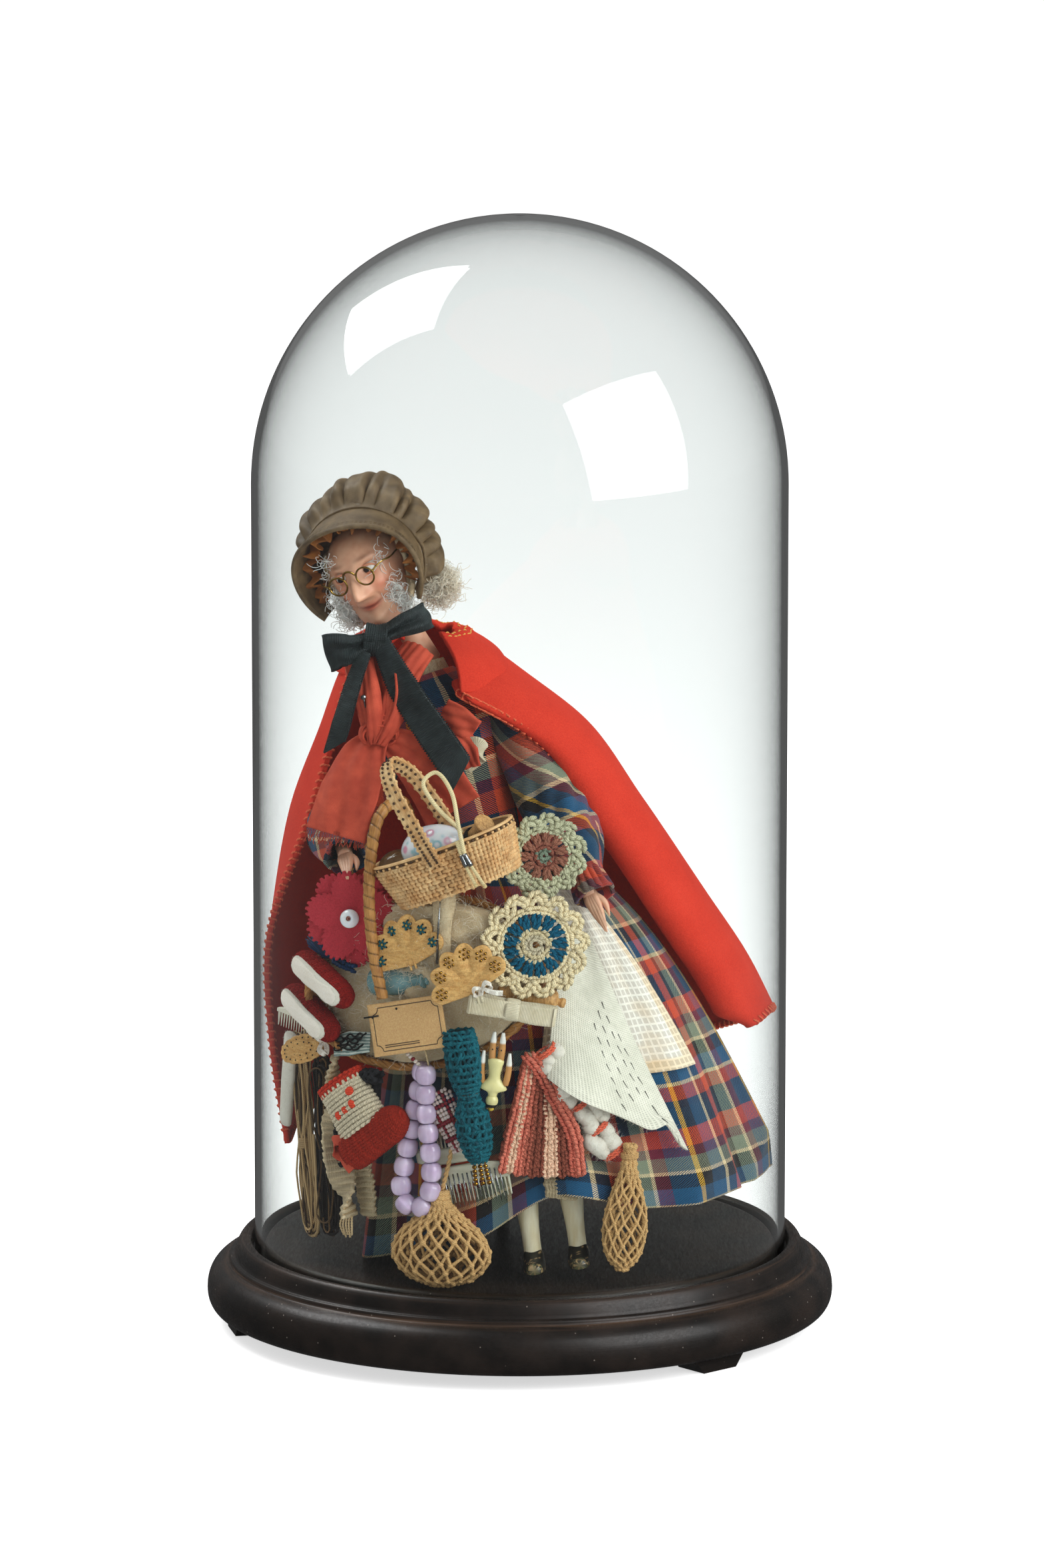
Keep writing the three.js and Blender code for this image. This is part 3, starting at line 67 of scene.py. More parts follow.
def linear(hex_colour: str) -> tuple[float, float, float, float]:
    """Turns a colour as it is seen into the renderer's linear one.

    Args:
        hex_colour: sRGB as six hex digits.

    Returns:
        Linear red, green, blue and a full alpha.
    """
    parts = [int(hex_colour[i : i + 2], 16) / 255 for i in (0, 2, 4)]
    return tuple(c / 12.92 if c <= 0.04045 else ((c + 0.055) / 1.055) ** 2.4 for c in parts) + (1.0,)


def lerp(a: float, b: float, t: float) -> float:
    """The value a share t of the way from a to b."""
    return a + (b - a) * t


def bell(x: np.ndarray | float, middle: float, width: float) -> np.ndarray | float:
    """A smooth bump of height one about a middle."""
    return np.exp(-(((x - middle) / width) ** 2))


def ease(t: np.ndarray | float) -> np.ndarray | float:
    """A smooth step from nought to one."""
    t = np.clip(t, 0.0, 1.0)
    return t * t * (3 - 2 * t)


def unit(vectors: np.ndarray) -> np.ndarray:
    """The vectors at length one."""
    return vectors / np.maximum(np.linalg.norm(vectors, axis=-1, keepdims=True), 1e-9)


def curve(points: Paths, shares: np.ndarray | float) -> np.ndarray:
    """Places on a smooth curve through points.

    Args:
        points: the rows that the curve passes through.
        shares: places along it, 0 at the first row and 1 at the last.

    Returns:
        One row for each share.
    """
    rows = np.asarray(points, float)
    shares = np.atleast_1d(np.asarray(shares, float))
    last = len(rows) - 1
    spots = np.clip(shares, 0, 1) * last
    low = np.minimum(spots.astype(int), last - 1)
    part = (spots - low)[:, None]
    ends = np.vstack([2 * rows[0] - rows[1], rows, 2 * rows[-1] - rows[-2]])
    a, b, c, d = (ends[low + k] for k in range(4))
    gaps = [
        np.maximum(np.linalg.norm(q - p, axis=1, keepdims=True) ** 0.5, 1e-4)
        for p, q in ((a, b), (b, c), (c, d))
    ]
    leave = ((b - a) / gaps[0] - (c - a) / (gaps[0] + gaps[1]) + (c - b) / gaps[1]) * gaps[1]
    meet = ((c - b) / gaps[1] - (d - b) / (gaps[1] + gaps[2]) + (d - c) / gaps[2]) * gaps[1]
    s2, s3 = part * part, part * part * part
    return (2 * s3 - 3 * s2 + 1) * b + (s3 - 2 * s2 + part) * leave + (3 * s2 - 2 * s3) * c + (s3 - s2) * meet


def frame_of(origin: Point, *turns: tuple[str, float]) -> Matrix:
    """A frame at a point, turned about its own axes in order.

    Args:
        origin: the frame's place.
        turns: axis letter and degrees, each applied after the last.

    Returns:
        The frame as a matrix.
    """
    place = Matrix.Translation(origin)
    for axis, degrees in turns:
        place = place @ Matrix.Rotation(math.radians(degrees), 4, axis)
    return place


def moved(place: Matrix, points: Paths) -> np.ndarray:
    """Points of a frame as points of the model."""
    turn = np.array(place)
    return np.asarray(points, float) @ turn[:3, :3].T + turn[:3, 3]


GLASS_RADIUS = 108.0
GLASS_WALL = 2.6
ROOM = GLASS_RADIUS - GLASS_WALL
DOME_CENTRE = 344.3
PLATFORM = 34.5
UPPER = frame_of((-2, -44, 169), ("Y", -17.8), ("X", -11.2), ("Z", -15))
HEAD = frame_of((-59, -31, 313), ("Y", -19), ("X", 8), ("Z", -18))
TRAY = frame_of((-34, -62, 152), ("Z", -22), ("X", -15), ("Y", -12))


def ware(x: float, z: float, behind: float, roll: float, pitch: float = 0.0) -> Matrix:
    """The frame of a ware that faces out through the glass.

    Args:
        x: its place across.
        z: its height.
        behind: how far it lies inside the glass.
        roll: degrees it leans in the plane of the glass.
        pitch: degrees it tips towards the glass.

    Returns:
        The ware's frame in the model.
    """
    reach = ROOM - behind
    turn = math.degrees(math.asin(x / reach))
    return frame_of((x, -math.sqrt(reach * reach - x * x), z), ("Z", turn), ("X", pitch), ("Y", roll))


def frames(path: np.ndarray, closed: bool = False, up: Point | None = None) -> tuple[np.ndarray, np.ndarray]:
    """The direction along a path and a direction to its side, that turns as little as it can.

    Args:
        path: the points.
        closed: the path's last point is its first.
        up: a direction that the side stays square to.

    Returns:
        Directions along and to the side, one row for each point.
    """
    if closed:
        run = unit(np.roll(path[:-1], -1, 0) - np.roll(path[:-1], 1, 0))
        run = np.vstack([run, run[:1]])
    else:
        run = unit(np.gradient(path, axis=0))
    if up is not None:
        return run, unit(np.cross(run, np.asarray(up, float)))
    guide = np.eye(3)[np.argmin(np.abs(run[0]))]
    side = np.zeros_like(run)
    for i, ahead in enumerate(run):
        guide = guide - ahead * guide.dot(ahead)
        guide = guide / max(np.linalg.norm(guide), 1e-9)
        side[i] = guide
    return run, side


def evenly(path: Paths, step: float) -> np.ndarray:
    """Points an even step apart along a path.

    Args:
        path: the points.
        step: millimetres between two new points.

    Returns:
        The new points, one to a row.
    """
    path = np.asarray(path, float)
    length = np.r_[0, np.cumsum(np.linalg.norm(np.diff(path, axis=0), axis=1))]
    places = np.linspace(0, length[-1], max(4, math.ceil(length[-1] / step) + 1))
    return np.stack([np.interp(places, length, path[:, k]) for k in range(3)], -1)


class Draft:
    """The faces of one piece while it is drawn, in millimetres."""

    def __init__(self, place: Matrix | None = None) -> None:
        """Starts an empty piece in a frame of its own.

        Args:
            place: the piece's frame, the model's own where none is given.
        """
        self.place = place or Matrix()
        self.points: list[np.ndarray] = []
        self.tints: list[np.ndarray] = []
        self.corners: list[np.ndarray] = []
        self.counts: list[np.ndarray] = []
        self.weave: list[np.ndarray] = []
        self.skins: list[np.ndarray] = []
        self.total = 0

    def faces(self, corners: np.ndarray, weave: np.ndarray, skin: int) -> None:
        """Takes faces of one kind with their place on the flat cloth.

        Args:
            corners: point numbers, one face to a row.
            weave: each corner's place on the cloth.
            skin: number of the finish.
        """
        self.corners.append(corners.ravel())
        self.counts.append(np.full(len(corners), corners.shape[1]))
        self.weave.append(weave.reshape(-1, 2))
        self.skins.append(np.full(len(corners), skin))

    def patch(
        self,
        grid: np.ndarray,
        around: bool = False,
        caps: bool = False,
        skin: int = 0,
        tint: np.ndarray | None = None,
        flat: tuple[float, float] | None = None,
    ) -> None:
        """Adds a skin of four-sided faces through rows of points.

        Args:
            grid: rows x columns x 3 points.
            around: joins the last column to the first.
            caps: closes the first and last rows.
            skin: which of the piece's finishes it takes.
            tint: a colour for each point, or one for all.
            flat: width and length of the flat cloth, or None to measure the points.
        """
        grid = np.asarray(grid, float)
        rows, columns = grid.shape[:2]
        ring = np.concatenate([grid, grid[:, :1]], 1) if around else grid
        span = ring.shape[1] - 1
        if flat:
            u, v = np.linspace(0, flat[0], span + 1), np.linspace(0, flat[1], rows)
        else:
            u = np.r_[0, np.cumsum(np.linalg.norm(np.diff(ring, axis=1), axis=2).mean(0))]
            v = np.r_[0, np.cumsum(np.linalg.norm(np.diff(grid, axis=0), axis=2).mean(1))]
        first = self.total
        self._hold(grid.reshape(-1, 3), tint)
        i, j = (part.ravel() for part in np.meshgrid(np.arange(rows - 1), np.arange(span), indexing="ij"))
        k = (j + 1) % columns
        corners = np.stack(
            [i * columns + j, i * columns + k, (i + 1) * columns + k, (i + 1) * columns + j], -1
        )
        weave = np.stack(
            [
                np.stack(pair, -1)
                for pair in ((u[j], v[i]), (u[j + 1], v[i]), (u[j + 1], v[i + 1]), (u[j], v[i + 1]))
            ],
            1,
        )
        self.faces(corners + first, weave, skin)
        if caps:
            for row, flip in ((0, True), (rows - 1, False)):
                middle = self.total
                shade = (
                    None
                    if tint is None or np.ndim(tint) == 1
                    else np.asarray(tint).reshape(rows, columns, -1)[row].mean(0)
                )
                self._hold(grid[row].mean(0)[None], tint if np.ndim(tint) == 1 else shade)
                near = first + row * columns + np.arange(span)
                far = first + row * columns + (np.arange(span) + 1) % columns
                fan = np.stack(
                    [far, near, np.full(span, middle)] if flip else [near, far, np.full(span, middle)], -1
                )
                self.faces(fan, np.zeros((span, 3, 2)) + [u[-1] / 2, v[row]], skin)

    def _hold(self, points: np.ndarray, tint: np.ndarray | None) -> None:
        """Keeps points and their tint, white where none is given.

        Args:
            points: the points, one to a row.
            tint: a colour for all or for each point.
        """
        self.points.append(points)
        shade = np.ones((len(points), 3)) if tint is None else np.asarray(tint, float)[..., :3].reshape(-1, 3)
        self.tints.append(np.broadcast_to(shade, (len(points), 3)))
        self.total += len(points)

    def tube(
        self,
        path: Paths,
        radius: float | Sequence[float],
        sides: int = 6,
        skin: int = 0,
        closed: bool = False,
        flat: float = 1.0,
        up: Point | None = None,
        tint: np.ndarray | None = None,
    ) -> None:
        """Adds a strand along a path.

        Args:
            path: the points it follows.
            radius: one radius, or some that are spread along it.
            sides: sides of its section.
            skin: which finish it takes.
            closed: joins its end to its start.
            flat: how thick it is for its width.
            up: a direction that its flat side faces.
            tint: a colour.
        """
        path = np.asarray(path, float)
        if closed:
            path = np.vstack([path, path[:1]])
        run, side = frames(path, closed, up)
        lift = np.cross(run, side)
        radii = np.interp(
            np.linspace(0, 1, len(path)), np.linspace(0, 1, np.size(radius)), np.atleast_1d(radius)
        )
        turn = np.linspace(0, TAU, sides, endpoint=False)
        ring = (
            np.cos(turn)[None, :, None] * side[:, None]
            + flat * np.sin(turn)[None, :, None] * lift[:, None]
        )
        shade = None
        if tint is not None:
            shade = np.asarray(tint, float)[..., :3]
            shade = np.broadcast_to(shade if shade.ndim == 1 else shade[:, None], (len(path), sides, 3))
        self.patch(
            path[:, None] + radii[:, None, None] * ring, around=True, caps=not closed, skin=skin, tint=shade
        )

    def strip(
        self,
        path: Paths,
        widths: Sequence[float],
        side: Paths | Point,
        along: int = 40,
        across: int = 10,
        arch: float = 0.0,
        ripple: Callable[[np.ndarray, np.ndarray], np.ndarray] | None = None,
        skin: int = 0,
    ) -> None:
        """Adds a band of cloth along a path.

        Args:
            path: the middle of the band.
            widths: widths spread along it.
            side: the direction across it, one or some that are spread along it.
            along: rows along it.
            across: columns across it.
            arch: rise of its middle, as a share of its width.
            ripple: rise at places across (-1 to 1) and along (0 to 1).
            skin: which finish it takes.
        """
        share = np.linspace(0, 1, along)
        spots = curve(path, share)
        wide = np.interp(share, np.linspace(0, 1, len(widths)), widths)
        turns = np.atleast_2d(np.asarray(side, float))
        aside = np.stack([np.interp(share, np.linspace(0, 1, len(turns)), turns[:, k]) for k in range(3)], -1)
        run = unit(np.gradient(spots, axis=0))
        aside = unit(aside - run * np.sum(aside * run, 1, keepdims=True))
        rise = np.cross(run, aside)
        spread = np.linspace(-1, 1, across)
        grid = spots[:, None] + aside[:, None] * (wide[:, None, None] * spread[None, :, None] / 2)
        lift = arch * wide[:, None] * (1 - spread[None] ** 2)
        if ripple:
            lift = lift + ripple(spread[None, :], share[:, None])
        self.patch(grid + rise[:, None] * lift[..., None], skin=skin)

    def lathe(
        self, profile: Paths, sides: int = 48, skin: int = 0, smooth: int = 0, caps: bool = True
    ) -> None:
        """Adds a turned shape.

        Args:
            profile: rows of radius and height.
            sides: corners round the shape.
            skin: number of the finish.
            smooth: how many rows are drawn through the profile, 0 as given.
            caps: close both ends.
        """
        rows = np.asarray(profile, float)
        if smooth:
            rows = curve(rows, np.linspace(0, 1, smooth))
        turn = np.linspace(0, TAU, sides, endpoint=False)
        out = np.maximum(rows[:, :1], 1e-3)
        grid = np.stack([out * np.cos(turn), out * np.sin(turn), np.repeat(rows[:, 1:2], sides, 1)], -1)
        self.patch(grid, around=True, caps=caps, skin=skin)

    def loft(
        self,
        rows: Paths,
        sides: int = 32,
        steps: int = 40,
        axis: str = "Z",
        shape: Callable[[np.ndarray, np.ndarray], np.ndarray] | None = None,
        paint: Callable[[np.ndarray, np.ndarray], np.ndarray] | None = None,
        skin: int = 0,
    ) -> None:
        """Adds a smooth body through ovals.

        Args:
            rows: place along the axis, half width, half depth and, if given, the middle's two offsets.
            sides: points round it.
            steps: rows along it.
            axis: Z for ovals in X and Y, X for ovals in Y and Z.
            shape: factor on the oval at turns (radians) and shares along.
            paint: colour at turns and shares along.
            skin: which finish it takes.
        """
        rows = np.asarray(rows, float)
        share = np.linspace(0, 1, steps)
        drawn = curve(rows, share)
        turn = np.linspace(0, TAU, sides, endpoint=False)[None]
        factor = shape(turn, share[:, None]) if shape else 1.0
        extra = drawn[:, 3:5] if rows.shape[1] >= 5 else np.zeros((steps, 2))
        wide = np.maximum(drawn[:, 1:2], 0.02) * np.cos(turn) * factor + extra[:, :1]
        deep = np.maximum(drawn[:, 2:3], 0.02) * np.sin(turn) * factor + extra[:, 1:2]
        along = np.repeat(drawn[:, :1], sides, 1)
        order = (wide, deep, along) if axis == "Z" else (along, wide, deep)
        shade = None
        if paint:
            shade = np.broadcast_to(paint(turn, share[:, None]), (steps, sides, 3))
        self.patch(np.stack(order, -1), around=True, caps=True, skin=skin, tint=shade)

    def ball(
        self,
        middle: Point,
        radii: Point,
        sides: int = 20,
        rings: int = 14,
        skin: int = 0,
        tint: Sequence[float] | None = None,
    ) -> None:
        """Adds an egg shape about a middle.

        Args:
            middle: the egg's middle.
            radii: half sizes on X, Y and Z.
            sides: corners round it.
            rings: rows from pole to pole.
            skin: number of the finish.
            tint: its colour, white where none is given.
        """
        rise = np.linspace(-math.pi / 2, math.pi / 2, rings)[:, None]
        turn = np.linspace(0, TAU, sides, endpoint=False)[None]
        out = np.maximum(np.cos(rise), 1e-3)
        grid = np.stack([out * np.cos(turn), out * np.sin(turn), np.repeat(np.sin(rise), sides, 1)], -1)
        shade = None if tint is None else np.broadcast_to(np.asarray(tint)[:3], (rings, sides, 3))
        self.patch(
            grid * np.asarray(radii) + np.asarray(middle), around=True, skin=skin, tint=shade, caps=True
        )

    def plate(
        self,
        outline: Paths,
        thick: float,
        bevel: float = 0.3,
        skin: int = 0,
        relief: Callable[[np.ndarray, np.ndarray], np.ndarray] | None = None,
        rings: int = 8,
        hole: float = 0.0,
    ) -> None:
        """Adds a flat plate that faces -Y, from an outline in X and Z about its middle.

        Args:
            outline: corners in order, each seen from the middle.
            thick: its thickness.
            bevel: the round on its edges.
            skin: which finish it takes.
            relief: how far the faces rise towards -Y at X and Z.
            rings: rows from the middle to the edge.
            hole: share of the outline left open in the middle.
        """
        edge = np.asarray(outline, float)
        middle = (edge.max(0) + edge.min(0)) / 2
        reach = np.linalg.norm(edge - middle, axis=1).max()
        inset = 1 - bevel / reach
        shares = list(np.linspace(max(hole, 0.01), inset, rings))
        half = thick / 2
        rows = (
            [(s, -half) for s in shares]
            + [(1.0, -half + bevel), (1.0, half - bevel)]
            + [(s, half) for s in shares[::-1]]
        )
        if hole:
            rows.append(rows[0])
        grid = np.zeros((len(rows), len(edge), 3))
        for i, (share, y) in enumerate(rows):
            flat = middle + (edge - middle) * share
            rise = relief(flat[:, 0], flat[:, 1]) if relief else 0.0
            grid[i] = np.stack([flat[:, 0], np.full(len(edge), y) - rise, flat[:, 1]], -1)
        self.patch(grid, around=True, caps=not hole, skin=skin)

    def slab(
        self,
        middle: Point,
        size: Point,
        bevel: float = 0.4,
        skin: int = 0,
        tint: Sequence[float] | None = None,
    ) -> None:
        """Adds a block with rounded edges.

        Args:
            middle: the block's middle.
            size: full sizes on X, Y and Z.
            bevel: radius of the edges.
            skin: number of the finish.
            tint: its colour, white where none is given.
        """
        half = np.asarray(size) / 2
        corner = min(bevel, *(half * 0.9))
        turn = (np.arange(24) + 0.5) / 24 * TAU
        out = np.stack([np.cos(turn), np.sin(turn)], -1)
        box = np.sign(out) * (half[:2] - corner)
        rows = [(-half[2], 0.0), (-half[2] + corner * 0.3, 0.7), (-half[2] + corner, 1.0)]
        rows += [(half[2] - corner, 1.0), (half[2] - corner * 0.3, 0.7), (half[2], 0.0)]
        grid = np.stack([np.c_[box + out * corner * k, np.full(24, z)] for z, k in rows]) + np.asarray(middle)
        shade = None if tint is None else np.broadcast_to(np.asarray(tint)[:3], (len(rows), 24, 3))
        self.patch(grid, around=True, caps=True, skin=skin, tint=shade)

    def fuzz(
        self,
        count: int,
        length: float,
        radius: float,
        seed: int,
        skin: int = 0,
        droop: float = 0.0,
        alone: bool = False
    ) -> None:
        """Adds loose fibres that stand off the faces drawn so far; alone drops those faces again.

        Args:
            count: how many fibres.
            length: millimetres of a fibre.
            radius: half its thickness.
            seed: start of the random draws.
            skin: number of the finish.
            droop: how strongly the tips bend down.
            alone: drop the faces and keep only the fibres.
        """
        chance = np.random.default_rng(seed)
        points, shades = np.concatenate(self.points), np.concatenate(self.tints)
        corners, counts = np.concatenate(self.corners), np.concatenate(self.counts)
        starts = np.cumsum(counts) - counts
        chosen = chance.choice(len(counts), count)
        a, b, c = (points[corners[starts[chosen] + k]] for k in range(3))
        out = unit(np.cross(b - a, c - a))
        mix = chance.random((count, 2, 1))
        root = a + (b - a) * mix[:, 0] * 0.5 + (c - a) * mix[:, 1] * 0.5
        lean = unit(out + chance.normal(0, 0.7, (count, 3)))
        bend = unit(lean + chance.normal(0, 0.8, (count, 3)) + [0, 0, -droop])
        reach = length * chance.uniform(0.4, 1.0, (count, 1))
        if alone:
            self.points, self.tints, self.corners = [], [], []
            self.counts, self.weave, self.skins = [], [], []
            self.total = 0
        for k in range(count):
            hair = [
                root[k], root[k] + lean[k] * reach[k] * 0.5, root[k] + (lean[k] + bend[k]) * reach[k] * 0.5
            ]
            self.tube(
                hair,
                [radius, radius * 0.8, radius * 0.3],
                3,
                skin=skin,
                tint=shades[corners[starts[chosen[k]]]],
            )

    def build(
        self,
        name: str,
        *finishes: "Finish",
        body: str = "base",
        slot: str = "",
        nodes: Sequence[str] = (),
        thick: float = 0.0,
        rounds: int = 0,
    ) -> bpy.types.Object:
        """Makes the piece.

        Args:
            name: its name.
            finishes: its finishes, in the order of the skins.
            body: the body that it rides on.
            slot: the record's material slot; not used.
            nodes: the CAD nodes that it stands for.
            thick: thickness of the cloth, for a single skin.
            rounds: how often its faces are divided and smoothed.

        Returns:
            The object.
        """
        mesh = bpy.data.meshes.new(name)
        points = moved(self.place, np.concatenate(self.points)) * MM
        corners, counts = np.concatenate(self.corners), np.concatenate(self.counts)
        mesh.vertices.add(len(points))
        mesh.vertices.foreach_set("co", points.ravel())
        mesh.loops.add(len(corners))
        mesh.loops.foreach_set("vertex_index", corners.astype(np.int32))
        mesh.polygons.add(len(counts))
        mesh.polygons.foreach_set("loop_start", (np.cumsum(counts) - counts).astype(np.int32))
        mesh.polygons.foreach_set("material_index", np.concatenate(self.skins).astype(np.int32))
        mesh.polygons.foreach_set("use_smooth", np.ones(len(counts), bool))
        mesh.update(calc_edges=True)
        mesh.uv_layers.new(name="cloth").data.foreach_set("uv", np.concatenate(self.weave).ravel())
        shade = mesh.attributes.new("tint", "FLOAT_COLOR", "POINT")
        tints = np.concatenate(self.tints)
        shade.data.foreach_set("color", np.c_[tints, np.ones(len(tints))].ravel())
        mesh.validate()
        if not thick:
            work = bmesh.new()
            work.from_mesh(mesh)
            bmesh.ops.recalc_face_normals(work, faces=work.faces)
            work.to_mesh(mesh)
            work.free()
        made = bpy.data.objects.new(name, mesh)
        for finish in finishes:
            mesh.materials.append(finish.material())
        settle(made, body, nodes)
        if thick:
            skin = made.modifiers.new("thickness", "SOLIDIFY")
            skin.thickness, skin.offset = thick * MM, 0.0
        if rounds:
            smooth = made.modifiers.new("rounding", "SUBSURF")
            smooth.levels = smooth.render_levels = rounds
        return made


def settle(made: bpy.types.Object, body: str, nodes: Sequence[str]) -> None:
    """Puts a piece in the scene, parents it to the body it moves with and hides the CAD nodes that it stands
    for.

    Args:
        made: the piece.
        body: the body it moves with.
        nodes: CAD nodes that it stands for.
    """
    bpy.context.scene.collection.objects.link(made)
    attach(made, body)
    if nodes:
        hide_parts(*nodes)


def strands(
    name: str,
    paths: Sequence[Paths],
    radius: float,
    finish: "Finish",
    body: str = "base",
    nodes: Sequence[str] = (),
    smooth: bool = False,
) -> bpy.types.Object:
    """Makes one curve piece of many strands, given in millimetres of the model.

    Args:
        name: the piece's name.
        paths: points of each strand.
        radius: half a strand's thickness.
        finish: what the strands are made of.
        body: the body it moves with.
        nodes: CAD nodes that it stands for.
        smooth: draw a rounder strand.

    Returns:
        The piece.
    """
    line = bpy.data.curves.new(name, "CURVE")
    line.dimensions = "3D"
    line.bevel_depth, line.bevel_resolution, line.use_fill_caps = radius * MM, 1 if smooth else 0, True
    line.resolution_u = 4
    for path in paths:
        rows = np.asarray(path, float) * MM
        spline = line.splines.new("POLY")
        spline.points.add(len(rows) - 1)
        spline.points.foreach_set("co", np.c_[rows, np.ones(len(rows))].ravel())
        spline.use_smooth = True
    line.materials.append(finish.material())
    made = bpy.data.objects.new(name, line)
    settle(made, body, nodes)
    return made


class Paint:
    """One material's nodes, ending in a single surface shader."""

    def __init__(self, name: str) -> None:
        """Starts a material with its shader and its own coordinates in millimetres.

        Args:
            name: the material's name.
        """
        self.material = bpy.data.materials.new(name)
        self.material.use_nodes = True
        self.tree = self.material.node_tree
        self.shader = next(n for n in self.tree.nodes if n.type == "BSDF_PRINCIPLED")
        self.end = next(n for n in self.tree.nodes if n.type == "OUTPUT_MATERIAL")
        here = self.node("TexCoord", out="Object")
        self.solid = self.node("VectorMath", {0: here, "Scale": 1000.0}, operation="SCALE")
        self.cloth = self.node("UVMap", uv_map="cloth")

    def node(
        self,
        kind: str,
        inputs: dict | None = None,
        out: int | str = 0,
        stops: Sequence[tuple[float, str]] = (),
        **settings: object,
    ) -> bpy.types.NodeSocket:
        """Adds a node, with its settings, values and links.

        Args:
            kind: the node's type, without its usual prefix.
            inputs: a value, hex colour or socket for each input, by name or number.
            out: the output that is handed back.
            stops: place and colour of each stop, for a colour ramp.
            settings: the node's own properties.

        Returns:
            The chosen output.
        """
        made = self.tree.nodes.new(f"ShaderNode{kind}")
        for key, value in settings.items():
            setattr(made, key, value)
        self.feed(made, inputs or {})
        if stops:
            ramp = made.color_ramp.elements
            while len(ramp) < len(stops):
                ramp.new(0.5)
            for element, (place, colour) in zip(ramp, stops):
                element.position, element.color = place, linear(colour)
        return made.outputs[out]

    def feed(self, made: bpy.types.Node, inputs: dict) -> None:
        """Gives a node's inputs their values and links.

        Args:
            made: the node.
            inputs: a value, a colour or a link for each input.
        """
        for key, value in inputs.items():
            if isinstance(value, bpy.types.NodeSocket):
                self.tree.links.new(value, made.inputs[key])
            else:
                made.inputs[key].default_value = linear(value) if isinstance(value, str) else value

    def finish(self, inputs: dict) -> bpy.types.Material:
        """Gives the shader its inputs and hands back the material."""
        self.feed(self.shader, inputs)
        return self.material


def ridge_scale(pitch: float, diagonal: bool = False) -> float:
    """The wave scale that puts ridges a pitch apart, in millimetres."""
    return TAU / (10 if diagonal else 20) / pitch


class Finish:
    """Base of the finishes: each makes its material once."""

    name: str

    def material(self) -> bpy.types.Material:
        """The finish's material, made the first time it is asked for."""
        return bpy.data.materials.get(self.name) or self.mix(Paint(self.name))

    def mix(self, p: Paint) -> bpy.types.Material:
        """Builds the nodes; each finish has its own."""
        raise NotImplementedError


class Weave(Enum):
    """How a plain cloth's threads lie."""

    PLAIN = "plain"
    RIBBED = "ribbed"
    SATIN = "satin"


@dataclass(frozen=True)
class Felt(Finish):
    """Milled wool felt: no threads, a soft nap of tangled fibres and a pale bloom at the edges."""

    name: str
    colour: str
    shade: str
    nap: float = 0.5

    def mix(self, p: Paint) -> bpy.types.Material:
        """Clouded colour, fibre bump and sheen.

        Args:
            p: the material's nodes.

        Returns:
            The material.
        """
        cloud = p.node("TexNoise", {"Vector": p.solid, "Scale": 0.06, "Detail": 5.0})
        fibre = p.node("TexNoise", {"Vector": p.solid, "Scale": 1.6, "Detail": 8.0, "Roughness": 0.75})
        speck = p.node("ValToRGB", {0: fibre}, stops=[(0.28, "000000"), (0.72, "ffffff")])
        base = p.node("Mix", {0: cloud, 6: self.shade, 7: self.colour}, 2, data_type="RGBA")
        base = p.node("Mix", {0: 0.34, 6: base, 7: speck}, 2, data_type="RGBA", blend_type="OVERLAY")
        lift = p.node("Bump", {"Height": fibre, "Distance": 0.7 * MM, "Strength": self.nap})
        sheen = {"Sheen Weight": 0.35, "Sheen Roughness": 0.45, "Sheen Tint": self.colour}
        return p.finish(
            {"Base Color": base, "Roughness": 0.92, "Normal": lift, "Specular IOR Level": 0.2, **sheen}
        )


@dataclass(frozen=True)
class Cloth(Finish):
    """Woven cloth: crossing threads, a little slub and a soft sheen."""

    name: str
    colour: str
    shade: str
    thread: float = 0.45
    weave: Weave = Weave.PLAIN
    rough: float = 0.75
    sheen: float = 0.25
    alpha: float = 1.0

    def mix(self, p: Paint) -> bpy.types.Material:
        """Threads both ways, drawn as coarse as the picture can hold.

        Args:
            p: the material's nodes.

        Returns:
            The material.
        """
        warp_pitch = self.thread * (0.35 if self.weave is Weave.SATIN else 1.0)
        warp = p.node(
            "TexWave",
            {"Vector": p.cloth, "Scale": ridge_scale(warp_pitch), "Distortion": 0.6, "Detail": 2.0},
            1,
        )
        weft_wave = {"Vector": p.cloth, "Scale": ridge_scale(self.thread), "Distortion": 0.6, "Detail": 2.0}
        weft = p.node("TexWave", weft_wave, 1, bands_direction="Y")
        kind = "MAXIMUM" if self.weave is Weave.PLAIN else "MULTIPLY_ADD"
        height = (
            weft
            if self.weave is Weave.RIBBED
            else p.node("Math", {0: warp, 1: weft, 2: 0.2}, operation=kind)
        )
        slub = p.node("TexNoise", {"Vector": p.cloth, "Scale": 0.25, "Detail": 5.0})
        cloud = p.node("TexNoise", {"Vector": p.solid, "Scale": 0.07, "Detail": 3.0})
        tone = p.node("Math", {0: slub, 1: cloud}, operation="MULTIPLY")
        tone = p.node("MapRange", {0: tone, 1: 0.12, 2: 0.4})
        base = p.node("Mix", {0: tone, 6: self.shade, 7: self.colour}, 2, data_type="RGBA")
        # Painted shade and light: the base colour is darker in the valleys between the threads and a little
        # lighter on their crowns.
        dark = p.node("MapRange", {0: height, 3: 0.72, 4: 1.08})
        base = p.node("Mix", {0: 1.0, 6: base, 7: dark}, 2, data_type="RGBA", blend_type="MULTIPLY")
        lift = p.node("Bump", {"Height": height, "Distance": self.thread * 0.35 * MM, "Strength": 0.6})
        sheen = {"Sheen Weight": self.sheen, "Sheen Roughness": 0.4, "Sheen Tint": self.colour}
        body = {
            "Base Color": base, "Roughness": self.rough, "Normal": lift, "Specular IOR Level": 0.35,
            "Alpha": self.alpha,
        }
        return p.finish({**body, **sheen})


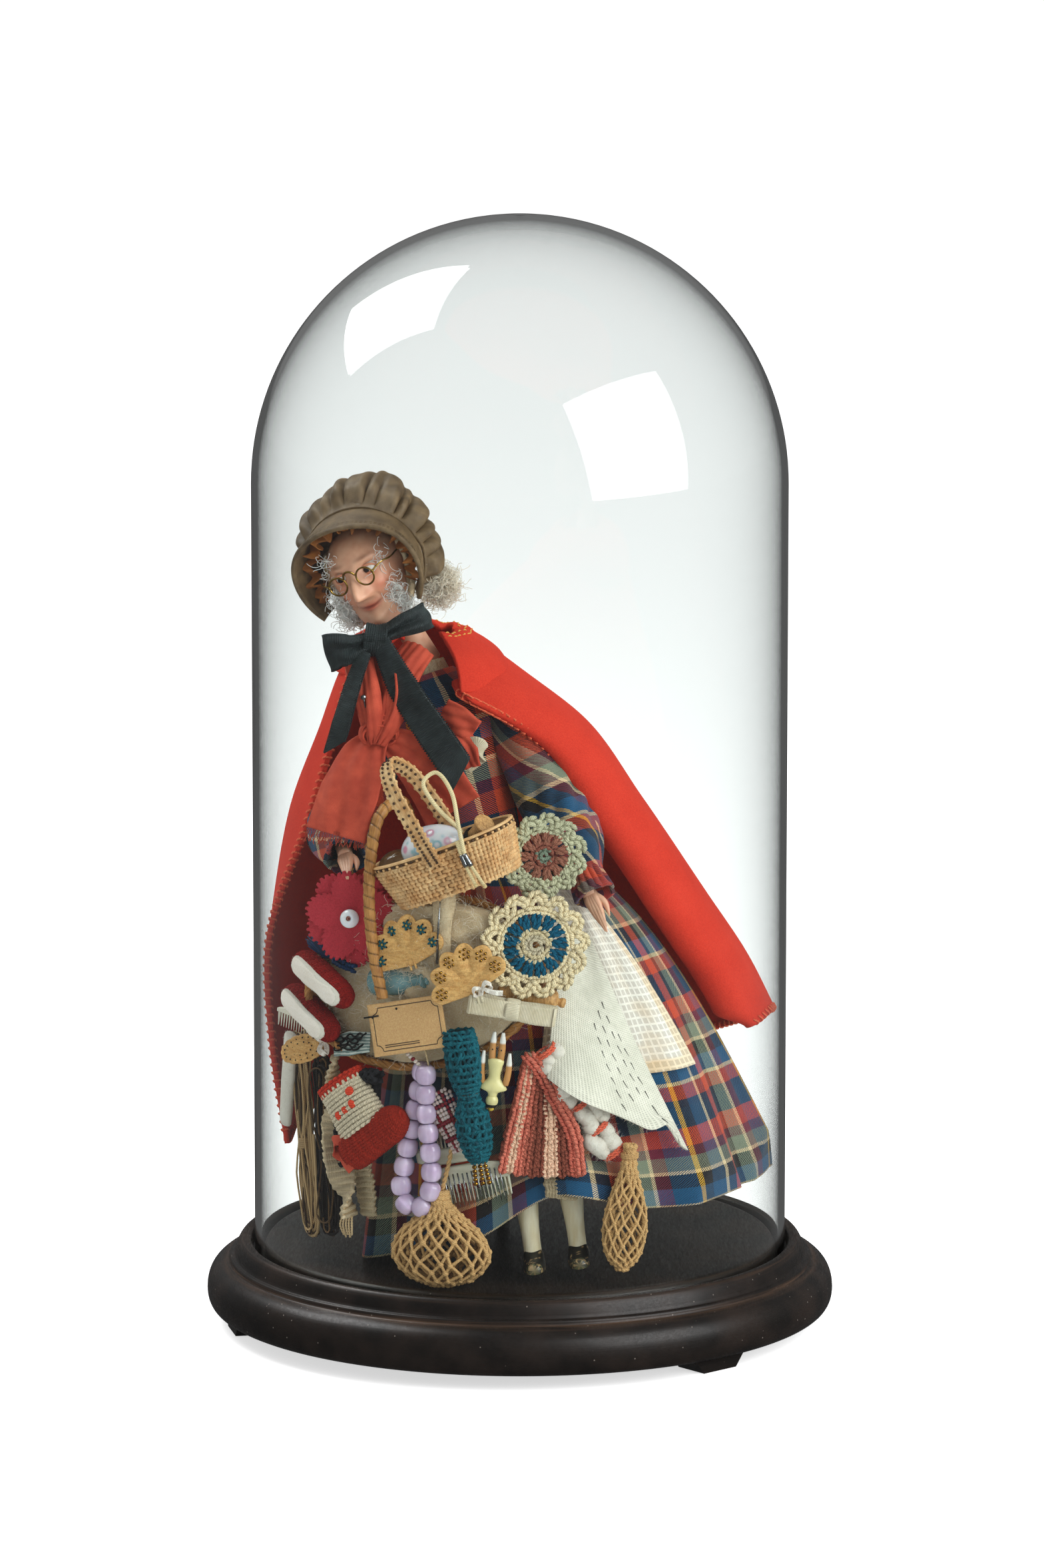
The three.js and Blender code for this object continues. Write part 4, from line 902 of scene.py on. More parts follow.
@dataclass(frozen=True)
class Tartan(Finish):
    """Wool tartan in a 2/2 twill: crossing stripes that mix in fine diagonal lines."""

    name: str = "tartan wool twill"
    line: float = 1.0
    warp: tuple[tuple[float, str], ...] = (
        (0, "174a6e"), (9, "e2cba2"), (11, "161f38"), (17, "cf4a2a"), (26, "1a1718"), (31, "7d8a76"),
        (37, "e2cba2"),
        (39, "6e2038"), (45, "174a6e"), (54, "dba92e"), (56, "1f1a1c"),
    )
    weft: tuple[tuple[float, str], ...] = (
        (0, "163650"), (10, "cc4728"), (19, "6a1f34"), (24, "7b806c"), (31, "dfc498"), (33, "181416"),
        (40, "1a547c"),
        (48, "dfc498"), (50, "bd4326"), (57, "1a2a44"),
    )
    repeat: float = 61.0

    def mix(self, p: Paint) -> bpy.types.Material:
        """Two sets of stripes, each seen on its own side of the twill line; the line is drawn coarse.

        Args:
            p: the material's nodes.

        Returns:
            The material.
        """
        x, y = (p.node("SeparateXYZ", {0: p.cloth}, k) for k in (0, 1))
        sets = []
        for way, stripes in ((x, self.warp), (y, self.weft)):
            place = p.node(
                "Math", {0: p.node("Math", {0: way, 1: self.repeat}, operation="DIVIDE")}, operation="FRACT"
            )
            stops = [(at / self.repeat, colour) for at, colour in stripes]
            sets.append(self.banded(p, place, stops))
        bent = p.node("TexNoise", {"Vector": p.cloth, "Scale": 0.5, "Detail": 3.0}, 1)
        shift = p.node("VectorMath", {0: bent, "Scale": 0.5}, operation="SCALE")
        drawn = p.node("VectorMath", {0: p.cloth, 1: shift})
        twill = p.node(
            "TexWave", {"Vector": drawn, "Scale": ridge_scale(self.line, True)}, 1, bands_direction="DIAGONAL"
        )
        side = p.node("MapRange", {0: twill, 1: 0.35, 2: 0.65})
        base = p.node("Mix", {0: side, 6: sets[0], 7: sets[1]}, 2, data_type="RGBA")
        fibre = p.node("TexNoise", {"Vector": p.cloth, "Scale": 2.4, "Detail": 4.0})
        tone = p.node("MapRange", {0: fibre, 1: 0.25, 2: 0.75, 3: 0.7, 4: 1.25})
        base = p.node("Mix", {0: 1.0, 6: base, 7: tone}, 2, data_type="RGBA", blend_type="MULTIPLY")
        height = p.node("Math", {0: twill, 1: fibre})
        lift = p.node("Bump", {"Height": height, "Distance": 0.25 * MM, "Strength": 0.6})
        sheen = {"Sheen Weight": 0.15, "Sheen Roughness": 0.5}
        return p.finish(
            {"Base Color": base, "Roughness": 0.85, "Normal": lift, "Specular IOR Level": 0.25, **sheen}
        )

    @staticmethod
    def banded(p: Paint, place: bpy.types.NodeSocket, stops: list[tuple[float, str]]) -> bpy.types.NodeSocket:
        """The stripe colours at a place in the repeat, with hard edges."""
        colour = p.node("ValToRGB", {0: place}, stops=stops)
        colour.node.color_ramp.interpolation = "CONSTANT"
        return colour


@dataclass(frozen=True)
class Muslin(Finish):
    """Fine cotton muslin: sheer, with a window-pane check of thicker threads and yellowed hems."""

    name: str = "checked cotton muslin"
    check: float = 3.7

    def mix(self, p: Paint) -> bpy.types.Material:
        """Thick threads both ways over a thin ground that lets the dress show through.

        Args:
            p: the material's nodes.

        Returns:
            The material.
        """
        lines = []
        for way in ("X", "Y"):
            wave = {
                "Vector": p.cloth, "Scale": ridge_scale(self.check), "Distortion": 0.9, "Detail": 2.0,
                "Detail Scale": 0.6,
            }
            band = p.node("TexWave", wave, 1, bands_direction=way)
            lines.append(p.node("MapRange", {0: band, 1: 0.72, 2: 0.9}))
        check = p.node("Math", {0: lines[0], 1: lines[1]}, operation="MAXIMUM")
        fine = p.node(
            "TexWave",
            {"Vector": p.cloth, "Scale": ridge_scale(0.5), "Distortion": 1.5},
            1,
            bands_direction="DIAGONAL",
        )
        cloud = p.node("TexNoise", {"Vector": p.cloth, "Scale": 0.05, "Detail": 3.0})
        stain = p.node("MapRange", {0: cloud, 1: 0.5, 2: 0.75})
        base = p.node("Mix", {0: check, 6: "e6ddd2", 7: "faf4ea"}, 2, data_type="RGBA")
        base = p.node(
            "Mix",
            {0: p.node("Math", {0: stain, 1: 0.6}, operation="MULTIPLY"), 6: base, 7: "e6c79f"},
            2,
            data_type="RGBA",
        )
        hem = p.node("Attribute", out="Color", attribute_name="tint")
        base = p.node("Mix", {0: 1.0, 6: base, 7: hem}, 2, data_type="RGBA", blend_type="MULTIPLY")
        solid = p.node("MapRange", {0: check, 3: 0.88, 4: 1.0})
        height = p.node("Math", {0: check, 1: fine})
        lift = p.node("Bump", {"Height": height, "Distance": 0.15 * MM, "Strength": 0.5})
        return p.finish(
            {"Base Color": base, "Roughness": 0.9, "Alpha": solid, "Normal": lift, "Specular IOR Level": 0.2}
        )


@dataclass(frozen=True)
class Yarn(Finish):
    """Spun wool or cotton: twisted plies, soft and matt; the piece's own tint gives the colours of the
    balls."""

    name: str = "plied wool yarn"
    ply: float = 1.1
    depth: float = 0.25
    rough: float = 0.95

    def mix(self, p: Paint) -> bpy.types.Material:
        """Diagonal plies round the strand, with painted shade in the gaps between them.

        Args:
            p: the material's nodes.

        Returns:
            The material.
        """
        twist = {"Vector": p.cloth, "Scale": ridge_scale(self.ply, True), "Distortion": 0.8, "Detail": 2.0}
        plies = p.node("TexWave", twist, 1, bands_direction="DIAGONAL")
        fibre = p.node("TexNoise", {"Vector": p.solid, "Scale": 3.0, "Detail": 5.0, "Roughness": 0.7})
        cloud = p.node("TexNoise", {"Vector": p.solid, "Scale": 0.12, "Detail": 2.0})
        tint = p.node("Attribute", out="Color", attribute_name="tint")
        # The tone is partly random fibre and cloud, partly painted shade in the gaps between the plies and
        # painted light on their crowns.
        tone = p.node("Math", {0: p.node("Math", {0: plies, 1: fibre}), 1: cloud})
        tone = p.node("MapRange", {0: tone, 1: 0.6, 2: 2.1, 3: 0.62, 4: 1.22})
        base = p.node("Mix", {0: 1.0, 6: tint, 7: tone}, 2, data_type="RGBA", blend_type="MULTIPLY")
        height = p.node("Math", {0: plies, 1: fibre})
        lift = p.node("Bump", {"Height": height, "Distance": self.depth * MM, "Strength": 0.7})
        sheen = {"Sheen Weight": 0.3, "Sheen Roughness": 0.5, "Sheen Tint": tint}
        return p.finish(
            {"Base Color": base, "Roughness": self.rough, "Normal": lift, "Specular IOR Level": 0.2, **sheen}
        )


@dataclass(frozen=True)
class Straw(Finish):
    """Split cane or straw: long fibres, a dry polish and darker knots."""

    name: str
    light: str
    dark: str
    rough: float = 0.5

    def mix(self, p: Paint) -> bpy.types.Material:
        """Fibres that run along the strand and patches of age.

        Args:
            p: the material's nodes.

        Returns:
            The material.
        """
        stretched = p.node("VectorMath", {0: p.cloth, 1: (3.2, 0.18, 1.0)}, operation="MULTIPLY")
        fibre = p.node("TexNoise", {"Vector": stretched, "Scale": 1.0, "Detail": 5.0})
        cloud = p.node("TexNoise", {"Vector": p.solid, "Scale": 0.16, "Detail": 4.0})
        tone = p.node("Math", {0: fibre, 1: cloud}, operation="MULTIPLY")
        base = p.node("ValToRGB", {0: tone}, stops=[(0.12, self.dark), (0.34, self.light)])
        tint = p.node("Attribute", out="Color", attribute_name="tint")
        base = p.node("Mix", {0: 1.0, 6: base, 7: tint}, 2, data_type="RGBA", blend_type="MULTIPLY")
        lift = p.node("Bump", {"Height": fibre, "Distance": 0.18 * MM, "Strength": 0.5})
        gloss = p.node("MapRange", {0: cloud, 3: self.rough - 0.1, 4: self.rough + 0.2})
        return p.finish({"Base Color": base, "Roughness": gloss, "Normal": lift, "Specular IOR Level": 0.4})


@dataclass(frozen=True)
class Timber(Finish):
    """Close-grained wood, planed and handled: fine darker lines along the grain."""

    name: str
    light: str
    dark: str
    along: Point = (0.25, 0.25, 0.04)
    rough: float = 0.55

    def mix(self, p: Paint) -> bpy.types.Material:
        """Grain stretched along the piece.

        Args:
            p: the material's nodes.

        Returns:
            The material.
        """
        stretched = p.node("VectorMath", {0: p.solid, 1: self.along}, operation="MULTIPLY")
        grain = p.node("TexNoise", {"Vector": stretched, "Scale": 4.0, "Detail": 6.0, "Distortion": 0.6})
        pore = p.node("TexNoise", {"Vector": p.solid, "Scale": 1.8, "Detail": 3.0})
        base = p.node("ValToRGB", {0: grain}, stops=[(0.32, self.dark), (0.62, self.light)])
        spot = p.node("MapRange", {0: pore, 1: 0.3, 2: 0.6, 3: 0.75, 4: 1.05})
        base = p.node("Mix", {0: 1.0, 6: base, 7: spot}, 2, data_type="RGBA", blend_type="MULTIPLY")
        lift = p.node("Bump", {"Height": grain, "Distance": 0.12 * MM, "Strength": 0.4})
        return p.finish({"Base Color": base, "Roughness": self.rough, "Normal": lift})


@dataclass(frozen=True)
class Ebonised(Finish):
    """Ebonised turned beech under old polish: black with brown rubbed edges, dust and fine scratches."""

    name: str = "ebonised turned beech"

    def mix(self, p: Paint) -> bpy.types.Material:
        """Brown shows at the heights of the turned edges and in the groove.

        Args:
            p: the material's nodes.

        Returns:
            The material.
        """
        height = p.node("SeparateXYZ", {0: p.solid}, 2)
        blotch = p.node("TexNoise", {"Vector": p.solid, "Scale": 0.05, "Detail": 6.0})
        streak = p.node("VectorMath", {0: p.solid, 1: (0.03, 0.03, 1.6)}, operation="MULTIPLY")
        turned = p.node("TexNoise", {"Vector": streak, "Scale": 1.0, "Detail": 6.0, "Distortion": 0.4})
        rubbed = p.node("ValToRGB", {0: p.node("MapRange", {0: height, 1: 0.0, 2: 40.0})}, stops=[
            (0.0, "404040"), (0.13, "303030"), (0.22, "000000"), (0.6, "000000"), (0.64, "d0d0d0"),
            (0.68, "101010"),
            (0.8, "000000"), (0.855, "909090"), (0.87, "000000"),
        ])
        worn = p.node(
            "Math", {0: rubbed, 1: p.node("MapRange", {0: turned, 1: 0.35, 2: 0.7})}, operation="MULTIPLY"
        )
        base = p.node(
            "Mix",
            {0: p.node("MapRange", {0: blotch, 1: 0.4, 2: 0.8}), 6: "14110f", 7: "2a211c"},
            2,
            data_type="RGBA",
        )
        base = p.node("Mix", {0: worn, 6: base, 7: "5c4534"}, 2, data_type="RGBA")
        grit = p.node("TexVoronoi", {"Vector": p.solid, "Scale": 0.22, "Randomness": 1.0})
        dust = p.node("MapRange", {0: grit, 1: 0.045, 2: 0.075, 3: 1.0, 4: 0.0})
        grey = p.node("Math", {0: dust, 1: blotch}, operation="MULTIPLY")
        base = p.node("Mix", {0: grey, 6: base, 7: "8e857c"}, 2, data_type="RGBA")
        hair = p.node("VectorMath", {0: p.solid, 1: (0.5, 0.06, 0.5)}, operation="MULTIPLY")
        scratch = p.node("TexNoise", {"Vector": hair, "Scale": 2.0, "Detail": 8.0, "Distortion": 1.2})
        gloss = p.node("MapRange", {0: scratch, 1: 0.3, 2: 0.75, 3: 0.3, 4: 0.55})
        lift = p.node("Bump", {"Height": turned, "Distance": 0.12 * MM, "Strength": 0.25})
        coat = {"Coat Weight": 0.08, "Coat Roughness": 0.2, "Specular IOR Level": 0.25}
        return p.finish({"Base Color": base, "Roughness": gloss, "Normal": lift, **coat})


@dataclass(frozen=True)
class ClearGlass(Finish):
    """Blown soda glass: clear, faintly grey, dark only where the wall is seen edge on."""

    name: str
    colour: str = "f4f7f6"
    rough: float = 0.0
    ior: float = 1.5

    def mix(self, p: Paint) -> bpy.types.Material:
        """Light reaches what stands inside as if the glass were air; the eye still sees it bend.

        Args:
            p: the material's nodes.

        Returns:
            The material.
        """
        ripple = p.node("TexNoise", {"Vector": p.solid, "Scale": 0.012, "Detail": 1.0})
        lift = p.node("Bump", {"Height": ripple, "Distance": 1.0 * MM, "Strength": 0.12})
        smear = p.node("TexNoise", {"Vector": p.solid, "Scale": 0.03, "Detail": 5.0})
        rough = p.node("MapRange", {0: smear, 1: 0.45, 2: 0.8, 3: self.rough, 4: self.rough + 0.03})
        made = p.finish({
            "Base Color": self.colour, "Roughness": rough, "IOR": self.ior, "Transmission Weight": 1.0,
            "Normal": lift,
        })
        lit = p.node(
            "Math",
            {0: p.node("LightPath", out="Is Shadow Ray"), 1: p.node("LightPath", out="Is Diffuse Ray")},
            operation="MAXIMUM",
        )
        through = p.node("BsdfTransparent", {"Color": self.colour})
        surface = p.node("MixShader", {0: lit, 1: p.shader.outputs[0], 2: through})
        p.feed(p.end, {"Surface": surface})
        return made


@dataclass(frozen=True)
class Glaze(Finish):
    """Smooth glass, ivory, horn, wax or paint: a tinted body under a polish, clouded within."""

    name: str
    colour: str
    shade: str
    rough: float = 0.2
    glow: float = 0.0
    clear: float = 0.0
    coat: float = 0.0
    tinted: bool = False
    streak: Point = (0.2, 0.2, 0.2)

    def mix(self, p: Paint) -> bpy.types.Material:
        """Cloudy colour, a touch of wear in the polish, light scattered inside where it glows.

        Args:
            p: the material's nodes.

        Returns:
            The material.
        """
        where = p.node("VectorMath", {0: p.solid, 1: self.streak}, operation="MULTIPLY")
        cloud = p.node("TexNoise", {"Vector": where, "Scale": 1.0, "Detail": 5.0})
        fine = p.node("TexNoise", {"Vector": p.solid, "Scale": 1.2, "Detail": 4.0})
        tone = p.node("MapRange", {0: cloud, 1: 0.3, 2: 0.7})
        base = p.node("Mix", {0: tone, 6: self.shade, 7: self.colour}, 2, data_type="RGBA")
        if self.tinted:
            tint = p.node("Attribute", out="Color", attribute_name="tint")
            base = p.node("Mix", {0: 1.0, 6: base, 7: tint}, 2, data_type="RGBA", blend_type="MULTIPLY")
        gloss = p.node("MapRange", {0: fine, 3: self.rough * 0.7, 4: self.rough * 1.4})
        lift = p.node("Bump", {"Height": fine, "Distance": 0.08 * MM, "Strength": 0.2})
        inside = {
            "Subsurface Weight": self.glow, "Subsurface Radius": (2.0, 1.2, 0.9), "Subsurface Scale": 1.0 * MM
        }
        cover = {"Transmission Weight": self.clear, "Coat Weight": self.coat, "Coat Roughness": 0.08}
        return p.finish({"Base Color": base, "Roughness": gloss, "Normal": lift, **inside, **cover})


@dataclass(frozen=True)
class Metal(Finish):
    """Drawn wire or turned metal: bright, with handling marks and a little tarnish."""

    name: str
    colour: str
    tarnish: str
    rough: float = 0.28

    def mix(self, p: Paint) -> bpy.types.Material:
        """Tarnish in clouds, with duller metal where it lies.

        Args:
            p: the material's nodes.

        Returns:
            The material.
        """
        cloud = p.node("TexNoise", {"Vector": p.solid, "Scale": 0.6, "Detail": 5.0})
        share = p.node("MapRange", {0: cloud, 1: 0.4, 2: 0.75})
        base = p.node("Mix", {0: share, 6: self.colour, 7: self.tarnish}, 2, data_type="RGBA")
        gloss = p.node("MapRange", {0: share, 3: self.rough, 4: self.rough + 0.25})
        lift = p.node("Bump", {"Height": cloud, "Distance": 0.05 * MM, "Strength": 0.3})
        return p.finish({"Base Color": base, "Metallic": 1.0, "Roughness": gloss, "Normal": lift})


# Milled wool: matt, with a soft nap and a pale bloom where the surface turns away.
SCARLET = Felt("scarlet wool felt", "e2402c", "c9301f")
# The same milled felt, longer in the nap.
ROSE = Felt("rose wool felt", "d0404a", "b02c3a", 0.9)
# Felt that has yellowed a little in the folds.
WHITE_FELT = Felt("white wool felt", "f1ece2", "dcd3c4", 0.7)
# Brushed linen: threads half hidden by fluff. They are drawn coarse so that they show.
NEEDLE_LINEN = Cloth("fleecy white linen", "f0ebdc", "dcd8c8", 0.95, Weave.PLAIN, 0.95, 0.4)
# Thin cotton: dull, with fine threads both ways.
CORAL = Cloth("coral cotton lawn", "d9573c", "b63f2a", 0.32, Weave.PLAIN, 0.75, 0.35)
# Silk taffeta: bright along the folds, dark in the valleys.
BRONZE = Cloth("bronze silk taffeta", "8c7252", "57432d", 0.3, Weave.SATIN, 0.38, 0.3)
# Ribbed silk: a warm sheen on each rib.
RUCHE = Cloth("tawny silk ribbon", "c67c38", "8e4f22", 0.4, Weave.RIBBED, 0.5, 0.4)
# Cross ribs that catch the light in short lines. They are drawn wider than real ones.
GROSGRAIN = Cloth("black grosgrain ribbon", "2b3537", "151b1d", 0.62, Weave.RIBBED, 0.6, 0.3)
# Cotton tape: chalky, with a fine rib.
CREAM_TAPE = Cloth("cream cotton tape", "ebe0c8", "d3c4a4", 0.6, Weave.RIBBED, 0.85, 0.2)
# Wool twill: flat colour in crossing stripes. The twill line is drawn at 1 mm to show, coarser than real.
TARTAN = Tartan()
# Sheer cotton: the dress shows through between the thicker threads.
MUSLIN = Muslin()
# Spun wool: matt plies, with painted shade in the gaps between them.
WOOL = Yarn()
# Hard twisted string: tight plies with a slight gloss.
STRING = Yarn("hard twisted string", 0.9, 0.16, 0.8)
# Knitting cotton: smooth plies, chalky light.
KNIT = Yarn("knitting cotton", 0.7, 0.15, 0.9)
# Lustred yarn: a brighter line along each ply.
GLASSY_YARN = Yarn("lustred silk yarn", 0.8, 0.2, 0.5)
# Stained and polished wood: near black, soft highlights, rubbed edges.
EBONY = Ebonised()
# Split cane: a glossy skin with darker fibres along it.
CANE = Straw("split cane", "c68d4c", "8a5526", 0.42)
# Plaited straw: dull gold, streaked along the blade.
STRAW = Straw("plaited straw", "edc590", "c98f54", 0.55)
# Combed fleece: creamy fibres with no hard edge.
FLEECE = Felt("combed fleece", "ecd8b6", "cfb38c", 0.9)
# Cream mohair: fine hairs that glint.
MOHAIR = Glaze("cream mohair", "f6ecdc", "e6d4ba", 0.55, 0.2)
# White mohair: the same hairs, bleached.
WHITE_HAIR = Glaze("white mohair", "faf8f4", "e6e2dc", 0.55, 0.2)
# Wax over painted wood: a waxy glow with light scattered below the surface.
WAX = Glaze("painted wax over wood", "eab596", "d99c7e", 0.4, 0.2, tinted=True)
# Limed birch: pale, with a quiet grain.
DOLL_WOOD = Timber("limed birch", "e8d9b4", "cbb384", rough=0.42)
# Old cream paint: satin, streaked along the limb.
PAINTED_LIMB = Glaze(
    "cream paint on birch", "f2e8cc", "d9c79c", 0.4, 0.05, coat=0.2, tinted=True, streak=(0.4, 0.4, 0.08)
)
# Oiled birch: honey colour, low shine.
BIRCH = Timber("oiled birch", "d9a868", "a87640", (0.3, 0.3, 0.05))
# Scraped board: short fibres, no shine.
BOARD = Timber("scraped fan board", "e0b06b", "c8904c", (0.1, 0.1, 0.3), 0.6)
# Pulp card: dead matt and slightly mottled.
CARD = Felt("tan pulp card", "d8ad7a", "c89c68", 0.15)
# Drawn wire: warm reflections, tarnished in places.
BRASS = Metal("drawn brass wire", "c9a24f", "7d6330")
# Polished steel: cold, narrow highlights.
STEEL = Metal("polished steel", "c9ccd0", "8d8f92", 0.2)
# Gilt beads: small bright sparks of gold.
GILT = Metal("gilt glass beads", "d9a542", "a8772a", 0.2)
# Blackened iron: broad dull highlights.
IRON = Metal("black iron", "4b4a48", "2c2826", 0.5)
# Opal glass: milky, with a hard wet highlight.
OPAL = Glaze("opal glass", "f1f3f8", "e6e8f0", 0.08, 0.5, coat=0.6, tinted=True)
# Satin glass: a milky band of light across each bead.
SATIN_GLASS = Glaze("lilac satin glass", "e4d8ea", "c9b4d0", 0.16, 0.4, coat=0.5, tinted=True)
# Small glass beads: pale, one highlight each.
SEED_GLASS = Glaze("seed bead glass", "f4eee8", "e6dad2", 0.12, 0.2, coat=0.4, tinted=True)
# Pale blue glass: part clear, part milky.
BLUE_GLASS = Glaze("pale blue glass", "a9cfd4", "7fb2bd", 0.1, 0.2, 0.45)
# Ivory: warm white with a faint grain.
IVORY = Glaze("ivory", "e9e0cc", "d3c4a4", 0.3, 0.3)
# Pressed horn: pale and cloudy, streaked along the plate.
HORN = Glaze("pressed horn", "ece8d6", "cfc9b0", 0.22, 0.2, 0.0, 0.3, streak=(0.06, 0.06, 0.4))
# Oil paint: an even film with a low gloss.
PAINT = Glaze("oil paint", "ffffff", "e6e6e6", 0.35, coat=0.3, tinted=True)
# Blown glass: clear, darker toward the edges, sharp reflections of the lamps.
DOME_GLASS = ClearGlass("blown dome glass")
# Crystal: clear, bends what lies behind it.
EGG_GLASS = ClearGlass("clear crystal egg", "fbfbfb")


@dataclass
class Studio:
    """Camera, soft lights, white floor and the room that the glass reflects."""

    lens: float = 209.03
    distance: float = 3678.2
    look_down: float = 10.658
    target: Point = (0.0, 0.0, 221.24)
    aside: float = 0.875
    key_strength: float = 5.4
    top_strength: float = 7.4
    room_light: float = 0.56
    mirrored_light: float = 0.17

    def build(self) -> None:
        """Makes the camera first, then the light and the floor."""
        bpy.context.scene.view_settings.view_transform = "Standard"
        self.camera()
        self.lights()
        self.room()
        self.floor()

    def camera(self) -> None:
        """The place the photograph was taken from."""
        down = math.radians(self.look_down)
        lens = bpy.data.cameras.new("camera")
        lens.lens, lens.sensor_width, lens.clip_end = self.lens, 36.0, 50.0
        made = bpy.data.objects.new("camera", lens)
        away = Vector((0, -math.cos(down), math.sin(down))) * self.distance
        made.location = (Vector(self.target) + away + Vector((self.aside, 0, 0))) * MM
        made.rotation_euler = (math.pi / 2 - down, 0, 0)
        bpy.context.scene.collection.objects.link(made)
        bpy.context.scene.camera = made

    def lights(self) -> None:
        """Two soft boxes whose windows show on the dome: one right and in front, one left and above."""
        for name, way, size, strength in (
            ("key", (0.72, -0.56, 0.4), (1.25, 1.15), self.key_strength),
            ("top", (-0.56, 0.3, 0.76), (0.85, 0.85), self.top_strength),
        ):
            lamp = bpy.data.lights.new(name, "AREA")
            lamp.shape, lamp.size, lamp.size_y = "RECTANGLE", size[0], size[1]
            lamp.energy = strength * math.pi * size[0] * size[1]
            made = bpy.data.objects.new(name, lamp)
            away = Vector(way).normalized()
            made.location = Vector((0, 0, 0.3)) + away * 1.45
            made.rotation_euler = away.to_track_quat("Z", "Y").to_euler()
            bpy.context.scene.collection.objects.link(made)

    def room(self) -> None:
        """A white room behind the object and the glass, even light from all round, and dim mirror images."""
        world = bpy.data.worlds.new("studio")
        bpy.context.scene.world = world
        world.use_nodes = True
        tree = world.node_tree
        tree.nodes.clear()
        add = tree.nodes.new
        path, lit, level = add("ShaderNodeLightPath"), add("ShaderNodeMix"), add("ShaderNodeMix")
        seen, clear = add("ShaderNodeMath"), add("ShaderNodeMath")
        shade, end = add("ShaderNodeBackground"), add("ShaderNodeOutputWorld")
        seen.operation, clear.operation = "MAXIMUM", "SUBTRACT"
        clear.use_clamp = True
        tree.links.new(path.outputs["Is Camera Ray"], seen.inputs[0])
        tree.links.new(path.outputs["Is Transmission Ray"], seen.inputs[1])
        tree.links.new(seen.outputs[0], clear.inputs[0])
        tree.links.new(path.outputs["Diffuse Depth"], clear.inputs[1])
        tree.links.new(clear.outputs[0], lit.inputs[0])
        lit.inputs[2].default_value, lit.inputs[3].default_value = self.room_light, 1.0
        tree.links.new(path.outputs["Glossy Depth"], level.inputs[0])
        tree.links.new(lit.outputs[0], level.inputs[2])
        level.inputs[3].default_value = self.mirrored_light
        shade.inputs["Color"].default_value = (1, 1, 1, 1)
        tree.links.new(level.outputs[0], shade.inputs["Strength"])
        tree.links.new(shade.outputs[0], end.inputs[0])

    def floor(self) -> None:
        """White paper that runs out of sight and keeps the object's shadow."""
        half = 30.0
        mesh = bpy.data.meshes.new("floor")
        mesh.from_pydata(
            [(-half, -half, 0), (half, -half, 0), (half, half, 0), (-half, half, 0)], [], [(0, 1, 2, 3)]
        )
        made = bpy.data.objects.new("floor", mesh)
        p = Paint("white background paper")
        tooth = p.node("TexNoise", {"Vector": p.solid, "Scale": 0.4, "Detail": 4.0})
        lift = p.node("Bump", {"Height": tooth, "Distance": 0.05 * MM, "Strength": 0.2})
        p.finish({"Base Color": "f2f2f2", "Roughness": 0.9, "Normal": lift, "Specular IOR Level": 0.2})
        seen = p.node(
            "Math",
            {0: p.node("LightPath", out="Is Camera Ray"), 1: p.node("LightPath", out="Is Transmission Ray")},
            operation="MAXIMUM",
        )
        clear = p.node(
            "Math",
            {0: seen, 1: p.node("LightPath", out="Diffuse Depth")},
            operation="SUBTRACT",
            use_clamp=True,
        )
        glow = p.node(
            "Emission",
            {"Color": "ffffff", "Strength": p.node("Math", {0: clear, 1: 0.62}, operation="MULTIPLY")},
        )
        lit = p.node("AddShader", {0: p.shader.outputs[0], 1: glow})
        dim = p.node("Emission", {"Color": "ffffff", "Strength": 0.1})
        mirrored = p.node(
            "Math", {0: p.node("LightPath", out="Glossy Depth"), 1: 0.5}, operation="GREATER_THAN"
        )
        p.feed(p.end, {"Surface": p.node("MixShader", {0: mirrored, 1: lit, 2: dim})})
        mesh.materials.append(p.material)
        bpy.context.scene.collection.objects.link(made)


@dataclass
class Laces:
    """The free cords: a bootlace over the basket and two hanks of lace, along the CAD's own routes."""

    radius: float = 0.65
    loops: int = 3
    steps: int = 16
    wound: float = 2.2

    def build(self) -> None:
        """Draws each lace."""
        basket = ware(-27, 205, 20, -16, 6)
        route = [
            (10, -4, 12), (6, -13, 28), (3, -9, 36), (8, -6, 38), (13, -9, 30), (14, -15, 16), (13, -16.4, 0)
        ]
        self.lace(
            "bootlace", moved(basket, curve(route, np.linspace(0, 1, 40))), 0.845, "e6d2a4", "taut", "cord"
        )
        for name, place, tall, inner, colour in (
            ("lace_hank_brown", ware(-85.5, 86, 10.8, -9), 84, 1.4, "b3946b"),
            ("lace_hank_black", ware(-77, 84, 12.3, -4), 74, 1.2, "2a2422"),
        ):
            turn = TAU * np.arange(self.loops * self.steps + 1) / self.steps
            half = inner + self.wound * turn / TAU
            straight = tall / 2 - inner - self.loops * self.wound
            rise = straight * np.clip(2.5 * np.sin(turn), -1, 1) + half * np.sin(turn)
            hank = np.stack([half * np.cos(turn), np.zeros_like(turn), rise], -1)
            self.lace(name, moved(place, hank), self.radius, colour, "coiled", "yarn")

    def lace(self, name: str, path: np.ndarray, radius: float, colour: str, lay: str, slot: str) -> None:
        """Args:
            name: the CAD node it stands for.
            path: its points, mm.
            radius: half its width, mm.
            colour: its colour.
            lay: how it lies; not used.
            slot: the record's material slot.
        """
        draft = Draft()
        draft.tube(path, radius, 8, tint=linear(colour))
        made = draft.build(name + "_lace", STRING, slot=slot, nodes=[name])


def refinish(node: str, finish: Finish) -> None:
    """Gives a CAD piece that stays its real finish."""
    for slot in bpy.data.objects[node].material_slots:
        slot.material = finish.material()


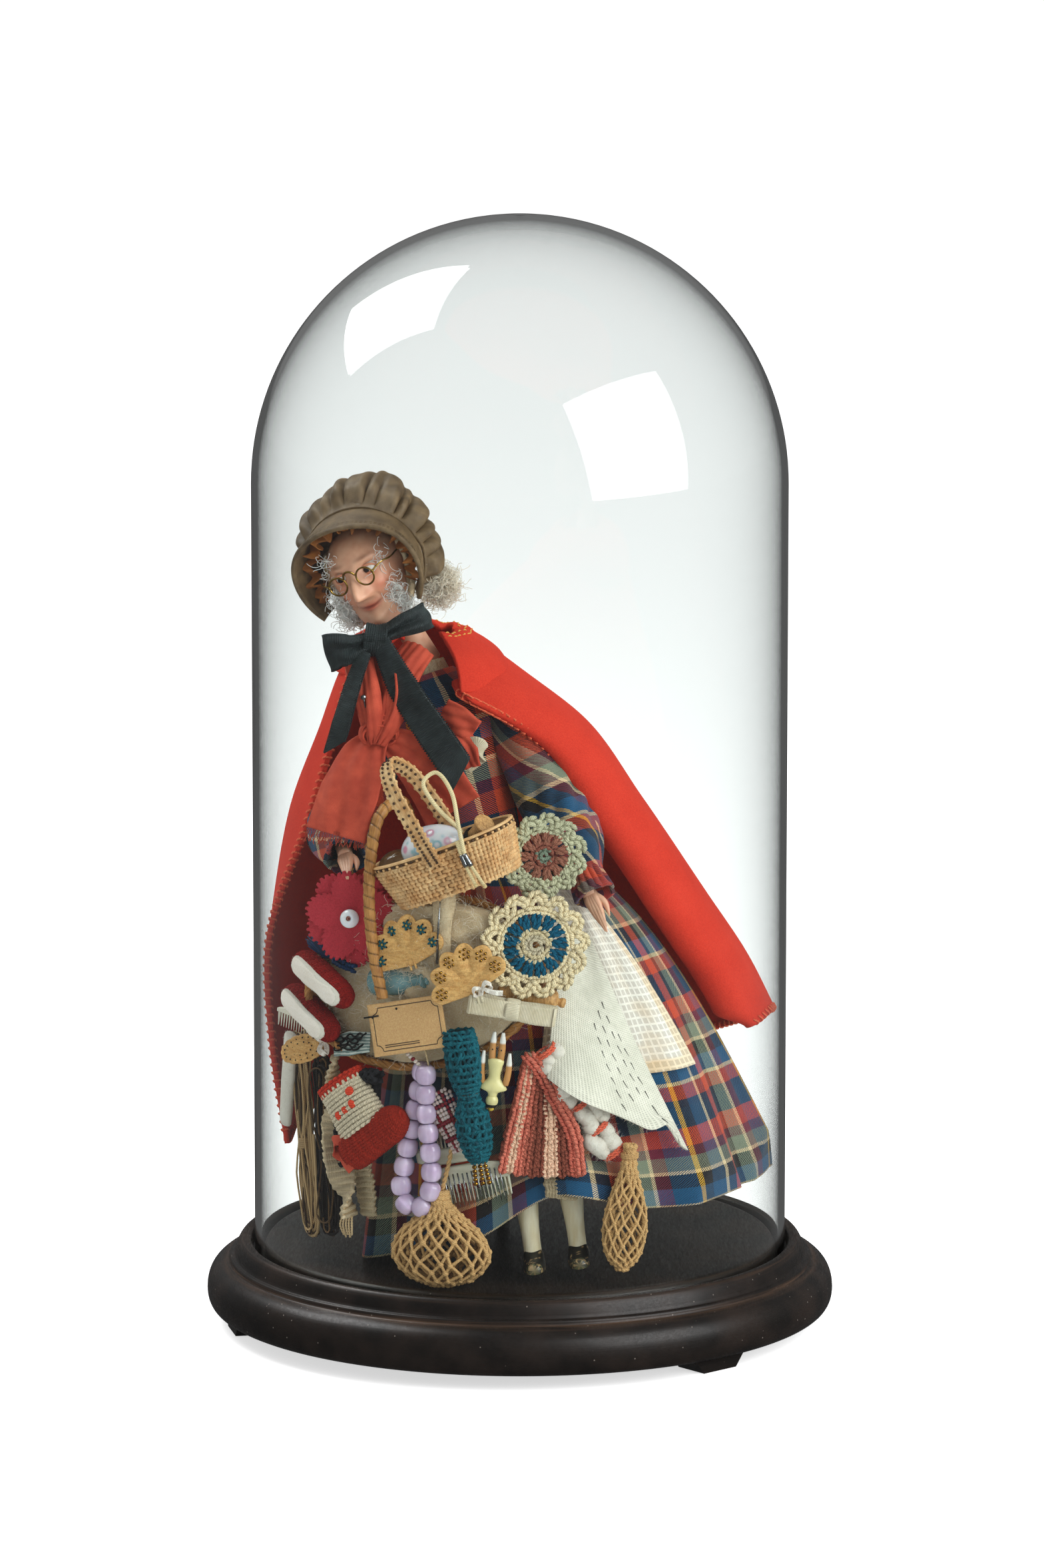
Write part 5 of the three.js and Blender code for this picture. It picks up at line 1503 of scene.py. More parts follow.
def bend(start: Sequence[float], pull: Sequence[float], stop: Sequence[float], steps: int) -> np.ndarray:
    """Points on a curve from start to stop, drawn towards a pull."""
    t = np.linspace(0, 1, steps)[:, None]
    a, b, c = (np.asarray(row, float) for row in (start, pull, stop))
    return (1 - t) ** 2 * a + 2 * t * (1 - t) * b + t * t * c


@dataclass
class Base:
    """Turned plinth, its feet and the glass dome."""

    foot_height: float = 6.0
    seat: float = 28.9
    sides: int = 160

    def build(self) -> None:
        """Makes the plinth and the dome, and finishes the feet."""
        groove_in, groove_out, groove_floor = ROOM - 1.4, GLASS_RADIUS + 1.4, PLATFORM - 6
        foot = self.foot_height
        profile = np.vstack([
            [(2, foot), (60, foot), (119, foot)],
            bend((121, foot), (127.5, foot), (127.5, 14), 14),
            bend((127.5, 14), (127.3, 23.5), (119.2, 25.2), 14)[1:],
            [(118.5, 25.6), (118.4, 26.4), (118.2, 27.2), (117.6, 27.5), (116.7, 27.6)],
            bend((116.4, 27.8), (114.6, 34.5), (112.4, 34.5), 10),
            [
                (111.2, 34.4), (110, 34.0), (groove_out, 33.4), (groove_out, groove_floor + 0.3),
                (groove_out - 0.3, groove_floor),
            ],
            [
                (groove_in + 0.3, groove_floor), (groove_in, groove_floor + 0.3), (groove_in, 32.8),
                (groove_in - 0.4, 33.4),
            ],
            [(103, 34.1), (102.2, PLATFORM), (100, PLATFORM), (60, PLATFORM), (20, PLATFORM), (2, PLATFORM)],
        ])
        plinth = Draft()
        plinth.lathe(profile, self.sides)
        plinth.build("plinth_turned", EBONY, slot="ebonised_wood", nodes=["plinth"])
        for i in (1, 2, 3):
            refinish(f"plinth_foot_{i}", EBONY)
        rise = np.linspace(0, math.pi / 2 - 0.0015, 40)
        arc = np.stack([np.cos(rise), np.sin(rise)], -1)
        outside = arc * GLASS_RADIUS + [0, DOME_CENTRE]
        inside = arc[::-1] * ROOM + [0, DOME_CENTRE]
        lip = self.seat
        shell = np.vstack([
            inside,
            [(ROOM, z) for z in (260, 180, 100, 60, lip + 4, lip + 2, lip + 1)],
            [(ROOM, lip + 0.6), (ROOM + 0.1, lip + 0.2)],
            [
                (ROOM + 0.5, lip), (GLASS_RADIUS - 0.5, lip), (GLASS_RADIUS - 0.1, lip + 0.2),
                (GLASS_RADIUS, lip + 0.6),
            ],
            [(GLASS_RADIUS, z) for z in (lip + 1, lip + 2, lip + 4, 60, 100, 180, 260)],
            outside,
        ])
        dome = Draft()
        dome.lathe(shell, self.sides)
        dome.build("dome_shade", DOME_GLASS, body="dome", slot="dome_glass", nodes=["glass_dome"])


@dataclass
class Doll:
    """The wooden doll: pegged legs, arms, painted head, spectacles and hair."""

    shin_length: float = 70.0
    head_rows: tuple[tuple[float, ...], ...] = (
        (-21.5, 3, 3.5, -9.5), (-19, 7, 8, -6.5), (-13, 11.5, 13, -2.5), (-5, 14, 16, 0),
        (4, 15.5, 17.5, 1), (12, 14, 16, 2), (17.5, 9.5, 11, 2.5), (20, 4, 5, 3),
    )
    face_rise: float = 3.6
    face_roll: float = -9.0
    seed: int = 7

    def build(self) -> None:
        """Makes the doll from the feet up."""
        for node in ("torso", "thigh_left", "thigh_right"):
            refinish(node, DOLL_WOOD)
        refinish("support_stand", IRON)
        self.shin("left", (15.018, -66.573, 108.686))
        self.shin("right", (-2.828, -66.573, 106.336))
        self.arm("left", 1, (13, -45, 219), (28, -67, 188.5), "arm")
        self.arm("right", -1, (-71, -28, 212), (-69, -54, 202), "base")
        self.head()
        self.spectacles()
        self.hair()

    def shin(self, label: str, knee: Point) -> None:
        """A turned shank on its tongue, with a carved and painted shoe that is chipped at the toe.

        Args:
            label: left or right.
            knee: the knee peg's middle.
        """
        chance = np.random.default_rng(self.seed + len(label))
        draft = Draft(frame_of(knee, ("Y", -7.5), ("X", -7)))
        long = self.shin_length
        draft.loft(
            [
                (-6.4, 4.9, 4.9), (-9, 5.3, 5.3), (-22, 5.9, 5.9), (-40, 4.9, 4.9), (-54, 3.7, 3.7),
                (-62, 3.6, 3.8), (-66, 3.9, 4.4),
            ],
            28,
            40,
        )
        draft.slab((0, 0, -3.6), (4, 7.4, 7.8), 0.8)
        turn = np.linspace(0, TAU, 28, endpoint=False)
        disc = [
            np.stack([np.full(28, x), 4.6 * k * np.cos(turn), 4.6 * k * np.sin(turn)], -1)
            for x, k in ((-2, 0.9), (-1.7, 1), (1.7, 1), (2, 0.9))
        ]
        draft.patch(np.array(disc), around=True, caps=True)
        rows = curve(
            [
                (4.8, 2.2, 6, 0), (4.2, 3.4, 8, 0), (1.5, 4.3, 10.4, 0), (-1, 4.4, 10.2, 0),
                (-4.5, 4.6, 7.6, 0), (-8, 4.4, 5.8, 0), (-11, 3.6, 4.6, 0), (-13, 2.4, 3.6, 0),
            ],
            np.linspace(0, 1, 34),
        )
        turn = np.linspace(0, TAU, 36, endpoint=False)
        square = np.sign(np.cos(turn)) * np.abs(np.cos(turn)) ** 0.7
        arch = np.where(np.sin(turn) > 0, np.abs(np.sin(turn)) ** 0.85, -np.abs(np.sin(turn)) ** 0.35)
        grid = np.stack([
            rows[:, 1:2] * square[None] * (1 - 0.12 * np.clip(arch, 0, 1)[None]),
            np.repeat(rows[:, :1], 36, 1),
            rows[:, 2:3] * (arch[None] + 1) / 2 - long,
        ], -1)
        chip = chance.random(grid.shape[:2])
        worn = (chip > 0.93) | ((grid[..., 1] < -11.5) & (chip > 0.45)) | (grid[..., 2] < -long + 0.5)
        black = np.array([0.02, 0.021, 0.024])
        bare = np.array([0.55, 0.42, 0.3])
        green = np.array([0.16, 0.2, 0.15])
        tint = np.where(worn[..., None], np.where((chip > 0.7)[..., None], bare, green), black)
        draft.patch(grid, around=True, caps=True, tint=tint)
        draft.build(
            f"shin_{label}_painted",
            PAINTED_LIMB,
            body=f"leg_lower_{label}",
            slot="doll_wood",
            nodes=[f"shin_{label}"],
        )

    def arm(self, label: str, side: int, elbow: Point, wrist: Point, body: str) -> None:
        """A round arm pinned at the shoulder, ending in a carved hand with a pointed mitten and a thumb.

        Args:
            label: left or right.
            side: 1 on the doll's left, -1 on its right.
            elbow: the elbow's middle.
            wrist: the wrist's middle.
            body: the body it moves with.
        """
        draft = Draft()
        root = moved(UPPER, [(side * 24.6, 0, 91)])[0]
        path = curve([root, elbow, wrist], np.linspace(0, 1, 26))
        draft.tube(path, [4.2, 4.2, 4.0, 3.4, 2.9], 18)
        across = unit(moved(UPPER, [(1, 0, 0)])[0] - moved(UPPER, [(0, 0, 0)])[0])
        draft.tube([root + across * k for k in (-3.1, -2.8, 2.8, 3.1)], [5.4, 6.2, 6.2, 5.4], 24)
        reach = unit(np.subtract(wrist, elbow))
        aside = unit(np.cross(reach, (0, 1, 0.2)))
        lift = np.cross(aside, reach)
        tip = np.asarray(wrist) + reach * 16.6
        skin = linear("ffffff")
        for spread, length, thick in (
            (-1.5, 13.5, 1.2), (-0.5, 16.2, 1.35), (0.6, 16.6, 1.35), (1.6, 14.6, 1.2)
        ):
            finger = [
                np.asarray(wrist) - reach * 2 + aside * spread * 0.7,
                np.asarray(wrist) + reach * 6 + aside * spread,
                np.asarray(wrist) + reach * length + aside * spread * 0.45,
            ]
            draft.tube(
                curve(finger, np.linspace(0, 1, 12)), [1.9, 2.1, thick, thick * 0.75, 0.3], 10, tint=skin
            )
        thumb = [
            np.asarray(wrist) + aside * 1.6,
            np.asarray(wrist) + reach * 4.5 + aside * 4.0 + lift,
            np.asarray(wrist) + reach * 10.5 + aside * 3.6 + lift * 1.4,
        ]
        draft.tube(curve(thumb, np.linspace(0, 1, 10)), [1.6, 1.5, 1.1, 0.3], 10, tint=skin)
        LOG.debug("hand of the %s arm ends at %s", label, tip)
        draft.build(f"arm_{label}_carved", WAX, body=body, slot="doll_wood", nodes=[f"arm_{label}"])

    def head(self) -> None:
        """A carved and painted old face: hooked nose, sunken eyes, round cheeks, thin smiling lips."""
        share = np.linspace(0, 1, 120)
        rows = curve(self.head_rows, share)
        turn = np.linspace(0, TAU, 150, endpoint=False)[None]
        x = np.maximum(rows[:, 1:2], 0.05) * np.cos(turn)
        z = np.repeat(rows[:, :1], 150, 1)
        y = rows[:, 3:4] + np.maximum(rows[:, 2:3], 0.05) * np.sin(turn)
        front = np.clip(-np.sin(turn), 0, 1) ** 0.6
        rise = z - self.face_rise
        smile = -12.4 + 0.035 * x * x
        bridge = ease((7 - rise) / 12.5) * ease((rise + 9.6) / 3.2)
        nose = 8.2 * bridge * bell(x, 0.0, np.clip(1.7 + 0.13 * (5 - rise), 1.6, 3.2))
        wings = 1.3 * bell(np.abs(x), 3.0, 1.1) * bell(rise, -6.6, 1.4)
        socket = -2.6 * bell(np.abs(x), 6.4, 3.0) * bell(rise, 2.2, 2.6)
        brow = 1.3 * bell(np.abs(x), 6.0, 4.0) * bell(rise, 6.2, 1.6)
        cheek = 1.9 * bell(np.abs(x), 8.2, 3.6) * bell(rise, -5.5, 3.6)
        upper_lip = 1.0 * bell(rise, smile + 0.9, 0.7) * bell(x, 0, 4.6)
        lips = upper_lip + 1.1 * bell(rise, smile - 0.9, 0.8) * bell(x, 0, 4.0)
        parting = -1.1 * bell(rise, smile, 0.35) * bell(x, 0, 5.4)
        fold = -0.6 * bell(np.abs(x) - 4.6 - 0.35 * (-7 - rise), 0.0, 0.7) * bell(rise, -10, 3.0)
        chin = 2.6 * bell(x, 0, 3.8) * bell(rise, -18.2, 2.4)
        y = y - front * (nose + wings + socket + brow + cheek + lips + parting + fold + chin)
        tint = np.ones(x.shape + (3,))
        for mask, colour in (
            (0.75 * bell(np.abs(x), 8.4, 4.2) * bell(rise, -5, 4.0), (1.0, 0.62, 0.56)),
            (0.5 * bell(x, 0, 2.6) * bell(rise, -6, 2.6), (1.0, 0.82, 0.76)),
            (0.95 * np.clip(bell(rise, smile, 1.5) * bell(x, 0, 4.4) * 1.3, 0, 1), (0.72, 0.3, 0.28)),
            (0.8 * bell(rise, smile, 0.35) * bell(x, 0, 5.0), (0.25, 0.08, 0.08)),
            # Painted shade in the eye sockets.
            (0.45 * bell(np.abs(x), 6.4, 3.4) * bell(rise, 2.2, 2.6), (0.72, 0.48, 0.46)),
            (0.75 * bell(np.abs(x), 6.2, 3.0) * bell(rise, 7.0, 0.7), (0.42, 0.36, 0.32)),
        ):
            share_here = (mask * (front > 0.02))[..., None]
            tint = tint * (1 - share_here) + np.asarray(colour) * share_here
        face = HEAD @ frame_of((0, 0, 0), ("Y", self.face_roll))
        draft = Draft(face)
        draft.patch(np.stack([x, y, z], -1), around=True, caps=True, tint=tint)
        foot = moved(face.inverted(), moved(UPPER, [(0, 0, 114.3)]))[0]
        draft.tube(curve([foot, (0, 3, -16), (0, 1, -8)], np.linspace(0, 1, 12)), [5.2, 5.0, 5.2], 24)
        white, dark = linear("efe9e2"), linear("201c1c")
        for side in (-1, 1):
            level = 2.0 + self.face_rise
            draft.ball((side * 6.3, -12.4, level), (2.7, 2.4, 2.3), 20, 14, 1, white)
            draft.ball((side * 6.0 - 0.7, -14.1, level - 0.2), (1.35, 1.0, 1.35), 16, 10, 1, dark)
            open_eye = np.linspace(0.05, math.pi - 0.05, 12)
            for way, lid in ((1, 2.45), (-1, 2.2)):
                arc = np.stack(
                    [
                        side * 6.3 + 2.9 * np.cos(open_eye),
                        -13.1 - 1.3 * np.sin(open_eye),
                        level + way * lid * 0.7 * np.sin(open_eye),
                    ],
                    -1,
                )
                draft.tube(arc, [0.25, 0.55, 0.55, 0.25], 8, tint=(0.9, 0.66, 0.6))
        draft.build("head_carved", WAX, PAINT, slot="painted_skin", nodes=["head"])

    def spectacles(self) -> None:
        """Small round wire frames, a high bridge and arms that bend back to the temples."""
        draft = Draft(HEAD @ frame_of((0, 0, 0), ("Y", self.face_roll)) @ frame_of((0, 0, self.face_rise)))
        turn = np.linspace(0, TAU, 36, endpoint=False)
        for side in (-1, 1):
            ring = np.stack(
                [side * 6.2 + 3.7 * np.cos(turn), np.full(36, -20.4), 1.2 + 3.7 * np.sin(turn)], -1
            )
            draft.tube(ring, 0.38, 10, closed=True, up=(0, 1, 0))
            hinge = side * 9.9
            arms = [
                (hinge, -20.4, 2), (hinge + side * 3.6, -17, 3.4), (hinge + side * 6, -12, 2.6),
                (hinge + side * 8, -3, 3),
            ]
            draft.tube(curve(arms, np.linspace(0, 1, 20)), 0.36, 8)
            draft.ball((hinge, -20.4, 2), (0.7, 0.7, 0.7), 10, 8)
        bridge = [
            (-2.6, -20.4, 3.2), (-1.6, -21.0, 5.0), (0, -21.2, 5.7), (1.6, -21.0, 5.0), (2.6, -20.4, 3.2)
        ]
        draft.tube(curve(bridge, np.linspace(0, 1, 16)), 0.42, 8)
        draft.build("spectacles_wire", BRASS, slot="brass_wire", nodes=["spectacles"])

    def hair(self) -> None:
        """Mohair: a combed cap, curling wisps at both cheeks and a fluffy lock at the back of the neck."""
        chance = np.random.default_rng(self.seed)
        cap = Draft(HEAD)
        rows = curve(self.head_rows[1:6], np.linspace(0, 1, 24))
        turn = np.radians(np.linspace(-12, 192, 60))[None]
        comb = 1.6 + 0.25 * np.sin(40 * turn + 3 * rows[:, :1])
        grid = np.stack(
            [
                (rows[:, 1:2] + comb) * np.cos(turn),
                rows[:, 3:4] + (rows[:, 2:3] + comb) * np.sin(turn),
                np.repeat(rows[:, :1], 60, 1),
            ],
            -1,
        )
        cap.patch(grid)
        cap.build("hair_cap", FLEECE, slot="mohair", nodes=["hair"], thick=1.6)
        white, cream = [], []
        for side, count in ((-1, 340), (1, 300)):
            for _ in range(count):
                drop = chance.triangular(-19, -14, 2)
                root = np.array(
                    [
                        side * chance.uniform(8.2, 14.5),
                        -12.5 + 0.45 * abs(drop + 4) + chance.normal(0, 1.2),
                        drop,
                    ]
                )
                white.append(
                    self.wisp(chance, root, (side * 0.45, -0.85, -0.35), chance.uniform(4, 11), 1.25)
                )
        for _ in range(46):
            root = np.array(
                [
                    chance.choice([-1, 1]) * chance.uniform(8, 14),
                    -11.5 + chance.normal(0, 0.6),
                    chance.uniform(6, 14),
                ]
            )
            white.append(
                self.wisp(chance, root, (chance.normal(0, 0.7), -0.3, -0.9), chance.uniform(4, 10), 0.8)
            )
        for _ in range(1500):
            way = unit(chance.normal(0, 1, 3))
            root = np.array([22.5, 6, -13]) + way * np.array([9, 7, 9.5]) * chance.uniform(0.2, 1.0)
            cream.append(
                self.wisp(chance, root, tuple(way + np.array([0.8, 0, -0.2])), chance.uniform(4, 10), 1.0)
            )
        strands("cheek_wisps", [moved(HEAD, row) for row in white], 0.12, WHITE_HAIR)
        strands("neck_lock", [moved(HEAD, row) for row in cream], 0.1, MOHAIR)

    @staticmethod
    def wisp(
        chance: np.random.Generator, root: np.ndarray, way: Point, length: float, curl: float
    ) -> np.ndarray:
        """One curling hair from a root, drawn on in small steps.

        Args:
            chance: source of the random draws.
            root: where the hair leaves the head.
            way: the way it sets out.
            length: millimetres of hair.
            curl: how much it turns.

        Returns:
            The hair's points.
        """
        steps = 9
        spots, ahead = [root], unit(np.asarray(way, float) + chance.normal(0, 0.35, 3))
        spin = unit(chance.normal(0, 1, 3))
        for _ in range(steps):
            ahead = unit(ahead + curl * 0.55 * np.cross(spin, ahead) + chance.normal(0, 0.12, 3))
            spots.append(spots[-1] + ahead * length / steps)
        return np.array(spots)


@dataclass
class Dress:
    """Tartan skirt, bodice and sleeves, the muslin apron and the needle cloth over it."""

    cloth: float = 1.3
    waist: Point = (-12.2, -37.4, 199)
    hem: Point = (19, -25, 58)
    sleeve_radii: tuple[float, ...] = (8, 10.5, 12, 13, 13.4, 12.6, 10, 6.4, 7.8)

    def build(self) -> None:
        """Makes the clothes from the inside out."""
        self.skirt()
        self.bodice()
        self.sleeve("left", 1, (15, -47, 219), (30, -67, 189), "arm")
        self.sleeve("right", -1, (-71, -28, 212), (-69, -54, 202), "base")
        self.apron()
        self.needle_cloth()

    def skirt_at(
        self, u: np.ndarray, v: np.ndarray, out: float | np.ndarray = 0.0, crease: float = 1.0
    ) -> np.ndarray:
        """The skirt's surface: u turns round from the right-hand side, v falls from waist to hem.

        Args:
            u: share of a turn.
            v: share of the fall.
            out: millimetres outside the cloth.
            crease: strength of the small folds.

        Returns:
            Points of the surface.
        """
        turn = TAU * u
        wide = v**0.5
        fold = 1 + 0.055 * v * np.cos(9 * turn + 0.6)
        small = crease * 0.014 * v * np.cos(23 * turn + 1.7 * np.sin(3 * turn) + 2.2 * v)
        tuck = 0.16 * bell(u, 0.7, 0.1) * bell(v, 0.2, 0.14)
        half_x = lerp(19, 81, wide) * (fold + small) + out
        half_y = lerp(15.5, 62, v**0.68) * (fold + small - tuck) + out
        across = half_x * np.cos(turn)
        x = lerp(self.waist[0], self.hem[0], wide) + across
        y = lerp(self.waist[1], self.hem[1], v) + half_y * np.sin(turn)
        z = lerp(self.waist[2], self.hem[2], v) + np.where(across < 0, 0.27, 0.13) * v * across
        z = z + 14 * bell(u, 0.742, 0.055) * ease((v - 0.7) / 0.3)
        reach = ROOM - (2.5 - out / 2)
        shrink = np.minimum(1, reach / np.maximum(np.hypot(x, y), 1e-6))
        return np.stack([x * shrink, y * shrink, z], -1)

    def skirt(self) -> None:
        """A full gathered skirt, its tartan square to the hem."""
        u, v = np.meshgrid(np.linspace(0, 1, 361)[:-1], np.linspace(0, 1, 90))
        draft = Draft()
        draft.patch(self.skirt_at(u, v), around=True, flat=(488.0, 171.0))
        made = draft.build("skirt_tartan", TARTAN, slot="tartan_twill", nodes=["skirt"], thick=self.cloth)

    def bodice(self) -> None:
        """A close bodice round the trunk, up to the neck."""
        rows = curve(
            [
                (38, 12, 9), (58, 15, 10.5), (78, 17.5, 11.5), (90, 18.6, 11), (100, 14.5, 9.5),
                (105, 9.6, 8), (109, 6.2, 6.2),
            ],
            np.linspace(0, 1, 48),
        )
        turn = np.linspace(0, TAU, 96, endpoint=False)[None]
        slack = 1.9 + 0.35 * np.sin(8 * turn) * np.sin(np.linspace(0, math.pi, 48))[:, None]
        grid = np.stack(
            [
                (rows[:, 1:2] + slack) * np.cos(turn),
                (rows[:, 2:3] + slack) * np.sin(turn),
                np.repeat(rows[:, :1], 96, 1),
            ],
            -1,
        )
        draft = Draft(UPPER)
        draft.patch(grid, around=True)
        made = draft.build("bodice_tartan", TARTAN, slot="tartan_twill", nodes=["bodice"], thick=self.cloth)

    def sleeve(self, label: str, side: int, elbow: Point, wrist: Point, body: str) -> None:
        """A full sleeve cut on the cross, drawn in at the cuff, with creases at the elbow.

        Args:
            label: left or right.
            side: 1 on the doll's left, -1 on its right.
            elbow: the elbow's middle.
            wrist: the wrist's middle.
            body: the body it moves with.
        """
        root = moved(UPPER, [(side * 24.6, 0, 91)])[0]
        share = np.linspace(0, 1, 110)
        along = lerp(0.05, 1.0, share)
        path = curve([root, elbow, wrist], along)
        run = unit(np.gradient(path, axis=0))
        forward = moved(UPPER, [(0, 1, 0)])[0] - moved(UPPER, [(0, 0, 0)])[0]
        across = unit(np.cross(run, forward))
        lift = np.cross(run, across)
        radii = curve(np.c_[self.sleeve_radii, self.sleeve_radii, self.sleeve_radii], share)[:, :1]
        turn = np.linspace(0, TAU, 120, endpoint=False)[None]
        rank = 7 * share[:, None]
        cuff = bell(share[:, None], 0.92, 0.06)
        elbow_crease = 0.05 * np.sin(9 * turn - 26 * share[:, None]) * bell(share[:, None], 0.5, 0.2)
        swell = 1 + 0.06 * np.sin(5 * turn + rank) + 0.09 * cuff * np.sin(17 * turn) + elbow_crease
        ring = radii * swell
        grid = (
            path[:, None]
            + (ring * np.cos(turn))[..., None] * across[:, None]
            + (ring * np.sin(turn))[..., None] * lift[:, None]
        )
        rear = np.maximum(0, grid[..., 1] - path[:, None, 1])
        grid[..., 1] -= rear * 0.75 * ease((share[:, None] - 0.3) / 0.3)
        draft = Draft()
        length = float(np.linalg.norm(np.diff(path, axis=0), axis=1).sum())
        draft.patch(grid, around=True, flat=(84.0, length))
        draft.weave[-1][:, 0] += 0.9 * draft.weave[-1][:, 1]
        made = draft.build(
            f"sleeve_{label}_tartan",
            TARTAN,
            body=body,
            slot="tartan_twill",
            nodes=[f"sleeve_{label}"],
            thick=self.cloth,
        )

    def apron(self) -> None:
        """A sheer apron with a check in the weave, folded hems and soft creases."""
        u, v = np.meshgrid(np.linspace(0, 1, 130), np.linspace(0, 1, 110))
        turn = 0.832 - 0.012 * v + (u - 0.5) * 0.165 * lerp(0.5, 1.0, v)
        crease = 0.6 * np.sin(30 * u + 2 * v) * (1 - v) ** 0.5 + 0.5 * np.sin(11 * u - 3 * v)
        grid = self.skirt_at(turn, lerp(0.04, 0.6, v), 2.6 + crease, 0.5)
        hem = np.maximum.reduce([ease((u - 0.9) / 0.02), ease((0.1 - u) / 0.02), ease((v - 0.93) / 0.015)])
        tint = 1 - hem[..., None] * np.array([0.02, 0.14, 0.3])
        draft = Draft()
        draft.patch(grid, tint=tint, flat=(92.0, 96.0))
        made = draft.build("apron_muslin", MUSLIN, slot="white_cloth", nodes=["apron"], thick=0.5)

    def needle_cloth(self) -> None:
        """A fleecy white cloth that hangs from the tray's edge, with two pointed corners and steel needles
        run through it."""
        near_u, near_v = np.meshgrid(np.linspace(0.72, 0.93, 40), np.linspace(0.1, 0.85, 40))
        front = self.skirt_at(near_u, near_v, 2.6).reshape(-1, 3)

        def basis(x: np.ndarray, z: np.ndarray) -> np.ndarray:
            """Terms of the quadric that is fitted to the skirt's front."""
            return np.stack([np.ones_like(x), x, z, x * x, x * z, z * z], -1)

        fit = np.linalg.lstsq(basis(front[:, 0], front[:, 2]), front[:, 1], rcond=None)[0]
        u, v = np.meshgrid(np.linspace(0, 1, 90), np.linspace(0, 1, 120))
        left = curve([(20, 174, 0), (13.5, 148, 0), (11, 121, 0)], v[:, 0])[:, None]
        right = curve([(27, 174, 0), (45, 132, 0), (66, 87.5, 0)], v[:, 0])[:, None]
        flat = lerp(left, right, u[..., None])
        notch = 5.5 * bell(u, 0.84, 0.07) * ease((v - 0.86) / 0.14)
        x, z = flat[..., 0] + 0.5 * notch, flat[..., 1] + notch
        wave = 0.8 * np.sin(7 * u + 5 * v) + 1.6 * ease((v - 0.75) / 0.25) * np.sin(8 * u + 0.5)
        over = 15 * bell(x, 20, 19) * bell(z, 114, 27)
        y = basis(x, z) @ fit - 4.4 - wave - over
        shrink = np.minimum(1, (ROOM - 2.2) / np.hypot(x, y))
        grid = np.stack([x * shrink, y * shrink, z], -1)
        draft = Draft()
        draft.patch(grid)
        cloth = draft.build(
            "needle_cloth_linen", NEEDLE_LINEN, slot="white_cloth", nodes=["needle_cloth"], thick=1.4
        )
        edge = Draft()
        edge.patch(grid[:, :4])
        edge.patch(grid[:, -2:])
        edge.patch(grid[-3:])
        edge.fuzz(900, 3.2, 0.07, 3, alone=True)
        loose = edge.build("needle_cloth_fray", WHITE_FELT, slot="white_cloth")
        pins = Draft()
        for u0, first in ((0.5, 0.5), (0.6, 0.42), (0.7, 0.36), (0.8, 0.5)):
            for row in range(7):
                v0 = first + 0.068 * row
                u1, v1 = u0 + 0.014 + 0.008 * (row % 2), v0 + 0.034
                ends = [
                    grid[int(b * 119), int(a * 89)]
                    for a, b in ((u0 + 0.012 * row, v0), (u1 + 0.012 * row, min(v1, 0.97)))
                ]
                out = np.array([0.25, -1.0, 0.1]) * 0.86
                pins.tube([ends[0] + out, ends[1] + out], [0.17, 0.15, 0.07], 8)
        needles = pins.build("needles", IRON, slot="iron")



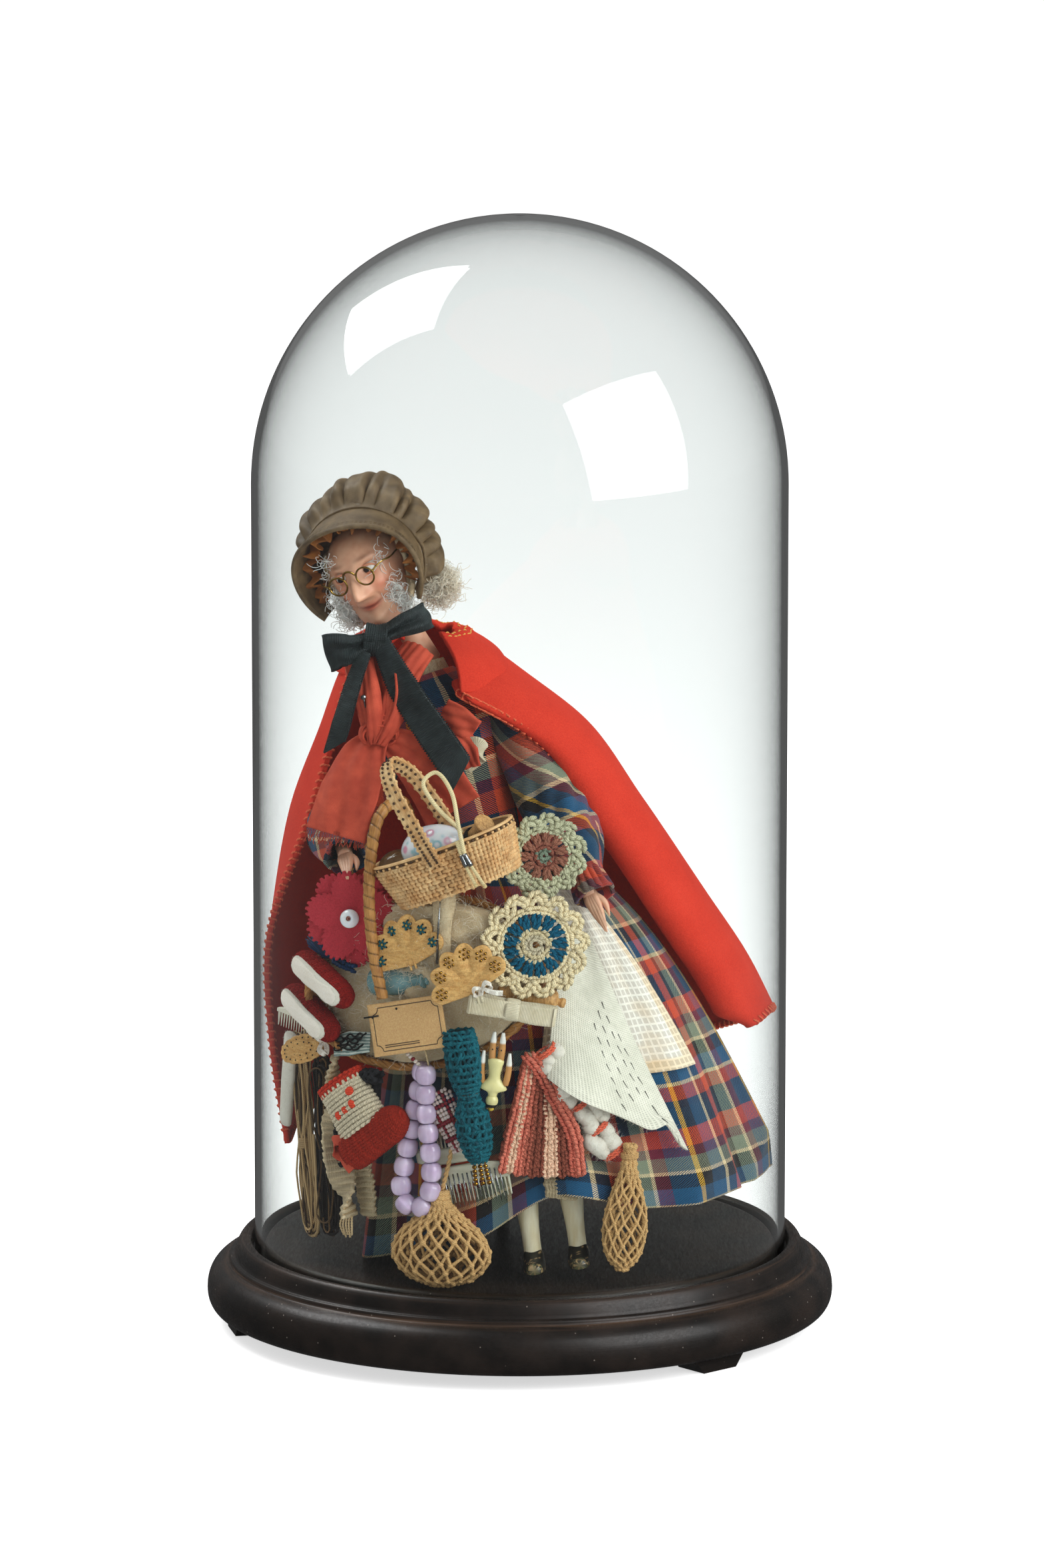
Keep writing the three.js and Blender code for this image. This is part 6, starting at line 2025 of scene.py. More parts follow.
@dataclass
class Cape:
    """Scarlet felt cape with a rolled right front, and its gathered collar."""

    felt: float = 2.0
    guides: tuple[tuple[Point, ...], ...] = (
        (
            (-66, -40, 274), (-75, -40, 243), (-84, -34, 212), (-101, -14, 160), (-100, -14, 118),
            (-94, -15, 76),
        ),
        ((-67, -20, 278), (-80, -16, 246), (-92, -8, 212), (-99, 14, 160), (-96, 22, 118), (-90, 26, 78)),
        ((-56, -2, 281), (-66, 12, 248), (-76, 26, 212), (-80, 44, 160), (-78, 50, 120), (-74, 54, 82)),
        ((-36, 6, 282), (-34, 22, 248), (-30, 38, 212), (-24, 56, 160), (-16, 64, 122), (-8, 70, 88)),
        ((-16, 0, 279), (2, 16, 252), (14, 32, 216), (32, 46, 168), (50, 52, 134), (64, 54, 104)),
        ((-6, -20, 274), (24, -6, 250), (44, 0, 218), (70, 8, 178), (89, 10, 150), (102, 8, 126)),
        ((-10, -38, 271), (25, -36, 249), (48, -35, 219), (73, -28, 179), (89, -23, 153), (100, -18, 131)),
        ((-24, -48, 267), (16, -49, 246), (41, -48, 216), (67, -41, 176), (83, -36, 151), (94, -31, 129)),
    )

    def build(self) -> None:
        """Makes the cape, its stitches and its collar."""
        grid = self.surface(200, 110)
        draft = Draft()
        draft.patch(grid)
        cape = draft.build("cape_felt", SCARLET, slot="scarlet_felt", nodes=["cape"], thick=self.felt)
        stitches = Draft()
        for edge, inner in (
            (grid[8:, 0], grid[8:, 4]), (grid[8:60, -1], grid[8:60, -5]), (grid[-1], grid[-5])
        ):
            self.whip(stitches, edge, inner)
        hem = stitches.build("cape_stitches", WOOL, slot="scarlet_felt")
        self.collar()

    def surface(self, around: int, down: int) -> np.ndarray:
        """The felt's middle as rows from neck to hem, with the right front edge rolled under.

        Args:
            around: points along a row.
            down: rows from neck to hem.

        Returns:
            A grid of points.
        """
        fall = np.linspace(0, 1, down)
        neck = np.array([-38.0, -18.0, 0.0])
        columns = []
        for guide in self.guides:
            rim = np.asarray(guide[0], float)
            under = neck + (rim - neck) * [0.78, 0.78, 1.0] + [0, 0, 3.0]
            columns.append(curve(np.vstack([under, guide]), fall))
        columns = np.stack(columns, 1)
        turn = np.linspace(0, 1, around)
        grid = np.stack([curve(row, turn) for row in columns])
        sway = np.sin(math.pi * turn)[None]
        grid[..., 1] += 2.2 * fall[:, None] * sway * np.cos(7 * math.pi * turn)[None]
        grid[..., 1] += 0.5 * fall[:, None] * sway * np.cos(19 * math.pi * turn + 1)[None]
        edge = grid[:, -1]
        ahead = unit(grid[:, -1] - grid[:, -9])
        drop = unit(np.gradient(edge, axis=0))
        out = unit(np.cross(ahead, drop))
        out *= np.sign(np.sum(out * (edge - [0, 0, 1] * edge[:, 2:3]), 1, keepdims=True))
        roll = (6.5 * ease((fall - 0.2) / 0.3) * (1 - 0.75 * ease((fall - 0.93) / 0.07)))[:, None]
        curl = [
            edge + ahead * roll * math.sin(a) - out * roll * (1 - math.cos(a))
            for a in np.linspace(0, 2.7, 16)[1:]
        ]
        grid = np.concatenate([grid, np.stack(curl, 1)], 1)
        reach = ROOM - self.felt
        shrink = np.minimum(1, reach / np.maximum(np.hypot(grid[..., 0], grid[..., 1]), 1e-6))
        grid[..., :2] *= shrink[..., None]
        return grid

    def whip(self, draft: Draft, edge: np.ndarray, inner: np.ndarray, step: float = 3.4) -> None:
        """Slanting stitches over an edge, in the cape's own red.

        Args:
            draft: the piece that takes the stitches.
            edge: points of the edge.
            inner: points beside the edge.
            step: millimetres between stitches.
        """
        length = np.r_[0, np.cumsum(np.linalg.norm(np.diff(edge, axis=0), axis=1))]
        places = np.arange(step, length[-1] - step, step)

        def at(rows: np.ndarray, s: np.ndarray | float) -> np.ndarray:
            """Points at lengths along a row of points."""
            return np.stack([np.interp(s, length, rows[:, k]) for k in range(3)], -1)

        colour = linear("ee6b4b")
        for s in places:
            near, far, deep = at(edge, s), at(edge, s + 1.2), at(inner, s + 1.6)
            inward = unit(deep - far)
            side = unit(np.cross(inward, at(edge, s + 0.8) - at(edge, s - 0.8)))
            for way in (-1, 1):
                loop = [
                    near - inward * 0.6,
                    near + side * way * 1.35 + inward * 0.2,
                    far + side * way * 1.3 + inward * 2.6,
                ]
                draft.tube(curve(loop, np.linspace(0, 1, 6)), 0.42, 6, tint=colour)

    def collar(self) -> None:
        """A stand of felt gathered on two threads, with a full fall turned down over the cape."""
        u, v = np.meshgrid(np.linspace(0, 1, 240), np.linspace(0, 1, 36))
        turn = np.radians(lerp(-66, 236, u))
        shape = curve(
            [
                (13.5, 3, 0), (16, 3.8, 0), (18.5, 2.6, 0), (23, 0.5, 0), (28.5, -3.5, 0), (32, -9, 0),
                (33, -15, 0),
            ],
            v[:, 0],
        )
        gather = (
            1
            + np.exp(-4 * v) * (0.07 * np.sin(17 * math.pi * u) + 0.03 * np.sin(41 * math.pi * u + 1))
            + 0.025 * np.sin(5 * math.pi * u + 0.6) * v
        )
        out = shape[:, :1] * gather
        fall = shape[:, 1:2] - 3.5 * v * np.cos(turn) + 1.2 * np.exp(-6 * v) * np.sin(17 * math.pi * u + 1)
        grid = np.array([-38, -18, 284]) + np.stack([out * 1.05 * np.cos(turn), out * np.sin(turn), fall], -1)
        draft = Draft()
        draft.patch(grid)
        collar = draft.build(
            "collar_felt", SCARLET, slot="scarlet_felt", nodes=["cape_collar"], thick=self.felt
        )
        thread = Draft()
        gold = linear("f0b860")
        for row in (5, 9):
            for k in range(4, 232, 7):
                rise = unit(np.cross(grid[row, k + 2] - grid[row, k], grid[row + 1, k] - grid[row, k]))
                rise = rise * np.sign(rise[2]) * 1.25
                thread.tube(
                    curve(
                        [grid[row, k] + rise * 0.7, grid[row, k + 2] + rise, grid[row, k + 4] + rise * 0.7],
                        np.linspace(0, 1, 5),
                    ),
                    0.26,
                    6,
                    tint=gold,
                )
        sewn = thread.build("collar_gathering_threads", STRING, slot="scarlet_felt")



@dataclass
class Bonnet:
    """Poke bonnet of bronze silk, with a ruched ribbon inside the brim."""

    silk: float = 1.2
    tilt: float = 0.25
    folds: int = 17
    seed: int = 19

    def build(self) -> None:
        """Makes the crown, the brim and the ruche."""
        u, v = np.meshgrid(np.linspace(0, 1, 260), np.linspace(0, 1, 90))
        turn = np.radians(lerp(-34, 214, u))
        swell = np.sin(math.pi * np.minimum(1, 0.32 + 0.68 * v))
        chance = np.random.default_rng(self.seed)
        pleat = np.zeros_like(u)
        for spot in np.linspace(-0.5, math.pi + 0.5, self.folds) + chance.normal(0, 0.05, self.folds):
            bend_here = spot + chance.normal(0, 0.1) * v
            deep = chance.uniform(0.1, 0.21)
            pleat -= deep * bell(turn, bend_here, 0.035 + 0.09 * v) * np.exp(-chance.uniform(1.8, 3.6) * v)
            pleat += 0.35 * deep * bell(turn, bend_here + 0.09, 0.05 + 0.05 * v) * np.exp(-3 * v)
        pleat *= ease(v / 0.07)
        puff = (0.04 * np.sin(4 * turn + 2 + 3 * v) + 0.025 * np.sin(9 * turn - 4 * v)) * np.sin(math.pi * v)
        over = np.maximum(0, np.sin(turn))
        full = (1.5 + 27.4 * np.maximum(swell, 0) ** 0.7) * (1 + pleat + puff)
        out = lerp(24.9 - 2.1 * over, full, ease(v / 0.13))
        z = 6 + 5 * v + out * np.sin(turn)
        forward = 7 * over ** 0.7 * (1 - v) ** 2
        crown = Draft(HEAD)
        crown.patch(np.stack([out * np.cos(turn), -3 + 30 * v - forward + self.tilt * z, z], -1))
        made = crown.build(
            "bonnet_crown_silk", BRONZE, slot="bronze_silk", nodes=["bonnet_crown"], thick=self.silk
        )
        self.brim()

    def brim_at(self, u: np.ndarray, v: np.ndarray, inset: float = 0.0) -> np.ndarray:
        """The brim's surface: u from one end to the other, v from the crown to the front edge.

        Args:
            u: share from end to end.
            v: share from crown to edge.
            inset: millimetres inside the silk.

        Returns:
            Points of the surface.
        """
        degrees = lerp(-38, 218, u)
        turn = np.radians(degrees)
        reach = 4 + 16 * np.maximum(0, np.sin(math.pi * (degrees + 50) / 280)) ** 1.2
        out = lerp(23.4, 25.8, v) - inset
        z = 5 + out * np.sin(turn) * (1 - 0.17 * v * np.maximum(0, np.sin(turn)))
        return np.stack([out * np.cos(turn), -3.9 - reach * v + self.tilt * z, z], -1)

    def brim(self) -> None:
        """A stiff brim, piped at both edges and stitched beside the piping."""
        u, v = np.meshgrid(np.linspace(0, 1, 180), np.linspace(0, 1, 24))
        draft = Draft(HEAD)
        draft.patch(self.brim_at(u, v))
        brim = draft.build("bonnet_brim_silk", BRONZE, slot="bronze_silk", nodes=["bonnet_brim"], thick=1.5)
        line = np.linspace(0, 1, 180)
        trim = Draft(HEAD)
        trim.tube(self.brim_at(line, np.ones(180)), 1.0, 10)
        trim.tube(self.brim_at(line, np.zeros(180)), 1.1, 10)
        for row in (0.86, 0.92):
            for k in range(2, 176, 3):
                spots = self.brim_at(line[k : k + 3], np.full(3, row), -0.85)
                trim.tube(spots, 0.14, 5)
        piping = trim.build("bonnet_piping", BRONZE, slot="bronze_silk")
        ruche = Draft(HEAD)
        along = np.linspace(0.04, 0.96, 420)
        sway = np.sin(along * 150)
        path = self.brim_at(along, 0.42 + 0.2 * np.sin(along * 95 + 1), 3.2 + 1.6 * sway)
        inward = self.brim_at(along, np.full(420, 0.4), 8.0) - self.brim_at(along, np.full(420, 0.4), 0.0)
        width = 4.4
        grid = path[:, None] + unit(inward)[:, None] * (np.linspace(-0.5, 0.5, 6)[None, :, None] * width)
        ruche.patch(grid)
        frill = ruche.build("brim_ruche", RUCHE, slot="bronze_silk", thick=0.35)


@dataclass
class Neckwear:
    """Black ribbon bow with two tails, and the coral kerchief under it."""

    ribbon: float = 0.9
    lawn: float = 0.9

    def build(self) -> None:
        """Makes the bow, its tails and the kerchief."""
        self.bow()
        self.tail(
            "left",
            [(-61, -59.5, 286), (-66, -62, 272), (-70, -64, 258), (-73, -64, 248)],
            [5, 6.6, 7, 6],
            (0.9, -0.4, -0.2),
        )
        self.tail(
            "right",
            [(-55, -58.7, 290), (-46, -62, 272), (-34, -66, 254), (-23, -69, 238)],
            [7, 12, 13, 13],
            (0.85, -0.1, 0.5),
        )
        self.kerchief()

    def bow(self) -> None:
        """A drooping left loop, a small right loop that stands up, and a fat crossed knot."""
        draft = Draft()
        knot = np.array([-57, -55, 290.0])
        for tip, width, swell, sag in (
            ((-75.5, -53, 285), 14.5, 4.6, -2.5), ((-36.5, -52, 299), 10.5, 3.6, 1.0)
        ):
            tip = np.asarray(tip, float)
            middle = (knot + tip) / 2 + [0, 0, sag * 0.6]
            out = np.array([0, -1, 0.2]) * swell
            loop = [
                knot + out * 0.4,
                middle + out,
                lerp(middle, tip, 0.7) + out * 0.9,
                tip + out * 0.35 + [0, 0, sag * 0.3],
                tip - out * 0.35 + [0, 0, sag * 0.4],
                lerp(middle, tip, 0.6) - out * 0.6,
                middle - out * 0.7,
                knot - out * 0.3,
            ]
            up = np.cross(unit(tip - knot), (0, -1, 0))

            def pinch(a: np.ndarray, s: np.ndarray) -> np.ndarray:
                """Gathers of the loop, deeper toward the knot."""
                return 1.5 * np.sin(7 * a + 1.3) * (np.abs(s - 0.5) * 2) ** 1.5 + 0.5 * np.sin(4 * a + 9 * s)

            draft.strip(
                loop,
                [width * 0.42, width * 0.85, width, width * 1.04, width, width * 0.85, width * 0.42],
                up,
                80,
                22,
                ripple=pinch,
            )
        for k in range(7):
            tilt = 0.5 * (k - 3)
            wrap = [
                knot + np.array([tilt * 1.7 + 0.9 * math.sin(a), -5.2 * math.cos(a), 6.2 * math.sin(a)])
                for a in np.linspace(0, TAU, 28)
            ]
            draft.strip(wrap, [3.2], (1, 0, 0.15 * (k - 3)), 28, 6, arch=0.28)
        made = draft.build(
            "bow_ribbon", GROSGRAIN, slot="black_ribbon", nodes=["ribbon_bow"], thick=self.ribbon
        )

    def tail(self, label: str, path: list[Point], widths: list[float], side: Point) -> None:
        """One hanging end of the ribbon, cut on the slant.

        Args:
            label: left or right.
            path: points from the knot down.
            widths: the ribbon's width along the path.
            side: the way across the ribbon.
        """
        draft = Draft()
        share = np.linspace(0, 1, 60)
        spots = curve(path, share)
        run = unit(np.gradient(spots, axis=0))
        aside = unit(np.asarray(side) - run * (run @ np.asarray(side))[:, None])
        rise = np.cross(run, aside)
        wide = np.interp(share, np.linspace(0, 1, len(widths)), widths)
        spread = np.linspace(-1, 1, 16)
        slant = 3.4 * spread[None] * ease((share - 0.7) / 0.3)[:, None]
        roll = (
            0.5 * np.sin(5 * share)[:, None] * spread[None]
            + 0.6 * (1 - spread[None] ** 2) * bell(share, 0.05, 0.15)[:, None]
        )
        grid = spots[:, None] + aside[:, None] * (wide[:, None, None] * spread[None, :, None] / 2)
        grid = grid + rise[:, None] * roll[..., None] - run[:, None] * slant[..., None]
        draft.patch(grid)
        edge = Draft()
        for column, way in ((0, -1), (-1, 1)):
            for k in range(1, 59):
                edge.ball(tuple(grid[k, column] + aside[k] * way * 0.2), (0.42, 0.55, 0.42), 6, 4)
        picots = edge.build(f"ribbon_picots_{label}", GROSGRAIN, slot="black_ribbon")
        made = draft.build(
            f"ribbon_tail_{label}_silk",
            GROSGRAIN,
            slot="black_ribbon",
            nodes=[f"ribbon_tail_{label}"],
            thick=self.ribbon,
        )

    def kerchief(self) -> None:
        """A coral kerchief drawn through a looped knot, its ends spread over the chest."""
        draft = Draft()

        def crumple(a: np.ndarray, s: np.ndarray) -> np.ndarray:
            """Creases of the lawn where it is drawn together."""
            return 1.0 * np.sin(6 * a + 7 * s) * np.sin(math.pi * s) + 0.5 * np.sin(15 * a + 3 * s)

        def soft(a: np.ndarray, s: np.ndarray) -> np.ndarray:
            """Softer waves of the ends, growing toward the hem."""
            return 0.9 * np.sin(4 * a + 5 * s) * s + 0.5 * np.sin(9 * a - 8 * s)

        draft.strip(
            [(-65, -44, 287), (-63, -51, 279), (-60, -57.5, 268), (-58.5, -59, 256), (-58, -58.5, 249)],
            [12, 14, 13, 9, 5],
            [(0.8, -0.5, 0.2), (0.6, -0.7, 0.2)],
            50,
            18,
            0.3,
            crumple,
        )
        draft.strip(
            [(-58, -58.5, 248), (-55.5, -60.5, 258), (-54, -60, 270), (-55, -55, 281), (-57, -50, 286)],
            [5, 9, 13, 13, 9],
            [(0.8, -0.6, 0.1), (0.9, -0.3, 0.2)],
            50,
            18,
            0.22,
            crumple,
        )
        draft.strip(
            [(-40, -42, 284), (-45, -48, 277), (-49, -56, 268), (-52, -59.5, 258), (-56, -59.5, 249)],
            [13, 14, 14, 10, 6],
            [(0.9, -0.2, -0.3), (0.9, -0.4, 0.1)],
            50,
            18,
            0.26,
            crumple,
        )
        turn = np.linspace(0, TAU, 30)
        for k, (wide, tall) in enumerate(((6.0, 4.2), (6.6, 5.2), (5.4, 6.2))):
            hoop = np.stack(
                [
                    -55.5 + wide * np.cos(turn),
                    -58 + 0.6 * k - 2.2 * np.sin(turn),
                    251.5 + tall * np.sin(turn) + 1.1 * k,
                ],
                -1,
            )
            draft.strip(hoop, [4.6], (0.15, -1, 0.35), 40, 8, 0.25)
        draft.strip(
            [(-55, -57, 252), (-61, -58.5, 244), (-67, -62.5, 230), (-72, -65.5, 213)],
            [9, 19, 25, 25],
            (0.9, -0.35, -0.1),
            70,
            30,
            0.04,
            soft,
        )
        draft.strip(
            [(-54, -57, 252), (-45, -58.5, 246), (-35, -60.5, 236), (-26, -61.5, 222)],
            [8, 18, 24, 25],
            (0.86, -0.2, 0.5),
            70,
            30,
            0.05,
            soft,
        )
        made = draft.build("kerchief_lawn", CORAL, slot="coral_cloth", nodes=["kerchief"], thick=self.lawn)
        chance = np.random.default_rng(5)
        side = unit(np.array([0.9, -0.35, -0.1]))
        ends = [np.array([-72, -65.5, 213.0]) + side * k for k in np.linspace(-12, 12, 46)]
        fray = [
            [
                p + np.array([0, 0, 1.5]),
                p + chance.normal(0, 0.4, 3) + np.array([-0.8, 0, -1.6]),
                p + chance.normal(0, 0.7, 3) + np.array([-1.4, 0, -3.6]),
            ]
            for p in ends
        ]
        loose = strands("kerchief_fray", fray, 0.16, CORAL)
        tab = Draft()
        tab.strip(
            [(-30, -58, 262), (-24, -62, 258), (-18, -63, 254)],
            [11, 13, 12],
            (0.35, -0.2, 0.9),
            30,
            14,
            0.08,
            soft,
        )
        tab.strip(
            [(-27, -60, 256), (-22, -63.5, 249), (-19, -63, 240)],
            [9, 10, 8],
            (0.9, -0.2, 0.2),
            30,
            14,
            0.06,
            soft,
        )
        corner = tab.build("kerchief_corner", CORAL, slot="coral_cloth", thick=self.lawn)
        curl = Draft()
        curl.strip(
            [(-21, -62, 249), (-16.5, -65, 250), (-14.8, -63, 247), (-16, -60.5, 243), (-21, -61.5, 239)],
            [5.5],
            (0.2, -0.3, 0.9),
            40,
            8,
            0.05,
        )
        end = curl.build("cream_ribbon_end", CREAM_TAPE, slot="white_cloth", thick=0.6)
        pin = Draft()
        pin.ball((-61.5, -62.2, 268), (1.1, 0.8, 1.1), 14, 10)
        pin.tube([(-61.5, -61.8, 268), (-60.5, -60.6, 262)], 0.3, 8)
        stuck = pin.build("kerchief_pin", STEEL, slot="iron")


Surface = Callable[[np.ndarray, np.ndarray], np.ndarray]


def plied(
    draft: Draft, path: Paths, gauge: float, colour: str, pitch: float = 2.6, plies: int = 2, skin: int = 0
) -> None:
    """Adds a yarn along a path, its plies twisted round each other.

    Args:
        draft: the piece it belongs to.
        path: its middle.
        gauge: the yarn's width.
        colour: its colour.
        pitch: length of one twist, in yarn widths.
        plies: how many strands.
        skin: which finish it takes.
    """
    step = gauge * pitch / 7
    spots = evenly(path, step)
    run, side = frames(spots)
    lift = np.cross(run, side)
    turn = TAU * np.arange(len(spots)) / 7
    for k in range(plies):
        angle = (turn + TAU * k / plies)[:, None]
        draft.tube(
            spots + gauge * 0.24 * (np.cos(angle) * side + np.sin(angle) * lift),
            gauge * 0.31,
            6,
            skin,
            tint=linear(colour),
        )


def plaited(
    draft: Draft, path: Paths, gauge: float, colour: str, out: Point = (0, -1, 0), skin: int = 0
) -> None:
    """Adds a crocheted chain along a path: slanting loops in pairs, like a row of arrow heads.

    Args:
        draft: the piece that takes the chain.
        path: points of the chain.
        gauge: width of a stitch.
        colour: the wool's colour.
        out: the way the chain faces.
        skin: number of the finish.
    """
    spots = evenly(path, gauge * 0.52)
    run = unit(np.gradient(spots, axis=0))
    side = unit(np.cross(run, np.asarray(out, float)))
    rise = np.cross(side, run)
    chance = np.random.default_rng(len(spots))
    for k in range(1, len(spots) - 1):
        for way in (-1, 1):
            wobble = chance.normal(0, 0.06 * gauge, 3)
            tail = spots[k] - run[k] * gauge * 0.42 + side[k] * way * gauge * 0.36 + wobble
            swell = spots[k] + side[k] * way * gauge * 0.3 + rise[k] * gauge * 0.24 + wobble
            tip = spots[k] + run[k] * gauge * 0.46 + side[k] * way * gauge * 0.05
            # Painted shade at the tail and tip of each loop, and a little painted light on its swell.
            shade = np.asarray(linear(colour)[:3]) * np.array([[0.55], [1.06], [0.75]])
            draft.tube([tail, swell, tip], [gauge * 0.17, gauge * 0.27, gauge * 0.15], 6, skin, tint=shade)


def knitted(
    draft: Draft,
    at: Surface,
    rows: int,
    stitches: int,
    gauge: float,
    colour: Callable[[np.ndarray, float], np.ndarray],
    skin: int = 0
) -> None:
    """Covers a surface with rows of knitted loops, tinted darker with painted shade where each loop dips and
    on every other row.

    Args:
        draft: the piece they belong to.
        at: points of the surface at shares across and along.
        rows: rows along it.
        stitches: loops in a row.
        gauge: the yarn's width.
        colour: linear colour at shares across, for one share along.
        skin: which finish it takes.
    """
    turn = np.linspace(0, TAU * stitches, 8 * stitches + 1)
    small = 1e-3
    for row in range(rows):
        u = np.clip((turn / TAU + 0.2 * np.sin(2 * turn)) / stitches, 0, 1)
        v = np.clip((row + 0.5 + 0.55 * np.cos(turn)) / rows, 0, 1)
        spots = at(u, v)
        across = at(np.minimum(u + small, 1), v) - at(np.maximum(u - small, 0), v)
        along = at(u, np.minimum(v + small, 1)) - at(u, np.maximum(v - small, 0))
        out = unit(np.cross(across, along))
        path = spots + out * (gauge * 0.35 * np.cos(2 * turn))[:, None]
        # Painted shade: each loop is darker where it dips into the fabric, and every other row is darker for
        # the shade between the garter ridges.
        deep = (0.74 + 0.26 * np.cos(2 * turn)) * (0.88 if row % 2 else 1.0)
        draft.tube(path, gauge * 0.5, 5, skin, tint=colour(u, (row + 0.5) / rows) * deep[:, None])


def netted(draft: Draft, at: Surface, around: int, rows: int, gauge: float, colour: str, seed: int) -> None:
    """Covers a surface with a knotted net of diamonds.

    Args:
        draft: the piece that takes the net.
        at: the surface.
        around: diamonds round it.
        rows: half diamonds along it.
        gauge: thickness of the cord.
        colour: the cord's colour.
        seed: start of the random draws.
    """
    chance = np.random.default_rng(seed)
    slack = chance.normal(0, 0.1, (rows + 1, 2 * around, 2))
    shade = linear(colour)
    for k in range(around):
        for way in (-1, 1):
            u = np.array(
                [
                    (
                        k + 0.5 * way * (level % 2) + slack[
                            level, (2 * k + way * (level % 2)) % (2 * around), 0
                        ]
                    ) / around
                    for level in range(rows + 1)
                ]
            )
            v = np.array(
                [
                    np.clip(
                        (level + slack[level, (2 * k + way * (level % 2)) % (2 * around), 1]) / rows, 0, 1
                    )
                    for level in range(rows + 1)
                ]
            )
            share = np.linspace(0, 1, rows * 5 + 1)
            line = np.linspace(0, 1, rows + 1)
            spots = at(np.interp(share, line, u), np.interp(share, line, v))
            draft.tube(spots, gauge * 0.5, 6, tint=shade)
            if way > 0:
                knots = at(u, v)
                for knot in knots:
                    size = gauge * chance.uniform(0.8, 1.05)
                    draft.ball(tuple(knot), (size, size, size), 8, 6, 0, shade)


def around_rows(rows: Paths, axis: str = "Z", middle: Point = (0, 0, 0)) -> Surface:
    """A surface round ovals: across turns once round it, along goes from the first oval to the last.

    Args:
        rows: place along the axis and two half sizes.
        axis: Z, or X for ovals along X.
        middle: where the axis starts.

    Returns:
        The surface.
    """
    table = np.asarray(rows, float)

    def at(u: np.ndarray, v: np.ndarray) -> np.ndarray:
        """Points at shares round and along."""
        drawn = curve(table, np.ravel(v))
        turn = TAU * np.ravel(u)
        wide, deep = drawn[:, 1] * np.cos(turn), drawn[:, 2] * np.sin(turn)
        parts = (wide, deep, drawn[:, 0]) if axis == "Z" else (drawn[:, 0], deep, wide)
        return np.stack(parts, -1) + np.asarray(middle, float)

    return at


def scalloped(
    radius: float, count: int, depth: float, start: float = 0.0, stop: float = 360.0, steps: int = 240
) -> np.ndarray:
    """An outline of round lobes in X and Z.

    Args:
        radius: radius between two lobes.
        count: how many lobes.
        depth: how far a lobe stands out.
        start: degrees where it starts.
        stop: degrees where it stops.
        steps: points drawn.

    Returns:
        The outline's points.
    """
    share = np.linspace(0, 1, steps, endpoint=stop - start < 360)
    turn = np.radians(lerp(start, stop, share))
    out = radius + depth * np.abs(np.sin(math.pi * count * share))
    return np.stack([out * np.cos(turn), out * np.sin(turn)], -1)


def even_colour(colour: str) -> Callable[[np.ndarray, float], np.ndarray]:
    """One colour for a whole surface."""
    return lambda u, v: np.broadcast_to(np.asarray(linear(colour)[:3]), (len(u), 3))


